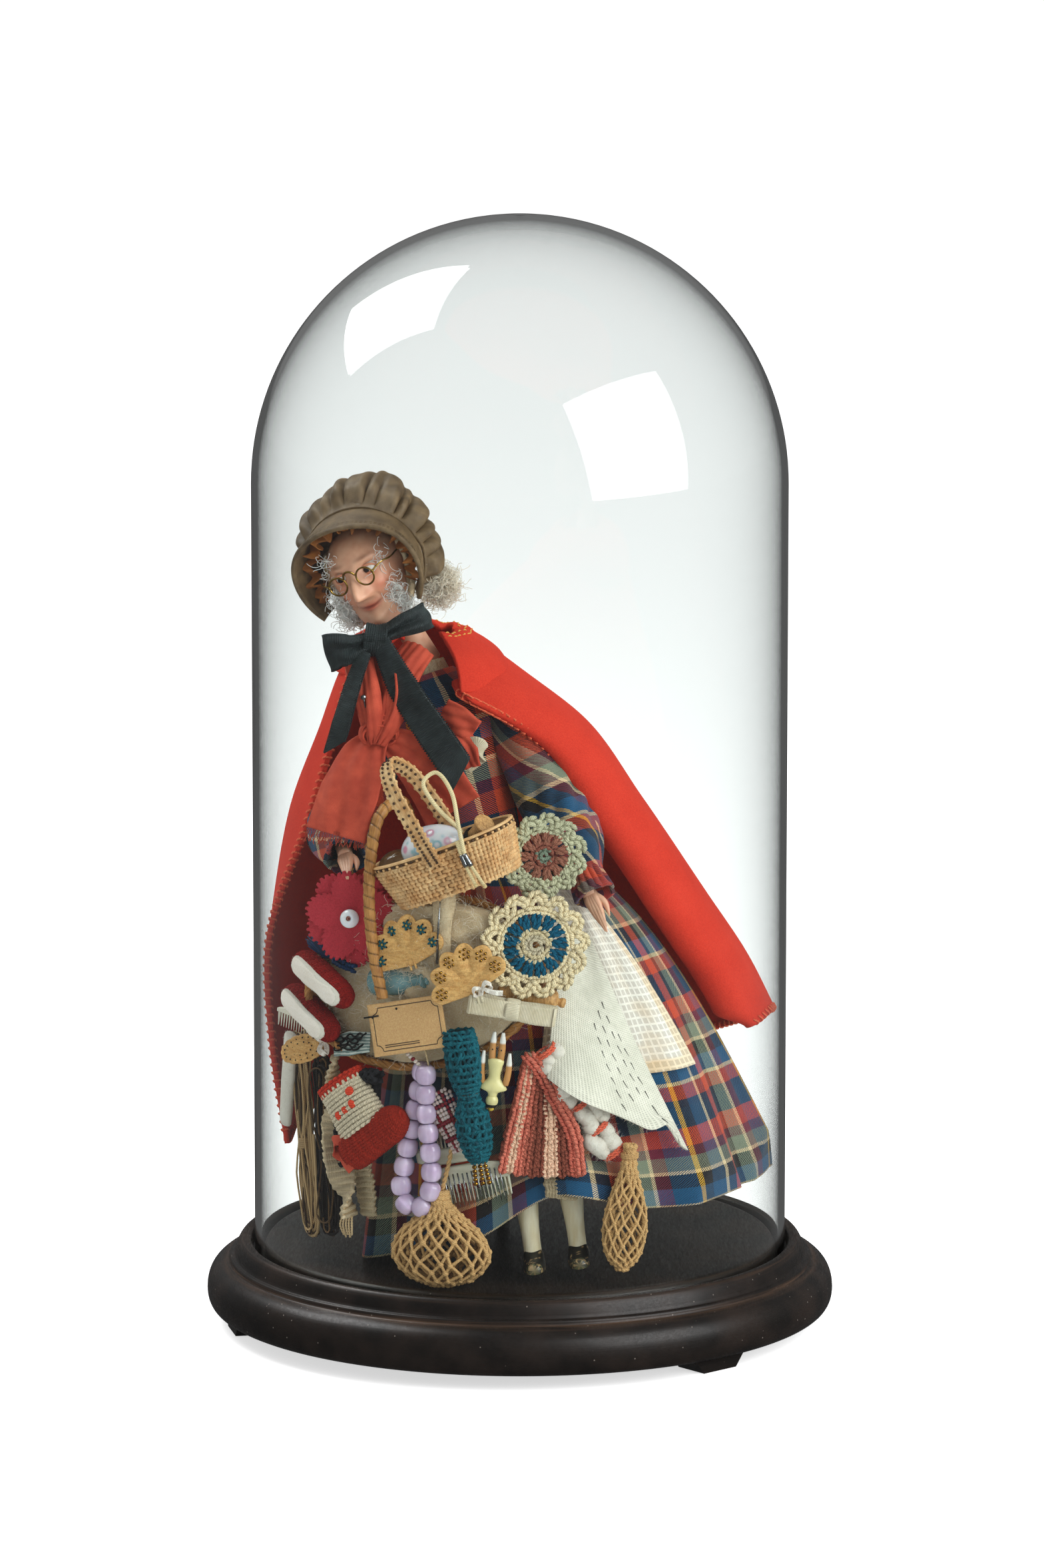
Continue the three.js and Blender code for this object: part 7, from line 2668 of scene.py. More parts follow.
@dataclass
class Tray:
    """Oval wicker tray with a cane-bound handle and a bed of combed fleece."""

    half: tuple[float, float] = (50.0, 34.0)
    stakes: int = 44
    handle: tuple[Point, ...] = (
        (-54, -81, 150), (-58, -79, 172), (-59, -77, 200), (-55, -70, 222), (-47, -60, 226), (-42, -54, 212),
        (-41, -52, 196),
    )

    def build(self) -> None:
        """Weaves the tray, binds the handle and heaps the fleece."""
        self.weave()
        self.bow()
        self.fleece()

    def oval(self, turn: np.ndarray, grow: np.ndarray | float, y: np.ndarray | float) -> np.ndarray:
        """Points of an oval in the tray's frame.

        Args:
            turn: angles in radians.
            grow: millimetres outside the tray's own oval.
            y: depth of each point.

        Returns:
            The points.
        """
        return np.stack(
            [
                (self.half[0] + grow) * np.cos(turn),
                np.broadcast_to(y, np.shape(turn)),
                (self.half[1] + grow) * np.sin(turn),
            ],
            -1,
        )

    def weave(self) -> None:
        """Rods over and under the stakes, and a twisted border."""
        draft = Draft(TRAY)
        chance = np.random.default_rng(4)
        turn = np.linspace(0, TAU, self.stakes * 6, endpoint=False)
        for row in range(9):
            y, grow = -0.6 - row * 1.05, lerp(-6, 0, min(1, row / 5))
            for way in (0, 1):
                bend_out = 0.62 * np.sin(turn * self.stakes / 2 + math.pi * (row + way)) - 0.9
                shade = np.full(3, chance.uniform(0.72, 1.05))
                draft.tube(self.oval(turn, grow + bend_out, y + 0.2 * way), 0.62, 6, closed=True, tint=shade)
        for ring in range(15):
            grow = lerp(-30, -7, ring / 14)
            bend_out = 0.5 * np.sin(turn * self.stakes / 2 + math.pi * ring)
            draft.tube(
                self.oval(turn, grow, -0.7 + bend_out),
                0.75,
                6,
                closed=True,
                tint=np.full(3, chance.uniform(0.72, 1.0)),
            )
        for k in range(self.stakes):
            spoke = np.full(5, TAU * k / self.stakes)
            rib = self.oval(spoke, np.array([-30, -7, -3, -1.2, -0.9]), np.array([-0.7, -0.7, -3, -6, -9.8]))
            draft.tube(curve(rib, np.linspace(0, 1, 12)), 0.72, 6, tint=np.full(3, chance.uniform(0.75, 1.1)))
        for k in range(4):
            phase = turn * 22 + TAU * k / 4
            draft.tube(
                self.oval(turn, -0.6 + 0.9 * np.cos(phase), -9.9 + 0.9 * np.sin(phase)),
                0.85,
                7,
                closed=True,
                tint=np.full(3, chance.uniform(0.8, 1.1)),
            )
        draft.build("tray_wicker", CANE, slot="wicker", nodes=["tray"])

    def bow(self) -> None:
        """A bow handle bound with flat cane, whose turns leave slits, sunk in and darkened with painted
        shade.
        """
        share = np.linspace(0, 1, 420)
        path = curve(self.handle, share)
        run, side = frames(path)
        lift = np.cross(run, side)
        length = np.r_[0, np.cumsum(np.linalg.norm(np.diff(path, axis=0), axis=1))][:, None]
        turn = np.linspace(0, TAU, 24, endpoint=False)[None]
        phase = (length / 4.6 + turn / TAU) % 1.0
        slit = bell(phase, 0.5, 0.05) * ease(np.sin(turn * 0.5) * 1.6)
        radius = 2.3 - 0.5 * slit + 0.12 * np.sin(TAU * phase)
        grid = path[:, None] + radius[..., None] * (
            np.cos(turn)[..., None] * side[:, None] + np.sin(turn)[..., None] * lift[:, None]
        )
        # Painted shade: the tint darkens the slits between the turns of cane.
        tint = (1 - 0.82 * slit)[..., None] * np.ones(3)
        draft = Draft()
        draft.patch(grid, around=True, caps=True, tint=tint)
        draft.build("tray_handle_cane", CANE, slot="wicker", nodes=["tray_handle"])

    def fleece(self) -> None:
        """A soft heap of combed fleece with fibres that stand off it."""
        chance = np.random.default_rng(9)
        turn = np.linspace(0, TAU, 150, endpoint=False)
        rows = curve(
            [
                (-8.3, -2.3, 0), (-4.5, -5, 0), (-2.6, -9.3, 0), (-4, -26, 0), (-16, -39.6, 0), (-28, -43, 0),
                (-33.9, -43.6, 0),
            ],
            np.linspace(0, 1, 70),
        )
        grid = np.stack([self.oval(turn, grow, y) for grow, y, _ in rows])
        world = moved(TRAY, grid.reshape(-1, 3)).reshape(grid.shape)
        reach = 90.4
        out = np.hypot(world[..., 0], world[..., 1])
        world[..., :2] *= np.minimum(1, reach / np.maximum(out, 1e-6))[..., None]
        lumps = (
            0.8 * np.sin(7 * turn[None] + 0.3 * world[..., 2])
            + 0.6 * np.sin(0.5 * world[..., 0] + 0.4 * world[..., 2])
            + chance.normal(0, 0.12, out.shape)
        )
        front = unit(np.stack([world[..., 0], world[..., 1], np.zeros_like(out)], -1))
        world += front * lumps[..., None] * np.clip(np.linspace(0, 3, 70), 0, 1)[:, None, None]
        draft = Draft()
        draft.patch(world, around=True, caps=True)
        bed = draft.build("fleece_heap", FLEECE, slot="fleece", nodes=["fleece_bed"])
        loose = []
        for _ in range(2600):
            i, j = chance.integers(12, 69), chance.integers(0, 150)
            root = world[i, j] - front[i, j] * 0.3
            ahead = unit(chance.normal(0, 1, 3) * [1, 0.3, 1])
            spots = [root]
            for _ in range(6):
                ahead = unit(ahead + chance.normal(0, 0.45, 3) + front[i, j] * 0.12)
                spots.append(spots[-1] + ahead * chance.uniform(0.8, 1.7))
            loose.append(spots)
        strands("fleece_fibres", loose, 0.06, MOHAIR)


@dataclass
class EggBasket:
    """Oblong plaited straw basket with a band handle; an opal egg, a clear egg and a bobbin lie in it."""

    place: Matrix = field(default_factory=lambda: ware(-27, 205, 20, -22, 6))
    stakes: int = 80
    rows: int = 11

    def build(self) -> None:
        """Weaves the basket and fills it."""
        self.weave()
        self.eggs()
        self.tags()

    @staticmethod
    def wall(turn: np.ndarray, rise: np.ndarray | float, out: np.ndarray | float = 0.0) -> np.ndarray:
        """Points of the wall, rise 0 at the floor and 1 at the rim: an oval with flatter sides.

        Args:
            turn: angles in radians.
            rise: share of the height.
            out: millimetres outside the wall.

        Returns:
            The points.
        """
        share = np.clip(rise, 0, 1)
        half_x = lerp(26, 31, share) + out
        half_y = lerp(12.5, 15, share) + out

        def flat(c: np.ndarray) -> np.ndarray:
            """A sine or cosine drawn out toward flatter sides."""
            return np.sign(c) * np.abs(c) ** 0.82

        return np.stack(
            [
                half_x * flat(np.cos(turn)),
                half_y * flat(np.sin(turn)),
                np.broadcast_to(-10.5 + 19 * np.asarray(rise), np.shape(turn)),
            ],
            -1,
        )

    def weave(self) -> None:
        """Flat weavers in front of and behind the stakes, row by row, with a dotted border; the dark lining,
        the darker stakes and the dark dots on the border and handle are painted shade in the gaps and holes.
        """
        draft = Draft(self.place)
        chance = np.random.default_rng(6)
        turn = np.linspace(0, TAU, self.stakes * 4, endpoint=False)
        step, tall = TAU / self.stakes, 1 / (self.rows + 1.3)
        for row in range(self.rows):
            rise = (row + 0.6) * tall
            for k in range(self.stakes):
                shade = np.full(3, chance.uniform(0.8, 1.12))
                if (row + k) % 2:
                    spots = self.wall(
                        (k + np.array([-0.75, 0, 0.75])) * step, rise, np.array([-0.9, 0.1, -0.9])
                    )
                    draft.tube(spots, 0.62, 6, flat=1.35, up=(0, 0, 1), tint=shade)
                else:
                    spots = self.wall(
                        np.full(3, k * step),
                        rise + np.array([-0.75, 0, 0.75]) * tall,
                        np.array([-0.9, 0.0, -0.9]),
                    )
                    # The stakes are tinted a little darker than the weavers: painted shade.
                    draft.tube(spots, 0.74, 6, tint=shade * 0.94)
        # A dark lining inside and a darker floor outside: painted shade seen through the gaps of the weave.
        inner = [self.wall(turn, rise, -1.7) for rise in np.linspace(0, 1, 6)]
        base = [self.wall(turn, 0.0, -1.2) * [k, k, 1] + [0, 0, 0.4] for k in (0.02, 0.4, 0.8, 1.0)]
        draft.patch(np.array(base + inner), around=True, tint=np.full((10, len(turn), 3), 0.62))
        base = [self.wall(turn, 0.0, -0.3) * [k, k, 1] - [0, 0, 0.1] for k in (0.02, 0.4, 0.8, 1.0)]
        draft.patch(np.array(base), around=True, tint=np.full((4, len(turn), 3), 0.7))
        for rise, out in ((0.9, -0.5), (1.02, -0.5), (1.02, -1.3), (0.02, -0.4)):
            draft.tube(self.wall(turn, rise, out), 0.55, 7, closed=True)
        # Every other dot of the border is dark: painted shade standing for a hole.
        for k in range(0, self.stakes):
            spot = self.wall(np.array([TAU * k / self.stakes]), 0.955, -0.25)[0]
            draft.ball(tuple(spot), (0.72, 0.66, 0.55), 6, 5, 0, (0.1, 0.08, 0.07) if k % 2 else (1, 1, 1))
        arch = curve(
            [
                (0, -14.6, 3), (-1, -15, 10), (-2.4, -14.6, 20), (-6, -11, 38), (-8, 0, 46), (-6, 11, 38),
                (-2.4, 14.4, 20), (0, 14.1, 3),
            ],
            np.linspace(0, 1, 120),
        )
        run = unit(np.gradient(arch, axis=0))
        side = unit(np.array([1.0, 0, 0.35]) - run * (run @ np.array([1.0, 0, 0.35]))[:, None])
        out = np.cross(side, run)
        width = np.linspace(-3, 3, 13)
        lump = 0.35 * np.sin(np.arange(120) * 1.55)[:, None] * np.cos(width * 2.1)[None]
        top = arch[:, None] + side[:, None] * width[None, :, None] + out[:, None] * (0.55 + lump)[..., None]
        low = (
            arch[:, None]
            + side[:, None] * width[None, ::-1, None]
            - out[:, None] * (0.55 - lump[:, ::-1])[..., None]
        )
        draft.patch(np.concatenate([top, low], 1), around=True, caps=True)
        # Dark dots along both edges of the handle: painted shade in the gaps of the plait.
        for k in range(3, 118, 3):
            for edge in (-1.5, 1.5):
                for face in (-1, 1):
                    spot = arch[k] + side[k] * edge + out[k] * face * 0.85
                    draft.ball(tuple(spot), (0.62, 0.55, 0.62), 6, 5, 0, (0.1, 0.08, 0.07))
        for k in range(0, 120, 4):
            for edge in (-3, 3):
                draft.ball(tuple(arch[k] + side[k] * edge), (0.75, 0.75, 0.75), 7, 6)
        draft.build("egg_basket_straw", STRAW, slot="wicker", nodes=["egg_basket"])

    def eggs(self) -> None:
        """A painted opal egg, a clear one and a wooden bobbin."""
        rise = np.linspace(-math.pi / 2, math.pi / 2, 90)[:, None]
        turn = np.linspace(0, TAU, 140, endpoint=False)[None]
        taper = 1 - 0.1 * np.sin(rise)
        grid = np.stack(
            [
                np.repeat(13.5 * np.sin(rise), 140, 1),
                9.4 * taper * np.cos(rise) * np.cos(turn),
                9.4 * taper * np.cos(rise) * np.sin(turn),
            ],
            -1,
        )
        tint = np.ones(grid.shape)
        flowers = [
            ((3.5, -5.4, 7.4), "e86a9a"), ((-2.5, -8.6, 2.6), "6ec5d4"), ((9.0, -5.2, 1.5), "ee9ab8"),
            ((-8.0, -5.5, 3.6), "e86a9a"), ((5.5, -8.0, 2.0), "6ec5d4"),
        ]
        for spot, colour in flowers:
            away = np.linalg.norm(grid - np.asarray(spot), axis=-1)
            ring = np.clip(bell(away, 1.5, 0.5), 0, 1)[..., None] * 0.75
            tint = tint * (1 - ring) + np.asarray(linear(colour)[:3]) * ring
            for k in range(5):
                leaf = np.asarray(spot) + 2.6 * np.array(
                    [math.cos(k * 1.4 + spot[0]), 0, math.sin(k * 1.4 + spot[0])]
                )
                dot = np.clip(
                    1.4 * bell(np.linalg.norm(grid - leaf, axis=-1), 0.0, 0.8), 0, 1
                )[..., None] * 0.7
                tint = tint * (1 - dot) + np.asarray(linear("7cc7cf")[:3]) * dot
        egg = Draft(self.place)
        egg.patch(grid + [-4.5, 0, 7.8], around=True, caps=True, tint=tint)
        egg.build("opal_egg_painted", OPAL, slot="opal_glass", nodes=["opal_egg"])
        clear = Draft(self.place)
        clear.ball((-20.5, -2.5, 6.2), (8.0, 7.2, 6.4), 40, 24)
        clear.build("clear_egg", EGG_GLASS, slot="opal_glass")
        bobbin = Draft(self.place @ frame_of((14.5, 2, 7.6), ("Y", 64), ("X", 20)))
        bobbin.lathe(
            [(0.6, -7), (4.2, -6.8), (4.4, -5.8), (3.4, -4.8), (3.4, 4.8), (4.4, 5.8), (4.2, 6.8), (0.6, 7)],
            32,
            smooth=40,
        )
        bobbin.build("bobbin", BIRCH, slot="wicker")
        thread = Draft(self.place @ frame_of((14.5, 2, 7.6), ("Y", 64), ("X", 20)))
        spin = np.linspace(0, TAU * 5, 120)
        thread.tube(
            np.stack([3.7 * np.cos(spin), 3.7 * np.sin(spin), np.linspace(-4.4, -1.8, 120)], -1),
            0.3,
            6,
            tint=linear("2a2522"),
        )
        thread.build("bobbin_thread", STRING, slot="wicker")

    def tags(self) -> None:
        """The bootlace's doubled end with two metal tags, hanging over the rim."""
        lace = Draft(self.place)
        metal = Draft(self.place)
        for lean, drop in ((0.0, -9.0), (3.4, -10.5)):
            path = curve(
                [(12.6 + lean * 0.2, -15.6, 10), (12.8 + lean * 0.5, -17.0, 2), (13.4 + lean, -16.8, drop)],
                np.linspace(0, 1, 20),
            )
            lace.tube(path, 0.7, 8, flat=0.7, up=(0, 1, 0), tint=linear("e2cc9c"))
            metal.tube(path[7:13], 1.0, 10)
            lace.ball(tuple(path[-1]), (0.95, 0.95, 0.9), 8, 6, 0, linear("d8bd88"))
        lace.build("bootlace_end", STRING, slot="cord")
        metal.build("bootlace_tags", STEEL, slot="iron")


@dataclass
class TrayWares:
    """What lies on the fleece and along the tray's edge."""

    def build(self) -> None:
        """Makes each ware where its node is."""
        self.penwiper()
        self.doily(
            "doily_teal",
            ware(6, 174, 13.6, 10, -4),
            "yarn",
            ("cfc2a6", "d9c8a2", "0c5672", "efdcb4"),
            16.6,
            13,
            2.6,
        )
        self.doily(
            "doily_green",
            ware(9.5, 208, 22.5, 0, -2),
            "coloured_yarn",
            ("7c8a78", "8c5344", "94604e", "c4c2a2"),
            12.6,
            11,
            2.2,
        )
        self.fan("fan_left", ware(-43, 168, 10.8, -24, -6), linear("0f5560"), STRING)
        self.fan("fan_right", ware(-19, 159, 7.6, -30, -6), None, GILT)
        self.bottle()
        self.slipper("slipper_upper", ware(-77, 154, 6.4, 24))
        self.slipper("slipper_lower", ware(-82, 139, 6.2, 24))
        self.ivory_comb()
        self.paddle()
        self.card()
        self.tape()
        self.needle_roll()
        self.hook_card()
        self.rolling_pin()
        self.tassel()

    def penwiper(self) -> None:
        """Two layers of pinked felt petals about a white bead."""
        place = ware(-66, 180, 11.5, 8, -6) @ frame_of((0, 0, 0), ("Z", 26))
        draft = Draft(place)
        for layer, (spin, grow, behind) in enumerate(((0.0, 1.0, 0.0), (34.0, 1.06, 2.2))):
            outline = scalloped(12.5, 5, 6, spin, spin + 360, 400) * grow
            pinked = 1 + 0.03 * np.where(np.arange(400) % 8 < 4, 1, -1)

            def crease(x: np.ndarray, z: np.ndarray, s: float = spin, b: float = behind) -> np.ndarray:
                """Hollow of each petal, and a wave at its rim."""
                away, way = np.hypot(x, z), np.arctan2(z, x)
                petal = 1.2 * np.abs(np.sin(2.5 * (way - math.radians(s)))) * np.clip(away / 12, 0, 1)
                return -b + petal - 0.03 * away * np.sin(3 * way + layer)

            draft.plate(outline * pinked[:, None], 2.0, 0.5, 0, crease, 16)
        draft.build("penwiper_petals", ROSE, slot="scarlet_felt", nodes=["penwiper"])
        bead = Draft(place @ frame_of((0, -3.2, 0), ("X", 80)))
        turn = np.linspace(0, TAU, 24, endpoint=False)
        bead.lathe(
            [(1.0 + 0.0, 1.6), (1.9, 2.2), (3.4, 1.2), (3.8, 0), (3.2, -1.4), (1.4, -2.0), (0.9, -1.2)],
            36,
            smooth=40,
            caps=False,
        )
        bead.tube(
            np.stack([0.75 * np.cos(turn), 0.75 * np.sin(turn), np.full(24, 0.6)], -1),
            0.5,
            8,
            closed=True,
            tint=linear("d88a76"),
        )
        bead.build("penwiper_bead", OPAL, slot="opal_glass")

    def doily(
        self, node: str, place: Matrix, slot: str, colours: tuple[str, ...], radius: float, count: int,
        depth: float,
    ) -> None:
        """A crocheted mat: a ring, long radial stitches and a chain of scallops.

        Args:
            node: the CAD node it stands for.
            place: its frame.
            slot: the record's material slot.
            colours: middle, second ring, long stitches and edge.
            radius: to the inside of the scallops.
            count: scallops.
            depth: of the scallops.
        """
        draft = Draft(place)

        def ring(r: float, n: int = 80) -> np.ndarray:
            """A circle in the plane of the doily."""
            turn = np.linspace(0, TAU, n)
            return np.stack([r * np.cos(turn), np.zeros(n), r * np.sin(turn)], -1)

        plaited(draft, ring(radius * 0.17), 3.0, colours[0])
        plaited(draft, ring(radius * 0.34), 3.2, colours[1])
        for k in range(count):
            for spread in (-0.1, 0.1):
                angle = TAU * (k + 0.5) / count + spread
                way = np.array([math.cos(angle), 0, math.sin(angle)])
                middle = np.array([math.cos(TAU * (k + 0.5) / count), 0, math.sin(TAU * (k + 0.5) / count)])
                stitch = [middle * radius * 0.38, way * radius * 0.56 + [0, -0.7, 0], way * radius * 0.78]
                plied(draft, curve(stitch, np.linspace(0, 1, 10)), 2.4, colours[2], 2.4)
        edge = scalloped(radius - 1.2, count, depth + 1.8, 0, 360, 260)
        path = np.stack([edge[:, 0], 0.5 * np.sin(np.linspace(0, TAU * 5, 260)), edge[:, 1]], -1)
        plaited(draft, np.vstack([path, path[:2]]), 4.0, colours[3])
        plaited(draft, ring(radius * 0.84, 120), 3.0, colours[3])
        draft.build(f"{node}_crochet", WOOL, slot=slot, nodes=[node])

    def fan(self, node: str, place: Matrix, stitch: Sequence[float] | None, trim: Finish) -> None:
        """A scalloped fan of thin board, pressed into six cupped leaves, with a flower sewn on each.

        Args:
            node: CAD node that it stands for.
            place: the fan's frame.
            stitch: colour of sewn petals, or nothing for beads.
            trim: finish of the flowers.
        """
        outline = np.vstack([[(0.0, -4.0)], scalloped(14, 6, 2.6, -8, 188, 180)]) + [0, -3.0]

        def cup(x: np.ndarray, z: np.ndarray) -> np.ndarray:
            """The hollow of each leaf, deeper toward the rim."""
            way = np.degrees(np.arctan2(z + 6.8, x)) + 8
            return 1.1 * np.abs(np.cos(6 * math.pi * way / 196)) * np.clip(np.hypot(x, z + 6.8) / 12, 0, 1)

        draft = Draft(place @ frame_of((0, 0, 3.0)))
        draft.plate(outline, 1.4, 0.3, 0, cup, 22)
        sewn = Draft(place @ frame_of((0, 0, 3.0)))
        for k in range(6):
            angle = math.radians(-8 + 196 * (k + 0.5) / 6)
            x, z = 12.2 * math.cos(angle), 12.2 * math.sin(angle) - 3.0
            front = -0.9 - abs(float(cup(np.array(x), np.array(z))))
            for leaf in range(6):
                lean = TAU * leaf / 6
                tip = (x + 1.9 * math.cos(lean), front - 0.1, z + 1.9 * math.sin(lean))
                near = (x + 0.6 * math.cos(lean), front - 0.3, z + 0.6 * math.sin(lean))
                if stitch is not None:
                    sewn.tube([near, tip], [0.45, 0.55, 0.4], 6, tint=stitch)
                else:
                    sewn.ball(tip, (0.62, 0.5, 0.62), 8, 6)
                # A dark iron dot beside each petal tip: painted shade where the petal meets the board.
                draft.ball(tuple(np.add(tip, (0.35, 0.25, 0.1))), (0.45, 0.3, 0.45), 6, 5, 1)
            sewn.ball(
                (x, front - 0.2, z),
                (0.6, 0.4, 0.6),
                8,
                6,
                0,
                linear("c9a24f") if stitch is not None else None,
            )
        for k in (-1, 1):
            draft.tube([(k * 1.2, -0.6, -8.6), (k * 0.9, -0.6, -4)], 0.5, 8)
        draft.build(f"{node}_board", BOARD, IRON, slot="board", nodes=[node])
        sewn.build(f"{node}_flowers", trim, slot="board")
        if stitch is None:
            clear = Draft(place)
            for x, z in ((2.5, -4.5), (5.0, -2.0), (0.8, -7.0)):
                clear.ball((x, -3.0, z), (2.0, 1.8, 1.6), 20, 12)
            clear.build("fan_beads", EGG_GLASS, slot="opal_glass")
            bow = Draft(place)
            for way in (-1, 1):
                loop = [
                    (3.5, -2.6, -3.5), (3.5 + way * 2.6, -3.6, -2.2), (3.5 + way * 4.0, -2.8, -4.2),
                    (3.5 + way * 2, -2.4, -5.4), (3.5, -2.6, -3.5),
                ]
                bow.strip(loop, [1.4, 2.0, 1.8, 1.4], (0, 0.5, 1), 40, 7)
            bow.strip([(4, -2.6, -4), (7, -3, -7), (10, -2.6, -9)], [1.6, 2.0, 2.2], (0.6, 0, 0.8), 24, 7)
            bow.build("fan_ribbon", MUSLIN, slot="white_cloth", thick=0.25)

    def bottle(self) -> None:
        """A pale blue scent bottle on its side."""
        draft = Draft(ware(-47, 156, 17, 82))
        draft.lathe(
            [
                (0.5, -13), (4.6, -12.9), (5.5, -11.8), (5.6, -5), (5.5, 1), (4.2, 4.6), (2.6, 7.4),
                (2.2, 9.6), (3.1, 10.6), (3.2, 11.6), (1.9, 12.2),
            ],
            48,
            smooth=90,
        )
        draft.ball((0, 0, 13.2), (2.2, 2.2, 1.5), 24, 14)
        draft.build("glass_bottle_blue", BLUE_GLASS, slot="blue_glass", nodes=["glass_bottle"])

    def slipper(self, node: str, place: Matrix) -> None:
        """A knitted red slipper with its white felt sole turned out.

        Args:
            node: CAD node that it stands for.
            place: the slipper's frame.
        """
        rows = np.array(
            [
                (-16.5, 1.5, 1.6), (-14.5, 4.0, 3.0), (-6, 5.0, 4.2), (2, 4.6, 4.4), (10, 4.4, 4.5),
                (14.5, 3.2, 3.4), (16, 1.0, 1.8),
            ]
        )
        core = Draft(place)
        # The core under the loops is a darker red: painted shade between the stitches.
        core.loft(rows * [1, 0.92, 0.92], 32, 40, "X", paint=lambda t, s: np.asarray(linear("8f1d1a")[:3]))
        knitted(core, around_rows(rows[:, [0, 2, 1]], "X"), 20, 14, 1.5, even_colour("b8221c"))
        core.build(f"{node}_knit", WOOL, slot="coloured_yarn", nodes=[node])
        sole = Draft(place)

        def edge(t: np.ndarray, s: np.ndarray) -> np.ndarray:
            """The felt's uneven outline."""
            return 1 + 0.05 * np.sin(9 * t + 30 * s)

        sole.loft(
            [
                (-15, 0.6, 1.0, -4.6, 0), (-13.5, 1.5, 3.2, -4.9, 0), (-6, 1.8, 4.0, -5.4, 0),
                (3, 1.7, 3.6, -5.2, 0), (10, 1.8, 3.9, -5.0, 0), (14, 1.5, 3.0, -4.4, 0),
                (15.4, 0.6, 1.0, -4.0, 0),
            ],
            40,
            60,
            "X",
            edge,
        )
        sole.fuzz(160, 1.1, 0.05, 2)
        made = sole.build(f"{node}_sole", WHITE_FELT, slot="white_cloth")

    def ivory_comb(self) -> None:
        """A small ivory comb with a domed back and fine teeth."""
        draft = Draft(ware(-87, 132, 8.5, 14) @ frame_of((0, 0, 0), ("Z", 30)))
        self.comb(draft, 22, 9, 3, 18, 1.6)
        draft.build("ivory_comb_cut", IVORY, slot="ivory", nodes=["ivory_comb"])

    @staticmethod
    def comb(
        draft: Draft, wide: float, tall: float, back: float, teeth: int, thick: float, arch: float = 0.8
    ) -> None:
        """Adds a comb: a rounded back with tapered teeth below it.

        Args:
            draft: the piece that takes the comb.
            wide: full width.
            tall: full height.
            back: height of the back.
            teeth: how many teeth.
            thick: thickness of the back.
            arch: how far the back's ends fall away.
        """
        x = np.linspace(-wide / 2, wide / 2, 40)
        top = tall / 2 - arch * (2 * x / wide) ** 4 - 0.6 * (2 * x / wide) ** 2
        low = np.full(40, tall / 2 - back)
        ring = []
        for share, half in ((0, 0.35), (0.12, 0.5), (0.88, 0.5), (1, 0.3)):
            z = lerp(low, top, share)
            ring.append((z, half * thick))
        front = [np.stack([x, np.full(40, -h), z], -1) for z, h in ring]
        rear = [np.stack([x, np.full(40, h), z], -1) for z, h in ring[::-1]]
        draft.patch(np.stack(front + rear, 1), around=True, caps=True)
        for k in range(teeth):
            place = lerp(-wide / 2 + 0.8, wide / 2 - 0.8, k / (teeth - 1))
            gauge = wide / teeth * (0.5 if 0 < k < teeth - 1 else 0.75)
            stop = -tall / 2 + (0 if 0 < k < teeth - 1 else 0.2)
            draft.tube(
                [(place, 0, tall / 2 - back + 0.8), (place, 0, 0), (place, 0, stop)],
                [gauge * 0.62, gauge * 0.55, gauge * 0.22],
                8,
                flat=min(1.0, thick / gauge * 0.7),
                up=(0, 1, 0),
            )

    def paddle(self) -> None:
        """A paddle fan of thin wood with a ribbon at its handle; its piercings are dark iron dots of painted
        shade.
        """
        place = ware(-80, 126, 8.2, -24) @ frame_of((0, 0, 0), ("Z", 28))
        turn = np.linspace(0, TAU, 160, endpoint=False)
        out = 1 + 0.05 * np.abs(np.sin(8 * turn))
        leaf = np.stack([-7 + 10 * out * np.cos(turn), 5.5 * out * np.sin(turn)], -1)
        draft = Draft(place)
        draft.plate(leaf, 1.3, 0.3, 0, lambda x, z: 0.3 * np.sin(0.5 * x) + 0.15 * np.cos(z), 14)
        draft.slab((8.5, 0, 0), (13, 1.3, 2.0), 0.4)
        # Dark dots in two rings: painted shade standing for the piercings.
        for ring, count in ((0.45, 10), (0.78, 18)):
            for k in range(count):
                angle = TAU * k / count
                draft.ball(
                    (-7 + 10 * ring * math.cos(angle), -0.75, 5.5 * ring * math.sin(angle)),
                    (0.34, 0.22, 0.34),
                    6,
                    5,
                    1,
                )
        draft.build("paddle_fan_cut", BOARD, IRON, slot="doll_wood", nodes=["paddle_fan"])
        bow = Draft(place)
        for way in (-1, 1):
            bow.strip(
                [
                    (2.6, -0.9, 0), (1.6, -2.6, way * 3), (3.6, -2.2, way * 5), (4.2, -1.2, way * 2),
                    (2.8, -0.9, 0),
                ],
                [1.6, 2.4, 2.2, 1.6],
                (1, 0.3, 0),
                30,
                6,
            )
        bow.build("paddle_ribbon", MUSLIN, slot="white_cloth", thick=0.2)

    def card(self) -> None:
        """A tan card with a ruled border whose corners are cut in; it carries no lettering."""
        place = ware(-44, 140, 9, -13, -8)
        x, z = np.linspace(-16.5, 16.5, 40), np.linspace(-10.5, 10.5, 26)

        def warp(a: np.ndarray, b: np.ndarray) -> np.ndarray:
            """The card's bow."""
            return 0.5 * np.cos(a / 10) + 0.25 * np.sin(b / 6 + a / 20)

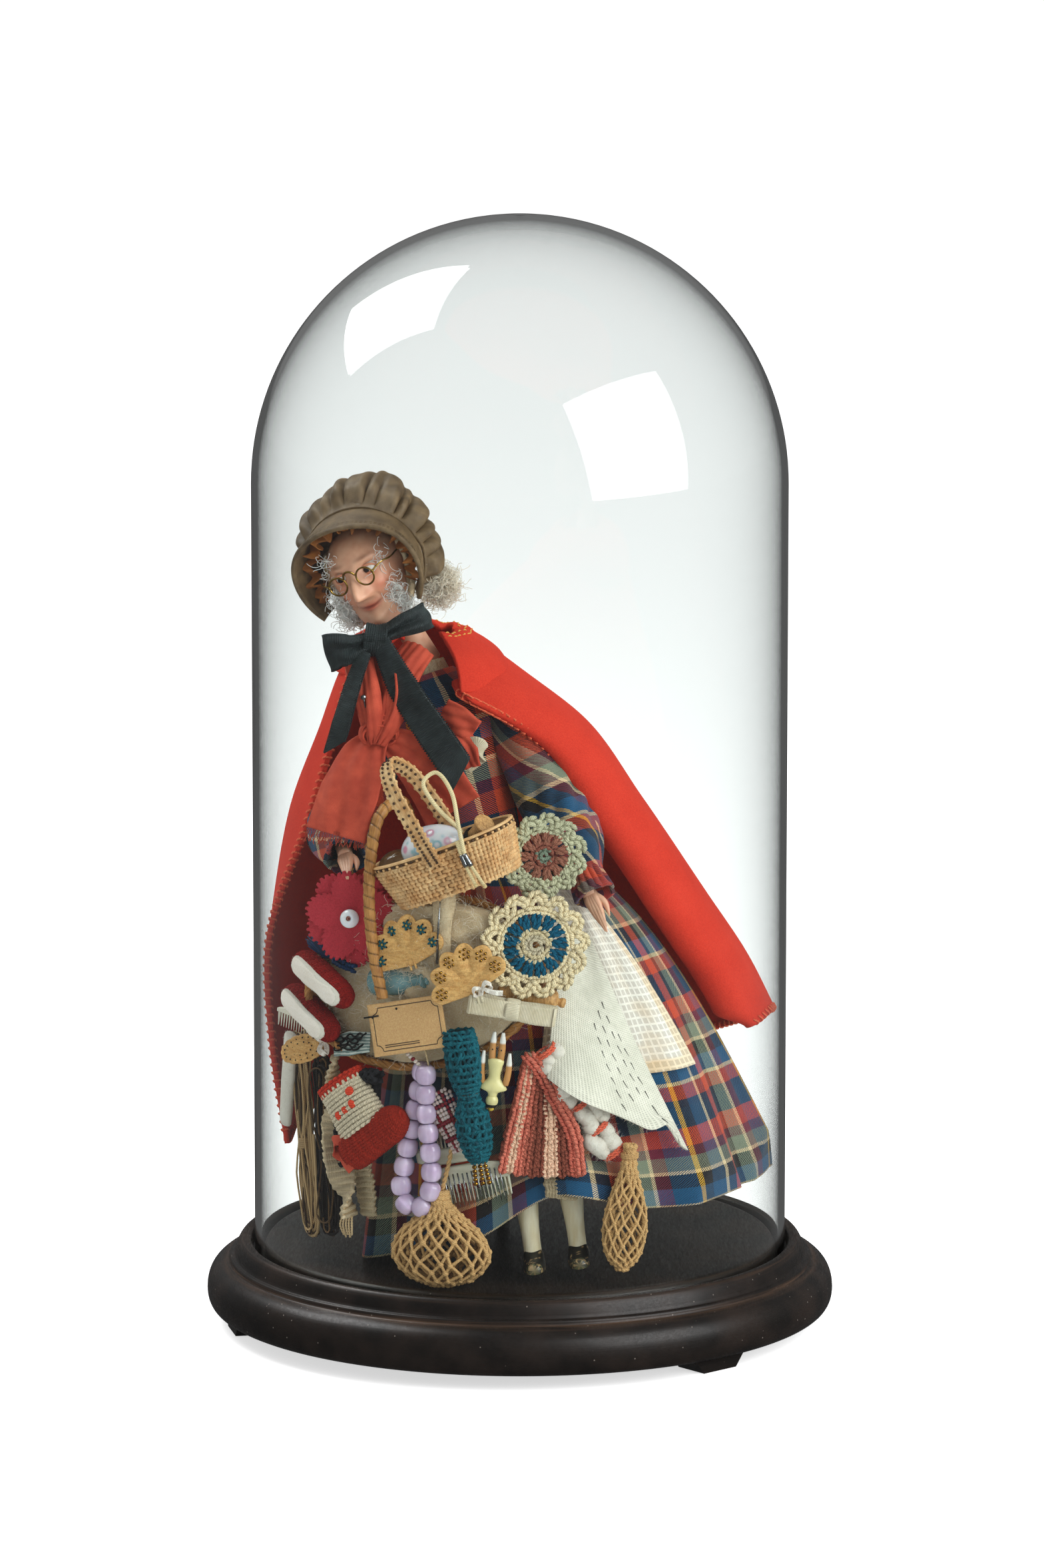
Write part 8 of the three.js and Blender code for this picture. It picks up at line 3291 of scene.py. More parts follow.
        grid_x, grid_z = np.meshgrid(x, z)
        sheet = Draft(place)
        sheet.patch(np.stack([grid_x, -warp(grid_x, grid_z), grid_z], -1))
        made = sheet.build("trade_card_pulp", CARD, slot="board", nodes=["trade_card"], thick=0.6)
        ink = Draft(place)
        half_x, half_z, cut = 14.6, 8.7, 2.6
        border = []
        for sx, sz in ((1, 1), (-1, 1), (-1, -1), (1, -1)):
            arc = np.linspace(0, math.pi / 2, 9) if sx * sz > 0 else np.linspace(math.pi / 2, 0, 9)
            border += [(sx * (half_x - cut * math.sin(a)), sz * (half_z - cut * math.cos(a))) for a in arc]
        lines = [border + border[:1], [(-11, -6.4), (4.5, -6.4)], [(-11, -7.2), (4.5, -7.2)]]
        for line in lines:
            flat = np.asarray(line)
            spots = np.stack([flat[:, 0], np.zeros(len(flat)), flat[:, 1]], -1)
            spots = evenly(spots, 0.6)
            spots[:, 1] = -warp(spots[:, 0], spots[:, 2]) - 0.3
            ink.tube(spots, 0.2, 6, flat=0.3, up=(0, 1, 0), tint=linear("55402f"))
        for px, pz in ((-14.5, 5.2), (-3.5, 7.4)):
            ink.ball((px, -1.0, pz), (0.5, 0.4, 0.5), 8, 6, 1)
        ink.tube([(-18.2, -1.2, 5.6), (-11.8, -1.1, 5.6)], 0.35, 8, 1)
        printed = ink.build("trade_card_rules", PAINT, IRON, slot="board")

    def tape(self) -> None:
        """Cotton tape folded to and fro and tied round its middle."""
        place = ware(-3, 148.7, 9.5, 9)
        draft = Draft(place)

        def waist(s: np.ndarray) -> np.ndarray:
            """The bundle drawn in at its band."""
            return 1 - 0.22 * bell(s, 0.5, 0.12)

        for k, y in enumerate(np.linspace(-3.2, 3.2, 8)):
            share = np.linspace(0, 1, 40)
            x = 17 * (2 * share - 1) * (1 - 0.02 * (k % 3))
            path = np.stack(
                [
                    x,
                    y * waist(share) * np.sqrt(np.clip(1 - 0.55 * (2 * share - 1) ** 6, 0.1, 1)),
                    0.25 * np.sin(6 * share + k),
                ],
                -1,
            )
            draft.strip(path, [7.4, 7.6, 6.8, 7.6, 7.4], (0, 0, 1), 40, 8)
        for side in (-1, 1):
            turn = np.linspace(-math.pi / 2, math.pi / 2, 14)
            for reach in (3.2, 1.9):
                draft.strip(
                    np.stack(
                        [side * (16.2 + reach * 0.35 * np.cos(turn)), reach * np.sin(turn), np.zeros(14)], -1
                    ),
                    [7.4],
                    (0, 0, 1),
                    18,
                    6,
                )
        turn = np.linspace(0, TAU, 30)
        draft.strip(
            np.stack([np.zeros(30), 3.6 * np.cos(turn), 4.1 * np.sin(turn)], -1),
            [5.5],
            (1, 0, 0),
            40,
            7,
            0.05,
        )
        draft.build("tape_bundle_folded", CREAM_TAPE, slot="yarn", nodes=["tape_bundle"], thick=0.45)

    def needle_roll(self) -> None:
        """A roll of white felt on the fleece with a long steel needle in it."""
        place = ware(-30, 181, 13.2, 2, -4)
        roll = Draft(place)
        roll.loft(
            [(-16, 1.6, 1.4), (-13, 3.0, 2.2), (-2, 3.6, 2.6), (9, 4.4, 2.8), (14, 3.4, 2.2), (16, 1.6, 1.2)],
            40,
            50,
            shape=lambda t,
            s: 1 + 0.1 * np.sin(3 * t + 9 * s),
        )
        roll.fuzz(1100, 4.2, 0.06, 12, droop=0.5)
        made = roll.build("felt_roll", FLEECE, slot="white_cloth")
        needle = Draft(place)
        needle.tube([(-0.6, -3.3, -15), (-0.8, -3.6, 0), (-0.7, -3.4, 12)], [0.55, 0.5, 0.4, 0.12], 10)
        needle.build("long_needle", STEEL, slot="iron")

    def hook_card(self) -> None:
        """A card of black hooks and eyes, printed with plain stripes."""
        place = ware(-67, 129, 9.4, -14, -18)
        x, z = np.meshgrid(np.linspace(-9.5, 9.5, 60), np.linspace(-5, 5, 40))
        stripe = np.where(np.sin(z * 4.2 + 0.2 * x) > 0.2, 1.0, 0.0)[..., None]
        tint = stripe * np.asarray(linear("dfe6de")[:3]) + (1 - stripe) * np.asarray(linear("7d9490")[:3])
        sheet = Draft(place)
        sheet.patch(np.stack([x, 0.02 * x * x - 0.5, z * (1 - 0.02 * np.abs(x))], -1), tint=tint)
        made = sheet.build("hook_card_striped", PAINT, slot="board", thick=0.5)
        wire = Draft(place)
        for k, (px, pz) in enumerate(
            (
                (-4.5, 2.2), (-2, 0.6), (1.2, 2.6), (3.4, 0.8), (5.6, 2.4), (0.2, -1.6), (-5.4, -1.4),
                (4.2, -2.0),
            )
        ):
            turn = np.linspace(0.3, TAU - 0.2, 18)
            lean = 0.4 * math.sin(k * 2.1)
            wire.tube(
                np.stack(
                    [
                        px + 1.9 * np.cos(turn),
                        -1.3 - 0.4 * np.sin(turn * 2),
                        pz + 1.0 * np.sin(turn) + lean * np.cos(turn),
                    ],
                    -1,
                ),
                0.38,
                7,
            )
            wire.tube(
                [(px + 1.8, -1.3, pz), (px + 3.6, -1.7, pz + lean), (px + 4.2, -1.4, pz + lean + 0.6)],
                0.38,
                7,
            )
        hooks = wire.build("hooks", IRON, slot="iron")

    def rolling_pin(self) -> None:
        """A turned wooden rolling pin at the tray's edge."""
        draft = Draft(ware(3, 153, 18, 14) @ frame_of((0, 0, 0), ("Y", 90)))
        draft.lathe(
            [
                (0.6, -15.5), (1.7, -15.2), (2.0, -14), (1.5, -12.4), (3.2, -11.8), (4.0, -10.6), (4.1, 10.6),
                (3.2, 11.8), (1.5, 12.4), (2.0, 14), (1.7, 15.2), (0.6, 15.5),
            ],
            36,
            smooth=80,
        )
        draft.build("rolling_pin", BIRCH, slot="wicker")

    def tassel(self) -> None:
        """A dark blue silk tassel behind the slippers."""
        chance = np.random.default_rng(15)
        head = ware(-70, 159.5, 11.5, 0)
        draft = Draft(head)
        plaited(draft, curve([(9, 0, 0), (2, -0.5, 1.0), (-6, 0, 2.2)], np.linspace(0, 1, 20)), 3.4, "1c3c66")
        for _ in range(90):
            sway = chance.normal(0, 1.5, 3)
            path = [
                (-6, 0, 2.2),
                (-11 + sway[0] * 0.3, sway[1] * 0.4 - 0.5, 4 + sway[2] * 0.7),
                (-17 + sway[0], sway[1] * 0.6 - 0.3, 7.5 + sway[2] * 1.5),
            ]
            draft.tube(
                curve(path, np.linspace(0, 1, 7)),
                0.28,
                4,
                tint=linear("1d3f6e" if chance.random() > 0.4 else "122c50"),
            )
        draft.build("blue_tassel", GLASSY_YARN, slot="coloured_yarn")


@dataclass
class HangingWares:
    """What hangs from the tray's edge over the skirt."""

    def build(self) -> None:
        """Makes each ware where its node is."""
        self.knitted_strip()
        self.bootee()
        self.necklace()
        self.miser_purse()
        self.peg_doll()
        self.ribbed_purse()
        self.skein()
        self.horn_combs()
        self.net_bags()
        self.sock()
        self.braid()
        self.bead_work()
        self.scraps()
        self.hank_ties()

    def knitted_strip(self) -> None:
        """A strip of garter stitch that twists as it hangs."""
        place = ware(-72, 90, 10, -8)
        path = [(2.4, 0, 32), (-1.2, -0.8, 12), (-0.4, -0.4, -10), (2.4, 0, -32)]

        def at(u: np.ndarray, v: np.ndarray) -> np.ndarray:
            """Points of the twisting strip."""
            share = np.ravel(v)
            spots = curve(path, share)
            wide = (
                np.interp(share, [0, 0.35, 0.7, 1], [6, 9, 11, 12])
                + 1.1 * np.sin(23 * share)
                + 0.5 * np.sin(61 * share)
            )
            lean = 1.3 * np.sin(math.pi * 2.3 * share + 0.3)
            side = np.stack([np.cos(lean), -np.sin(lean), np.zeros_like(lean)], -1)
            return spots + side * (wide * (np.ravel(u) - 0.5))[:, None]

        u, v = np.meshgrid(np.linspace(0, 1, 14), np.linspace(0, 1, 70))
        back = Draft(place)
        # The back sheet is a darker tan than the loops: painted shade behind the stitches.
        back.patch(at(u, v).reshape(70, 14, 3), tint=np.full((70, 14, 3), np.asarray(linear("d2b48a")[:3])))
        cloth = back.build("knitted_strip_back", KNIT, slot="yarn", nodes=["knitted_strip"], thick=1.2)
        front = Draft(place)
        knitted(front, at, 26, 6, 1.9, even_colour("f4dcb6"))
        for k in range(5):
            drop = [
                (1 + (k - 2) * 1.4, 0, -32), (0.4 + (k - 2) * 1.8, -0.6, -36),
                ((k - 2) * 1.2, 0.2, -40 - k % 2),
            ]
            plied(front, curve(drop, np.linspace(0, 1, 10)), 0.9, "dcc096")
        stitches = front.build("knitted_strip_loops", KNIT, slot="yarn")

    def bootee(self) -> None:
        """A knitted bootee: red foot and cuff, cream leg with three red spots, a red ribbon at the heel."""
        place = ware(-62, 98, 7.6, -36)
        foot = np.array(
            [
                (-14, 2, 3.5), (-12, 5, 6.2), (-4, 5.4, 6.6), (6, 5.2, 6.4), (14, 5.0, 6.0), (18, 3.6, 4.2),
                (19.6, 1.2, 2.0),
            ]
        )
        leg = np.array([(-2, 11.4, 5.2), (6, 11.0, 5.0), (14, 10.6, 4.9), (20, 10.8, 5.0)])
        red, cream = "cf3a26", "ecdcc0"
        draft = Draft(place)
        # The foot's core is a darker red: painted shade between the stitches.
        draft.loft(
            np.c_[foot * [1, 0.9, 0.9], np.zeros(7), np.full(7, -7.0)],
            32,
            40,
            "X",
            paint=lambda t,
            s: np.asarray(linear("8c1f14")[:3]),
        )
        knitted(draft, around_rows(foot[:, [0, 2, 1]], "X", (0, 0, -7)), 24, 18, 1.75, even_colour(red))
        core = Draft(place)
        # The leg's core is a darker cream: painted shade between the stitches.
        draft.loft(
            np.c_[leg[:, 0], leg[:, 1] * 0.92, leg[:, 2] * 0.9],
            32,
            30,
            paint=lambda t,
            s: np.asarray(linear("b89c78")[:3]),
        )

        def cuff(u: np.ndarray, v: float) -> np.ndarray:
            """Cream knit with a red cuff above it."""
            return np.broadcast_to(np.asarray(linear(red if v > 0.84 else cream)[:3]), (len(u), 3))

        knitted(draft, around_rows(leg, "Z"), 13, 24, 1.8, cuff)
        for k in range(3):
            draft.ball((-4.5 + 4.4 * k, -5.4, 7.0 + 0.4 * k), (1.6, 1.0, 1.9), 14, 10, 0, linear("d8452c"))
        draft.ball((6.4, -5.4, 12.6), (2.2, 1.0, 1.7), 16, 10, 0, linear("d8452c"))
        draft.build("bootee_knit", WOOL, slot="yarn", nodes=["bootee"])
        core.strip(
            [(-10, -3.5, -2), (-13.5, -4.6, 0), (-15.5, -3.6, -4), (-13, -3.6, -7), (-10.5, -3.4, -3)],
            [4, 5, 5, 4],
            (0, 0.4, 1),
            40,
            8,
        )
        core.strip([(-11, -4, -4), (-13.5, -4.4, -9), (-13, -4.2, -14)], [3.4, 3.8, 3.6], (1, 0, -0.3), 24, 8)
        core.build("bootee_ribbon", CORAL, slot="coral_cloth", thick=0.3)

    def necklace(self) -> None:
        """Lilac satin-glass beads, barrel shaped, with painted highlight lines and painted shade at their
        ends, in a doubled string.
        """
        place = ware(-40, 94, 9, 4)
        draft = Draft(place)
        string = curve([
            (1.5, 0, 27), (3, 0, 10), (6.5, 0, -12), (5.5, 0, -24), (0, 0, -28.5), (-5.5, 0, -24),
            (-6, 1.5, -12), (-3.5, 3, 10), (-2, 4, 27),
        ], np.linspace(0, 1, 200))
        spots = [tuple(spot) for spot in evenly(string, 7.9)]
        for i, spot in enumerate(spots):
            ahead = unit(np.subtract(spots[min(i + 1, len(spots) - 1)], spots[max(i - 1, 0)]))
            lean = math.degrees(math.atan2(ahead[0], ahead[2]))

            def band(t: np.ndarray, s: np.ndarray, k: int = i) -> np.ndarray:
                """Painted highlight in milky lines down the bead, and painted shade at its ends."""
                # Painted highlight: bright milky lines down the bead.
                painted_highlight_streaks = 0.28 * bell(np.sin(t + k), 0.5, 0.22) + 0.12 * bell(np.sin(t * 2 + 1 + k), 0.3, 0.2)
                # Painted shade at both ends of the bead, where it meets its neighbours.
                ends = 0.16 * bell(s, 0.0, 0.12) + 0.16 * bell(s, 1.0, 0.12)
                tones = [shade + painted_highlight_streaks - ends + 0 * t for shade in (0.86, 0.8, 0.86)]
                return np.stack(np.broadcast_arrays(*tones), -1)

            bead = Draft(place @ frame_of(spot, ("Y", lean)))
            bead.loft(
                [
                    (-3.9, 1.3, 1.3), (-3.6, 2.6, 2.6), (-2.4, 3.7, 3.7), (0, 4.15, 4.15), (2.4, 3.7, 3.7),
                    (3.6, 2.6, 2.6), (3.9, 1.3, 1.3),
                ],
                40,
                30,
                paint=band,
            )
            turned = moved(place.inverted() @ bead.place, np.concatenate(bead.points))
            bead.points = [turned]
            for held, got in (
                (draft.points, bead.points), (draft.tints, bead.tints), (draft.counts, bead.counts),
                (draft.weave, bead.weave), (draft.skins, bead.skins),
            ):
                held.extend(got)
            draft.corners.extend(corner + draft.total for corner in bead.corners)
            draft.total += bead.total
        draft.build("bead_necklace_satin", SATIN_GLASS, slot="satin_glass", nodes=["bead_necklace"])
        thread = Draft(place)
        plied(
            thread, curve([(3.4, 0, 27), (1.5, 0.5, 33), (-1, 1, 40)], np.linspace(0, 1, 10)), 0.8, "cdb48c"
        )
        thread.build("necklace_string", STRING, slot="cord")

    def miser_purse(self) -> None:
        """A crocheted silk purse in teal, tied round its slit, with gilt bead tassels."""
        place = ware(-20, 113, 8.5, -9)
        rows = np.array(
            [
                (-26, 2.6, 2.4), (-22, 4.8, 4.2), (-15, 6.2, 5.2), (-6, 5.6, 4.8), (1, 3.4, 3.2),
                (5, 4.8, 4.0), (12, 6.0, 4.8), (21, 6.2, 4.8), (27, 5.4, 3.6),
            ]
        )
        draft = Draft(place)
        # A near-black teal core inside the crochet: painted shade between the stitches.
        draft.loft(rows * [1, 0.86, 0.86], 28, 50, paint=lambda t, s: np.asarray(linear("07323c")[:3]))
        at = around_rows(rows)
        chance = np.random.default_rng(21)
        for k in range(16):
            v = np.linspace(0, 1, 90)
            u = k / 16 + 0.02 * np.sin(70 * v + k) + 0.06 * np.sin(5 * v + k * 0.7)
            path = at(u % 1.0, v)
            path = path + unit(path * [1, 1, 0]) * (0.5 * np.sin(95 * v + 2 * k))[:, None]
            draft.tube(path, 0.8, 5, tint=linear("0c5f6e" if chance.random() > 0.35 else "084653"))
        knitted(draft, at, 22, 11, 1.5, even_colour("0d6674"))
        plied(
            draft,
            np.stack(
                [
                    3.9 * np.cos(np.linspace(0, TAU * 3, 60)),
                    3.7 * np.sin(np.linspace(0, TAU * 3, 60)),
                    np.linspace(0.2, 2.2, 60),
                ],
                -1,
            ),
            0.8,
            "4a3a2c",
        )
        draft.build("miser_purse_crochet", GLASSY_YARN, slot="coloured_yarn", nodes=["miser_purse"])
        gold = Draft(place)
        for lean in (-2.0, 0.2, 2.2):
            for k in range(6):
                gold.ball((lean * (1 + 0.06 * k), -0.6, -26.4 - 1.7 * k), (1.05, 1.0, 0.85), 8, 6)
        gold.build("miser_purse_tassels", GILT, slot="brass_wire")

    def peg_doll(self) -> None:
        """A tiny jointed doll that hangs head down, its limbs dipped in white."""
        place = ware(-9.7, 124, 10, 6)
        wood, dip, cream = linear("c98f52"), linear("f2efe8"), linear("eadf9f")
        draft = Draft(place)
        draft.loft(
            [
                (-10.4, 1.7, 1.6), (-9, 2.2, 2.0), (-7.4, 5.4, 2.6), (-6, 4.9, 2.7), (-3, 2.5, 2.2),
                (1, 2.7, 2.3), (4, 3.2, 2.5), (5, 2.4, 2.0),
            ],
            32,
            40,
            paint=lambda t,
            s: np.asarray((cream if s.mean() < 2 else cream)[:3]),
        )
        draft.ball((0, 0, -12.4), (2.5, 2.4, 2.7), 20, 14, 0, cream)
        draft.ball((0, 0, -14.0), (2.2, 2.1, 1.4), 16, 10, 0, linear("2a2520"))
        draft.ball((0, -0.2, -15.6), (1.2, 1.1, 1.0), 12, 8, 0, linear("d9b23c"))
        for side in (-1, 1):
            for path, radius in (
                ([(side * 1.6, 0, 3.6), (side * 1.9, 0, 9), (side * 1.7, 0, 15.5)], 1.35),
                ([(side * 4.6, 0, -5.5), (side * 5.3, -0.3, 0), (side * 5.1, 0, 7.5)], 1.25),
            ):
                spots = curve(path, np.linspace(0, 1, 18))
                shade = np.where(
                    (np.linspace(0, 1, 18) > 0.68)[:, None], np.asarray(dip[:3]), np.asarray(wood[:3])
                )
                draft.tube(
                    spots, [radius, radius * 1.05, radius, radius * 0.9, radius * 0.45], 12, tint=shade
                )
            draft.ball((side * 1.75, -1.3, 8.6), (0.35, 0.3, 0.35), 8, 6, 0, linear("3a2a1e"))
        draft.build("peg_doll_painted", PAINT, slot="doll_wood", nodes=["peg_doll"])

    def ribbed_purse(self) -> None:
        """A crocheted purse in upright ribs of coral, cream and brown, with a coral edge turned over."""
        place = ware(9, 103, 16, 4)
        coral, cream, brown = "dd7a66", "f0c3a6", "8c4a3a"
        draft = Draft(place)
        ribs = [coral, cream, coral, "b4604e", brown, brown, cream, cream, brown, "9a5242", coral]
        count = len(ribs)
        for layer, y in ((0, -2.2), (1, 2.0)):
            for k, colour in enumerate(ribs):
                share = (k + 0.5) / count
                top = np.array([lerp(-7.5, 5.5, share), y * 0.6, 26.5 - 2 * share])
                low_x = lerp(-16.8, 16.8, share)
                low = np.array([low_x, y, -22.4 - 1.6 * math.cos(low_x / 11) + 0.7 * (k % 2)])
                middle = lerp(top, low, 0.55) + [0, y * 0.4, 0]
                path = curve([top, middle, low], np.linspace(0, 1, 30))
                width = 3.3 if layer == 0 else 3.6
                plaited(draft, path, width, colour)
        flap = curve(
            [(-7.5, -3.6, 27), (-1, -4.8, 20), (6, -5.0, 8), (13, -4.6, -4), (16.6, -3.2, -22)],
            np.linspace(0, 1, 40),
        )
        plaited(draft, flap, 3.6, coral)
        plaited(draft, flap - [2.6, -0.6, 0.5], 3.0, "d06a58")
        draft.build("ribbed_purse_crochet", WOOL, slot="coloured_yarn", nodes=["ribbed_purse"])

    def skein(self) -> None:
        """Puffs of white wool between ties of coral yarn."""
        place = ware(22.5, 110, 13.6, -33)
        draft = Draft(place)
        chance = np.random.default_rng(12)
        for k, z in enumerate((-20, -8, 5, 18)):
            for side in (-1, 1):
                for lump in range(3):
                    jog = chance.normal(0, 0.8, 3)
                    middle = (
                        1.6 * (k % 2) + side * 2.6 + jog[0],
                        0.5 * side + 0.5 * jog[1],
                        z + 3.4 * (lump - 1) + jog[2],
                    )
                    size = chance.uniform(0.86, 1.1, 3) * [3.5, 4.0, 4.2]
                    draft.ball(middle, tuple(size), 20, 14)
        draft.fuzz(2600, 3.4, 0.055, 18)
        puffs = draft.build("wool_skein_puffs", WHITE_FELT, slot="yarn", nodes=["wool_skein"])
        tie = Draft(place)
        turn = np.linspace(0, TAU * 2, 40)
        for z in (-26, -14, -1.5, 11.5, 24.5):
            plied(
                tie,
                np.stack(
                    [0.8 + 4.4 * np.cos(turn), 3.8 * np.sin(turn), z + 1.2 * np.linspace(-1, 1, 40)], -1
                ),
                1.4,
                "e06a50",
            )
        tie.build("wool_skein_ties", WOOL, slot="coloured_yarn")

    def horn_combs(self) -> None:
        """Two horn combs, and steel pins in a row between them."""
        front = Draft(ware(-20, 77, 15.5, -12))
        TrayWares.comb(front, 34, 15, 7.5, 22, 1.9, 1.6)
        front.build("horn_comb_cut", HORN, slot="horn", nodes=["horn_comb"])
        second = Draft(ware(-27, 90, 16.5, 168))
        TrayWares.comb(second, 30, 12, 6.5, 20, 1.6, 1.4)
        second.build("horn_comb_second", HORN, slot="horn")
        pins = Draft(ware(-20, 77, 14.4, -12))
        for k in range(15):
            x = -13 + 1.9 * k
            lean = 0.3 * math.sin(k * 1.7)
            pins.tube(
                [(x, -1.6, 4.6 + lean), (x + 0.2, -1.9, -2), (x + 0.4, -1.6, -9 + 2 * lean)],
                [0.32, 0.3, 0.12],
                7,
            )
        pins.build("pin_row", STEEL, slot="iron")

    def net_bags(self) -> None:
        """Bags of knotted string: an onion-shaped one in front, a slim one at the right."""
        onion = [
            (-19, 5, 4), (-16, 14, 7.4), (-8, 20, 9), (1, 17, 8), (8, 9, 6), (14, 3.4, 3.2), (18, 2.4, 2.4)
        ]
        slim = [(-26, 2, 2), (-20, 7, 4.6), (-8, 9, 5.4), (4, 6.5, 4.6), (14, 3, 3), (24, 2, 2)]
        for node, place, rows, around, levels, gauge, seed in (
            ("net_bag_front", ware(-31, 55, 11.6, 0), onion, 17, 13, 1.3, 31),
            ("net_bag_right", ware(42, 68, 7, 4), slim, 10, 14, 1.15, 33),
        ):
            draft = Draft(place)
            at = around_rows(rows)
            netted(draft, at, around, levels, gauge, "cfa56f", seed)
            # A second, darker net inside the first: painted shade in the depth of the bag.
            inner = np.asarray(rows, float) * [0.96, 0.9, 0.86]
            netted(draft, around_rows(inner), around - 3, levels - 2, gauge, "a98455", seed + 1)
            neck = rows[-1][0]
            turn = np.linspace(0, TAU * 3, 50)
            plied(
                draft,
                np.stack([3.2 * np.cos(turn), 3.2 * np.sin(turn), np.linspace(neck - 5, neck - 3, 50)], -1),
                0.9,
                "cfa56f",
            )
            if node == "net_bag_front":
                plied(
                    draft,
                    curve([(0, 0, 12), (0, 0, 16), (4, 0, 34), (8, 1, 60)], np.linspace(0, 1, 30)),
                    1.9,
                    "cfa56f",
                )
            draft.build(f"{node}_string", STRING, slot="cord", nodes=[node])

    def sock(self) -> None:
        """A white felt sock at the far left."""
        place = ware(-92.5, 106, 7.2, 12)
        draft = Draft(place)
        draft.loft(
            [
                (-19, 2.6, 1.4), (-17.5, 4.4, 2.0), (-4, 5.0, 2.2), (10, 4.6, 2.2), (17, 5.2, 2.4),
                (20, 4.2, 2.0), (21, 1.8, 1.0),
            ],
            32,
            50,
            shape=lambda t,
            s: 1 + 0.05 * np.sin(2 * t + 14 * s),
        )
        draft.fuzz(240, 1.0, 0.045, 8)
        made = draft.build("felt_sock", WHITE_FELT, slot="white_cloth")

    def braid(self) -> None:
        """A black braided cord, bent over the tray's edge behind the bootee."""
        place = ware(-66, 108, 11.5, 0)
        draft = Draft(place)
        path = curve(
            [(17, -2, 10), (8, -2, 9), (-1, -1, 3), (-6, 0, -8), (-7, 0, -20), (-5, 0, -30)],
            np.linspace(0, 1, 80),
        )
        spots = evenly(path, 0.8)
        run, side = frames(spots)
        lift = np.cross(run, side)
        for k in range(8):
            way = 1 if k % 2 else -1
            turn = (way * 0.42 * np.arange(len(spots)) + TAU * k / 8)[:, None]
            ripple = 2.3 + 0.3 * np.cos(np.arange(len(spots)) * 1.7 + k)[:, None]
            draft.tube(
                spots + ripple * (np.cos(turn) * side + np.sin(turn) * lift), 0.85, 6, tint=linear("26262a")
            )
        for k, tail in enumerate(
            ([(14, 0, 9), (12, 0.5, -4), (8, 1, -18)], [(11, 1, 9), (6, 1.5, -6), (4, 1.5, -26)])
        ):
            plied(draft, curve(tail, np.linspace(0, 1, 24)), 3.4, "232226", 2.2, 3)
        draft.build("black_braid", STRING, slot="cord")

    def bead_work(self) -> None:
        """A string of white and dark red seed beads and a striped beadwork purse."""
        place = ware(-33, 112, 10.5, -30)
        draft = Draft(place)
        chance = np.random.default_rng(41)
        path = evenly(curve([(-2, 0, 20), (1, -1, 12), (0, -1, 2)], np.linspace(0, 1, 30)), 1.55)
        for k, spot in enumerate(path):
            shade = linear("8a2430") if k % 4 == 2 else linear("efe6e2")
            draft.ball(tuple(spot), (0.95, 0.95, 0.8), 10, 7, 0, shade)
        for row in range(15):
            for k in range(9):
                width = 6.4 - 0.18 * row
                x = lerp(-width, width, k / 8) * (0.8 if row == 0 else 1)
                stripe = row % 4 == 3 or k in (2, 6)
                shade = linear("7c2230") if stripe else linear("cdbfc0")
                sag = -1.6 + 0.05 * x * x
                draft.ball(
                    (x + chance.normal(0, 0.08), sag, 1.0 - 1.7 * row), (0.86, 0.8, 0.86), 9, 6, 0, shade
                )
        draft.build("seed_bead_work", SEED_GLASS, slot="satin_glass")

    def scraps(self) -> None:
        """Small knitted pieces that hang by the hem."""
        for name, place, tall, wide in (
            ("knit_scrap_right", ware(17, 78, 17.5, 6), 15, 12),
            ("knit_scrap_left", ware(-61, 70, 15, -12), 22, 11),
        ):

            def at(u: np.ndarray, v: np.ndarray, w: float = wide, t: float = tall) -> np.ndarray:
                """The scrap's surface, bulging at its middle and wavy at its sides."""
                across, down = np.ravel(u), np.ravel(v)
                swell = 0.62 + 0.5 * np.sin(2.6 * down) + 0.07 * np.sin(21 * down)
                bow = 1.8 * np.sin(3 * across + 2 * down) - 0.6
                return np.stack([(across - 0.5) * w * swell, bow, t * (0.5 - down)], -1)

            u, v = np.meshgrid(np.linspace(0, 1, 10), np.linspace(0, 1, 12))
            back = Draft(place)
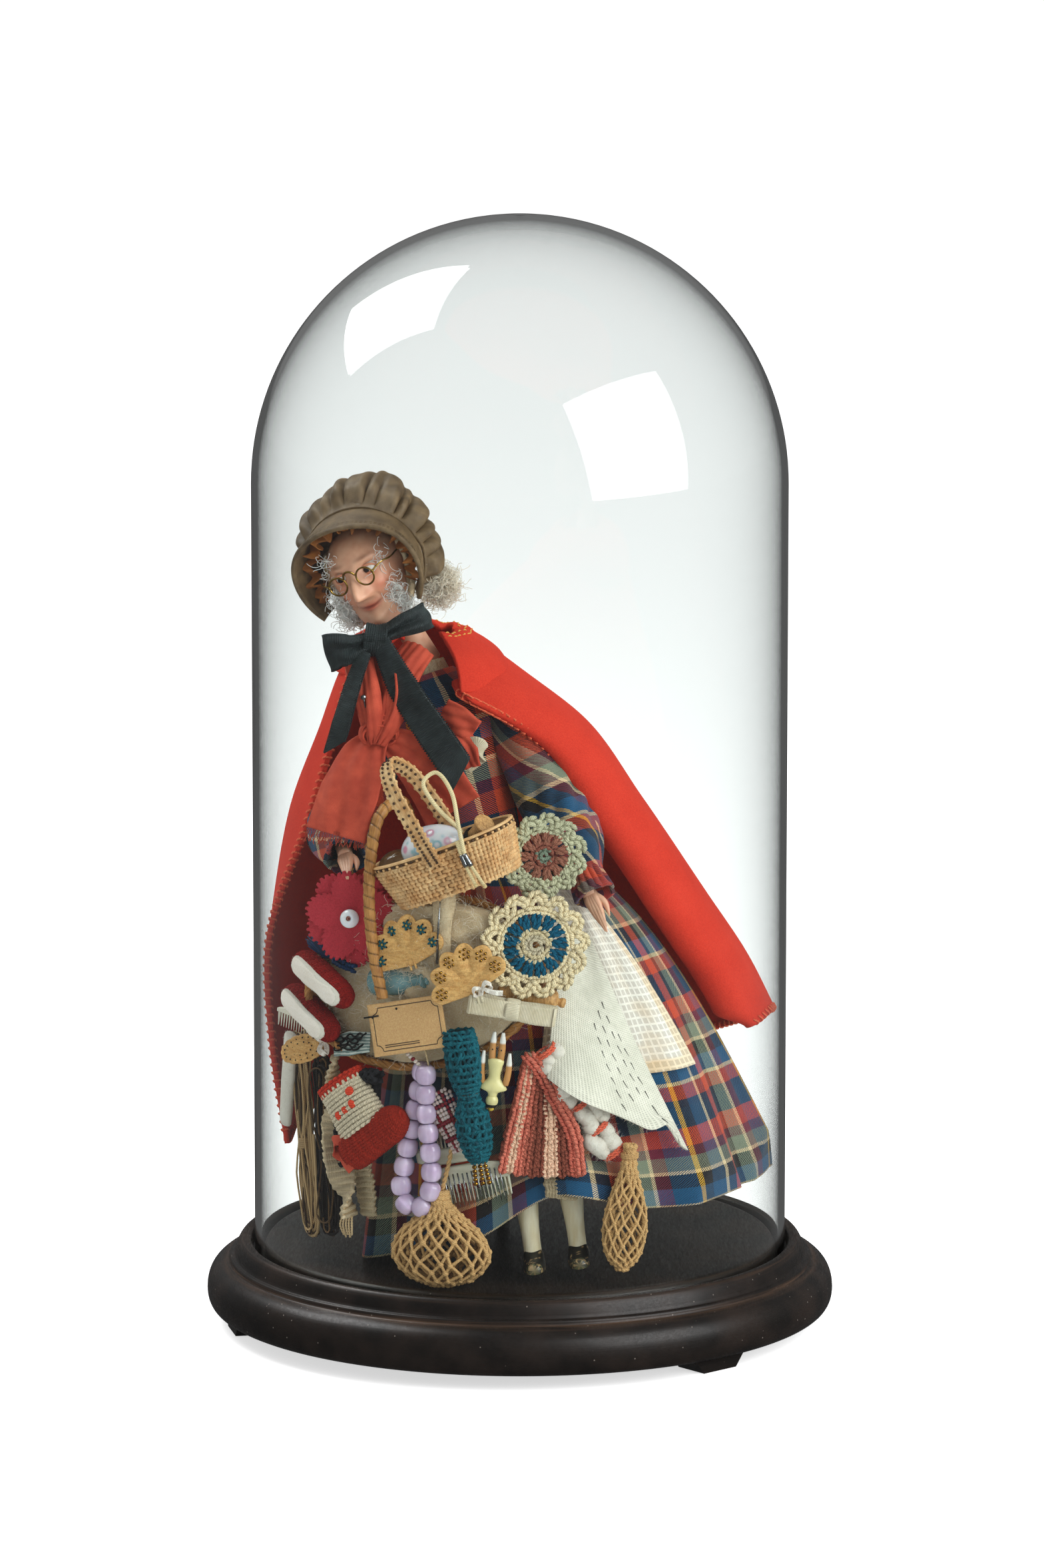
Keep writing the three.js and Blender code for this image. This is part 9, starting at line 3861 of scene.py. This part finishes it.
            # The back sheet is a darker tan than the loops: painted shade behind the stitches.
            back.patch(
                at(u, v).reshape(12, 10, 3), tint=np.full((12, 10, 3), np.asarray(linear("b89a70")[:3]))
            )
            cloth = back.build(f"{name}_back", KNIT, slot="yarn", thick=1.0)
            loops = Draft(place)
            knitted(loops, at, 10, 5, 1.8, even_colour("f0d8b0"))
            knit = loops.build(f"{name}_loops", KNIT, slot="yarn")

    def hank_ties(self) -> None:
        """Loose strands laid beside each bootlace hank and the wraps that hold them."""
        for name, place, tall, colour, other in (
            ("brown", ware(-85.5, 86, 10.8, -9), 84, "b3946b", "4a3626"),
            ("black", ware(-77, 84, 12.3, -4), 74, "2a2422", "6b5238"),
        ):
            draft = Draft(place)
            chance = np.random.default_rng(len(name) + int(tall))
            for k in range(13):
                half, top = 1.4 + 0.45 * k, tall / 2 - 0.6 - 0.5 * k + chance.normal(0, 1.2)
                turn = np.linspace(0, TAU, 90)
                rise = (top - half) * np.clip(2.5 * np.sin(turn), -1, 1) + half * np.sin(turn)
                pinch = 1 - 0.66 * bell(rise, -4.0, 9.0) + chance.normal(0, 0.1)
                sway = (
                    chance.normal(0, 0.8)
                    + 1.5 * np.sin(rise / 12 + 1.7 * k)
                    + 0.4 * np.sin(rise / 4.1 + 2 * k)
                )
                y = 1.1 * (-1) ** k + chance.normal(0, 0.7) + 0.5 * np.sin(rise / 8 + k)
                shade = np.asarray(linear(colour if k % 3 else other)) * chance.uniform(0.6, 1.3)
                draft.tube(
                    np.stack([half * np.cos(turn) * pinch + sway, y * np.ones(90), rise], -1),
                    0.4,
                    6,
                    tint=shade,
                )
            turn = np.linspace(0, TAU * 5, 90)
            draft.tube(
                np.stack([2.9 * np.cos(turn), 2.5 * np.sin(turn), -6 + 4 * np.linspace(0, 1, 90)], -1),
                0.6,
                6,
                tint=np.asarray(linear(colour)) * 0.85,
            )
            draft.build(f"hank_strands_{name}", STRING, slot="cord")


def main() -> None:
    """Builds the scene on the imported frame, from the camera and the cords to the smallest ware."""
    logging.basicConfig(level=logging.INFO, format="%(name)s: %(message)s")
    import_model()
    for part in (
        Studio(), Laces(), Base(), Doll(), Dress(), Cape(), Bonnet(), Neckwear(), Tray(), EggBasket(),
        TrayWares(), HangingWares(),
    ):
        part.build()
        LOG.info("%s built", type(part).__name__)


if __name__ == "__main__":
    main()
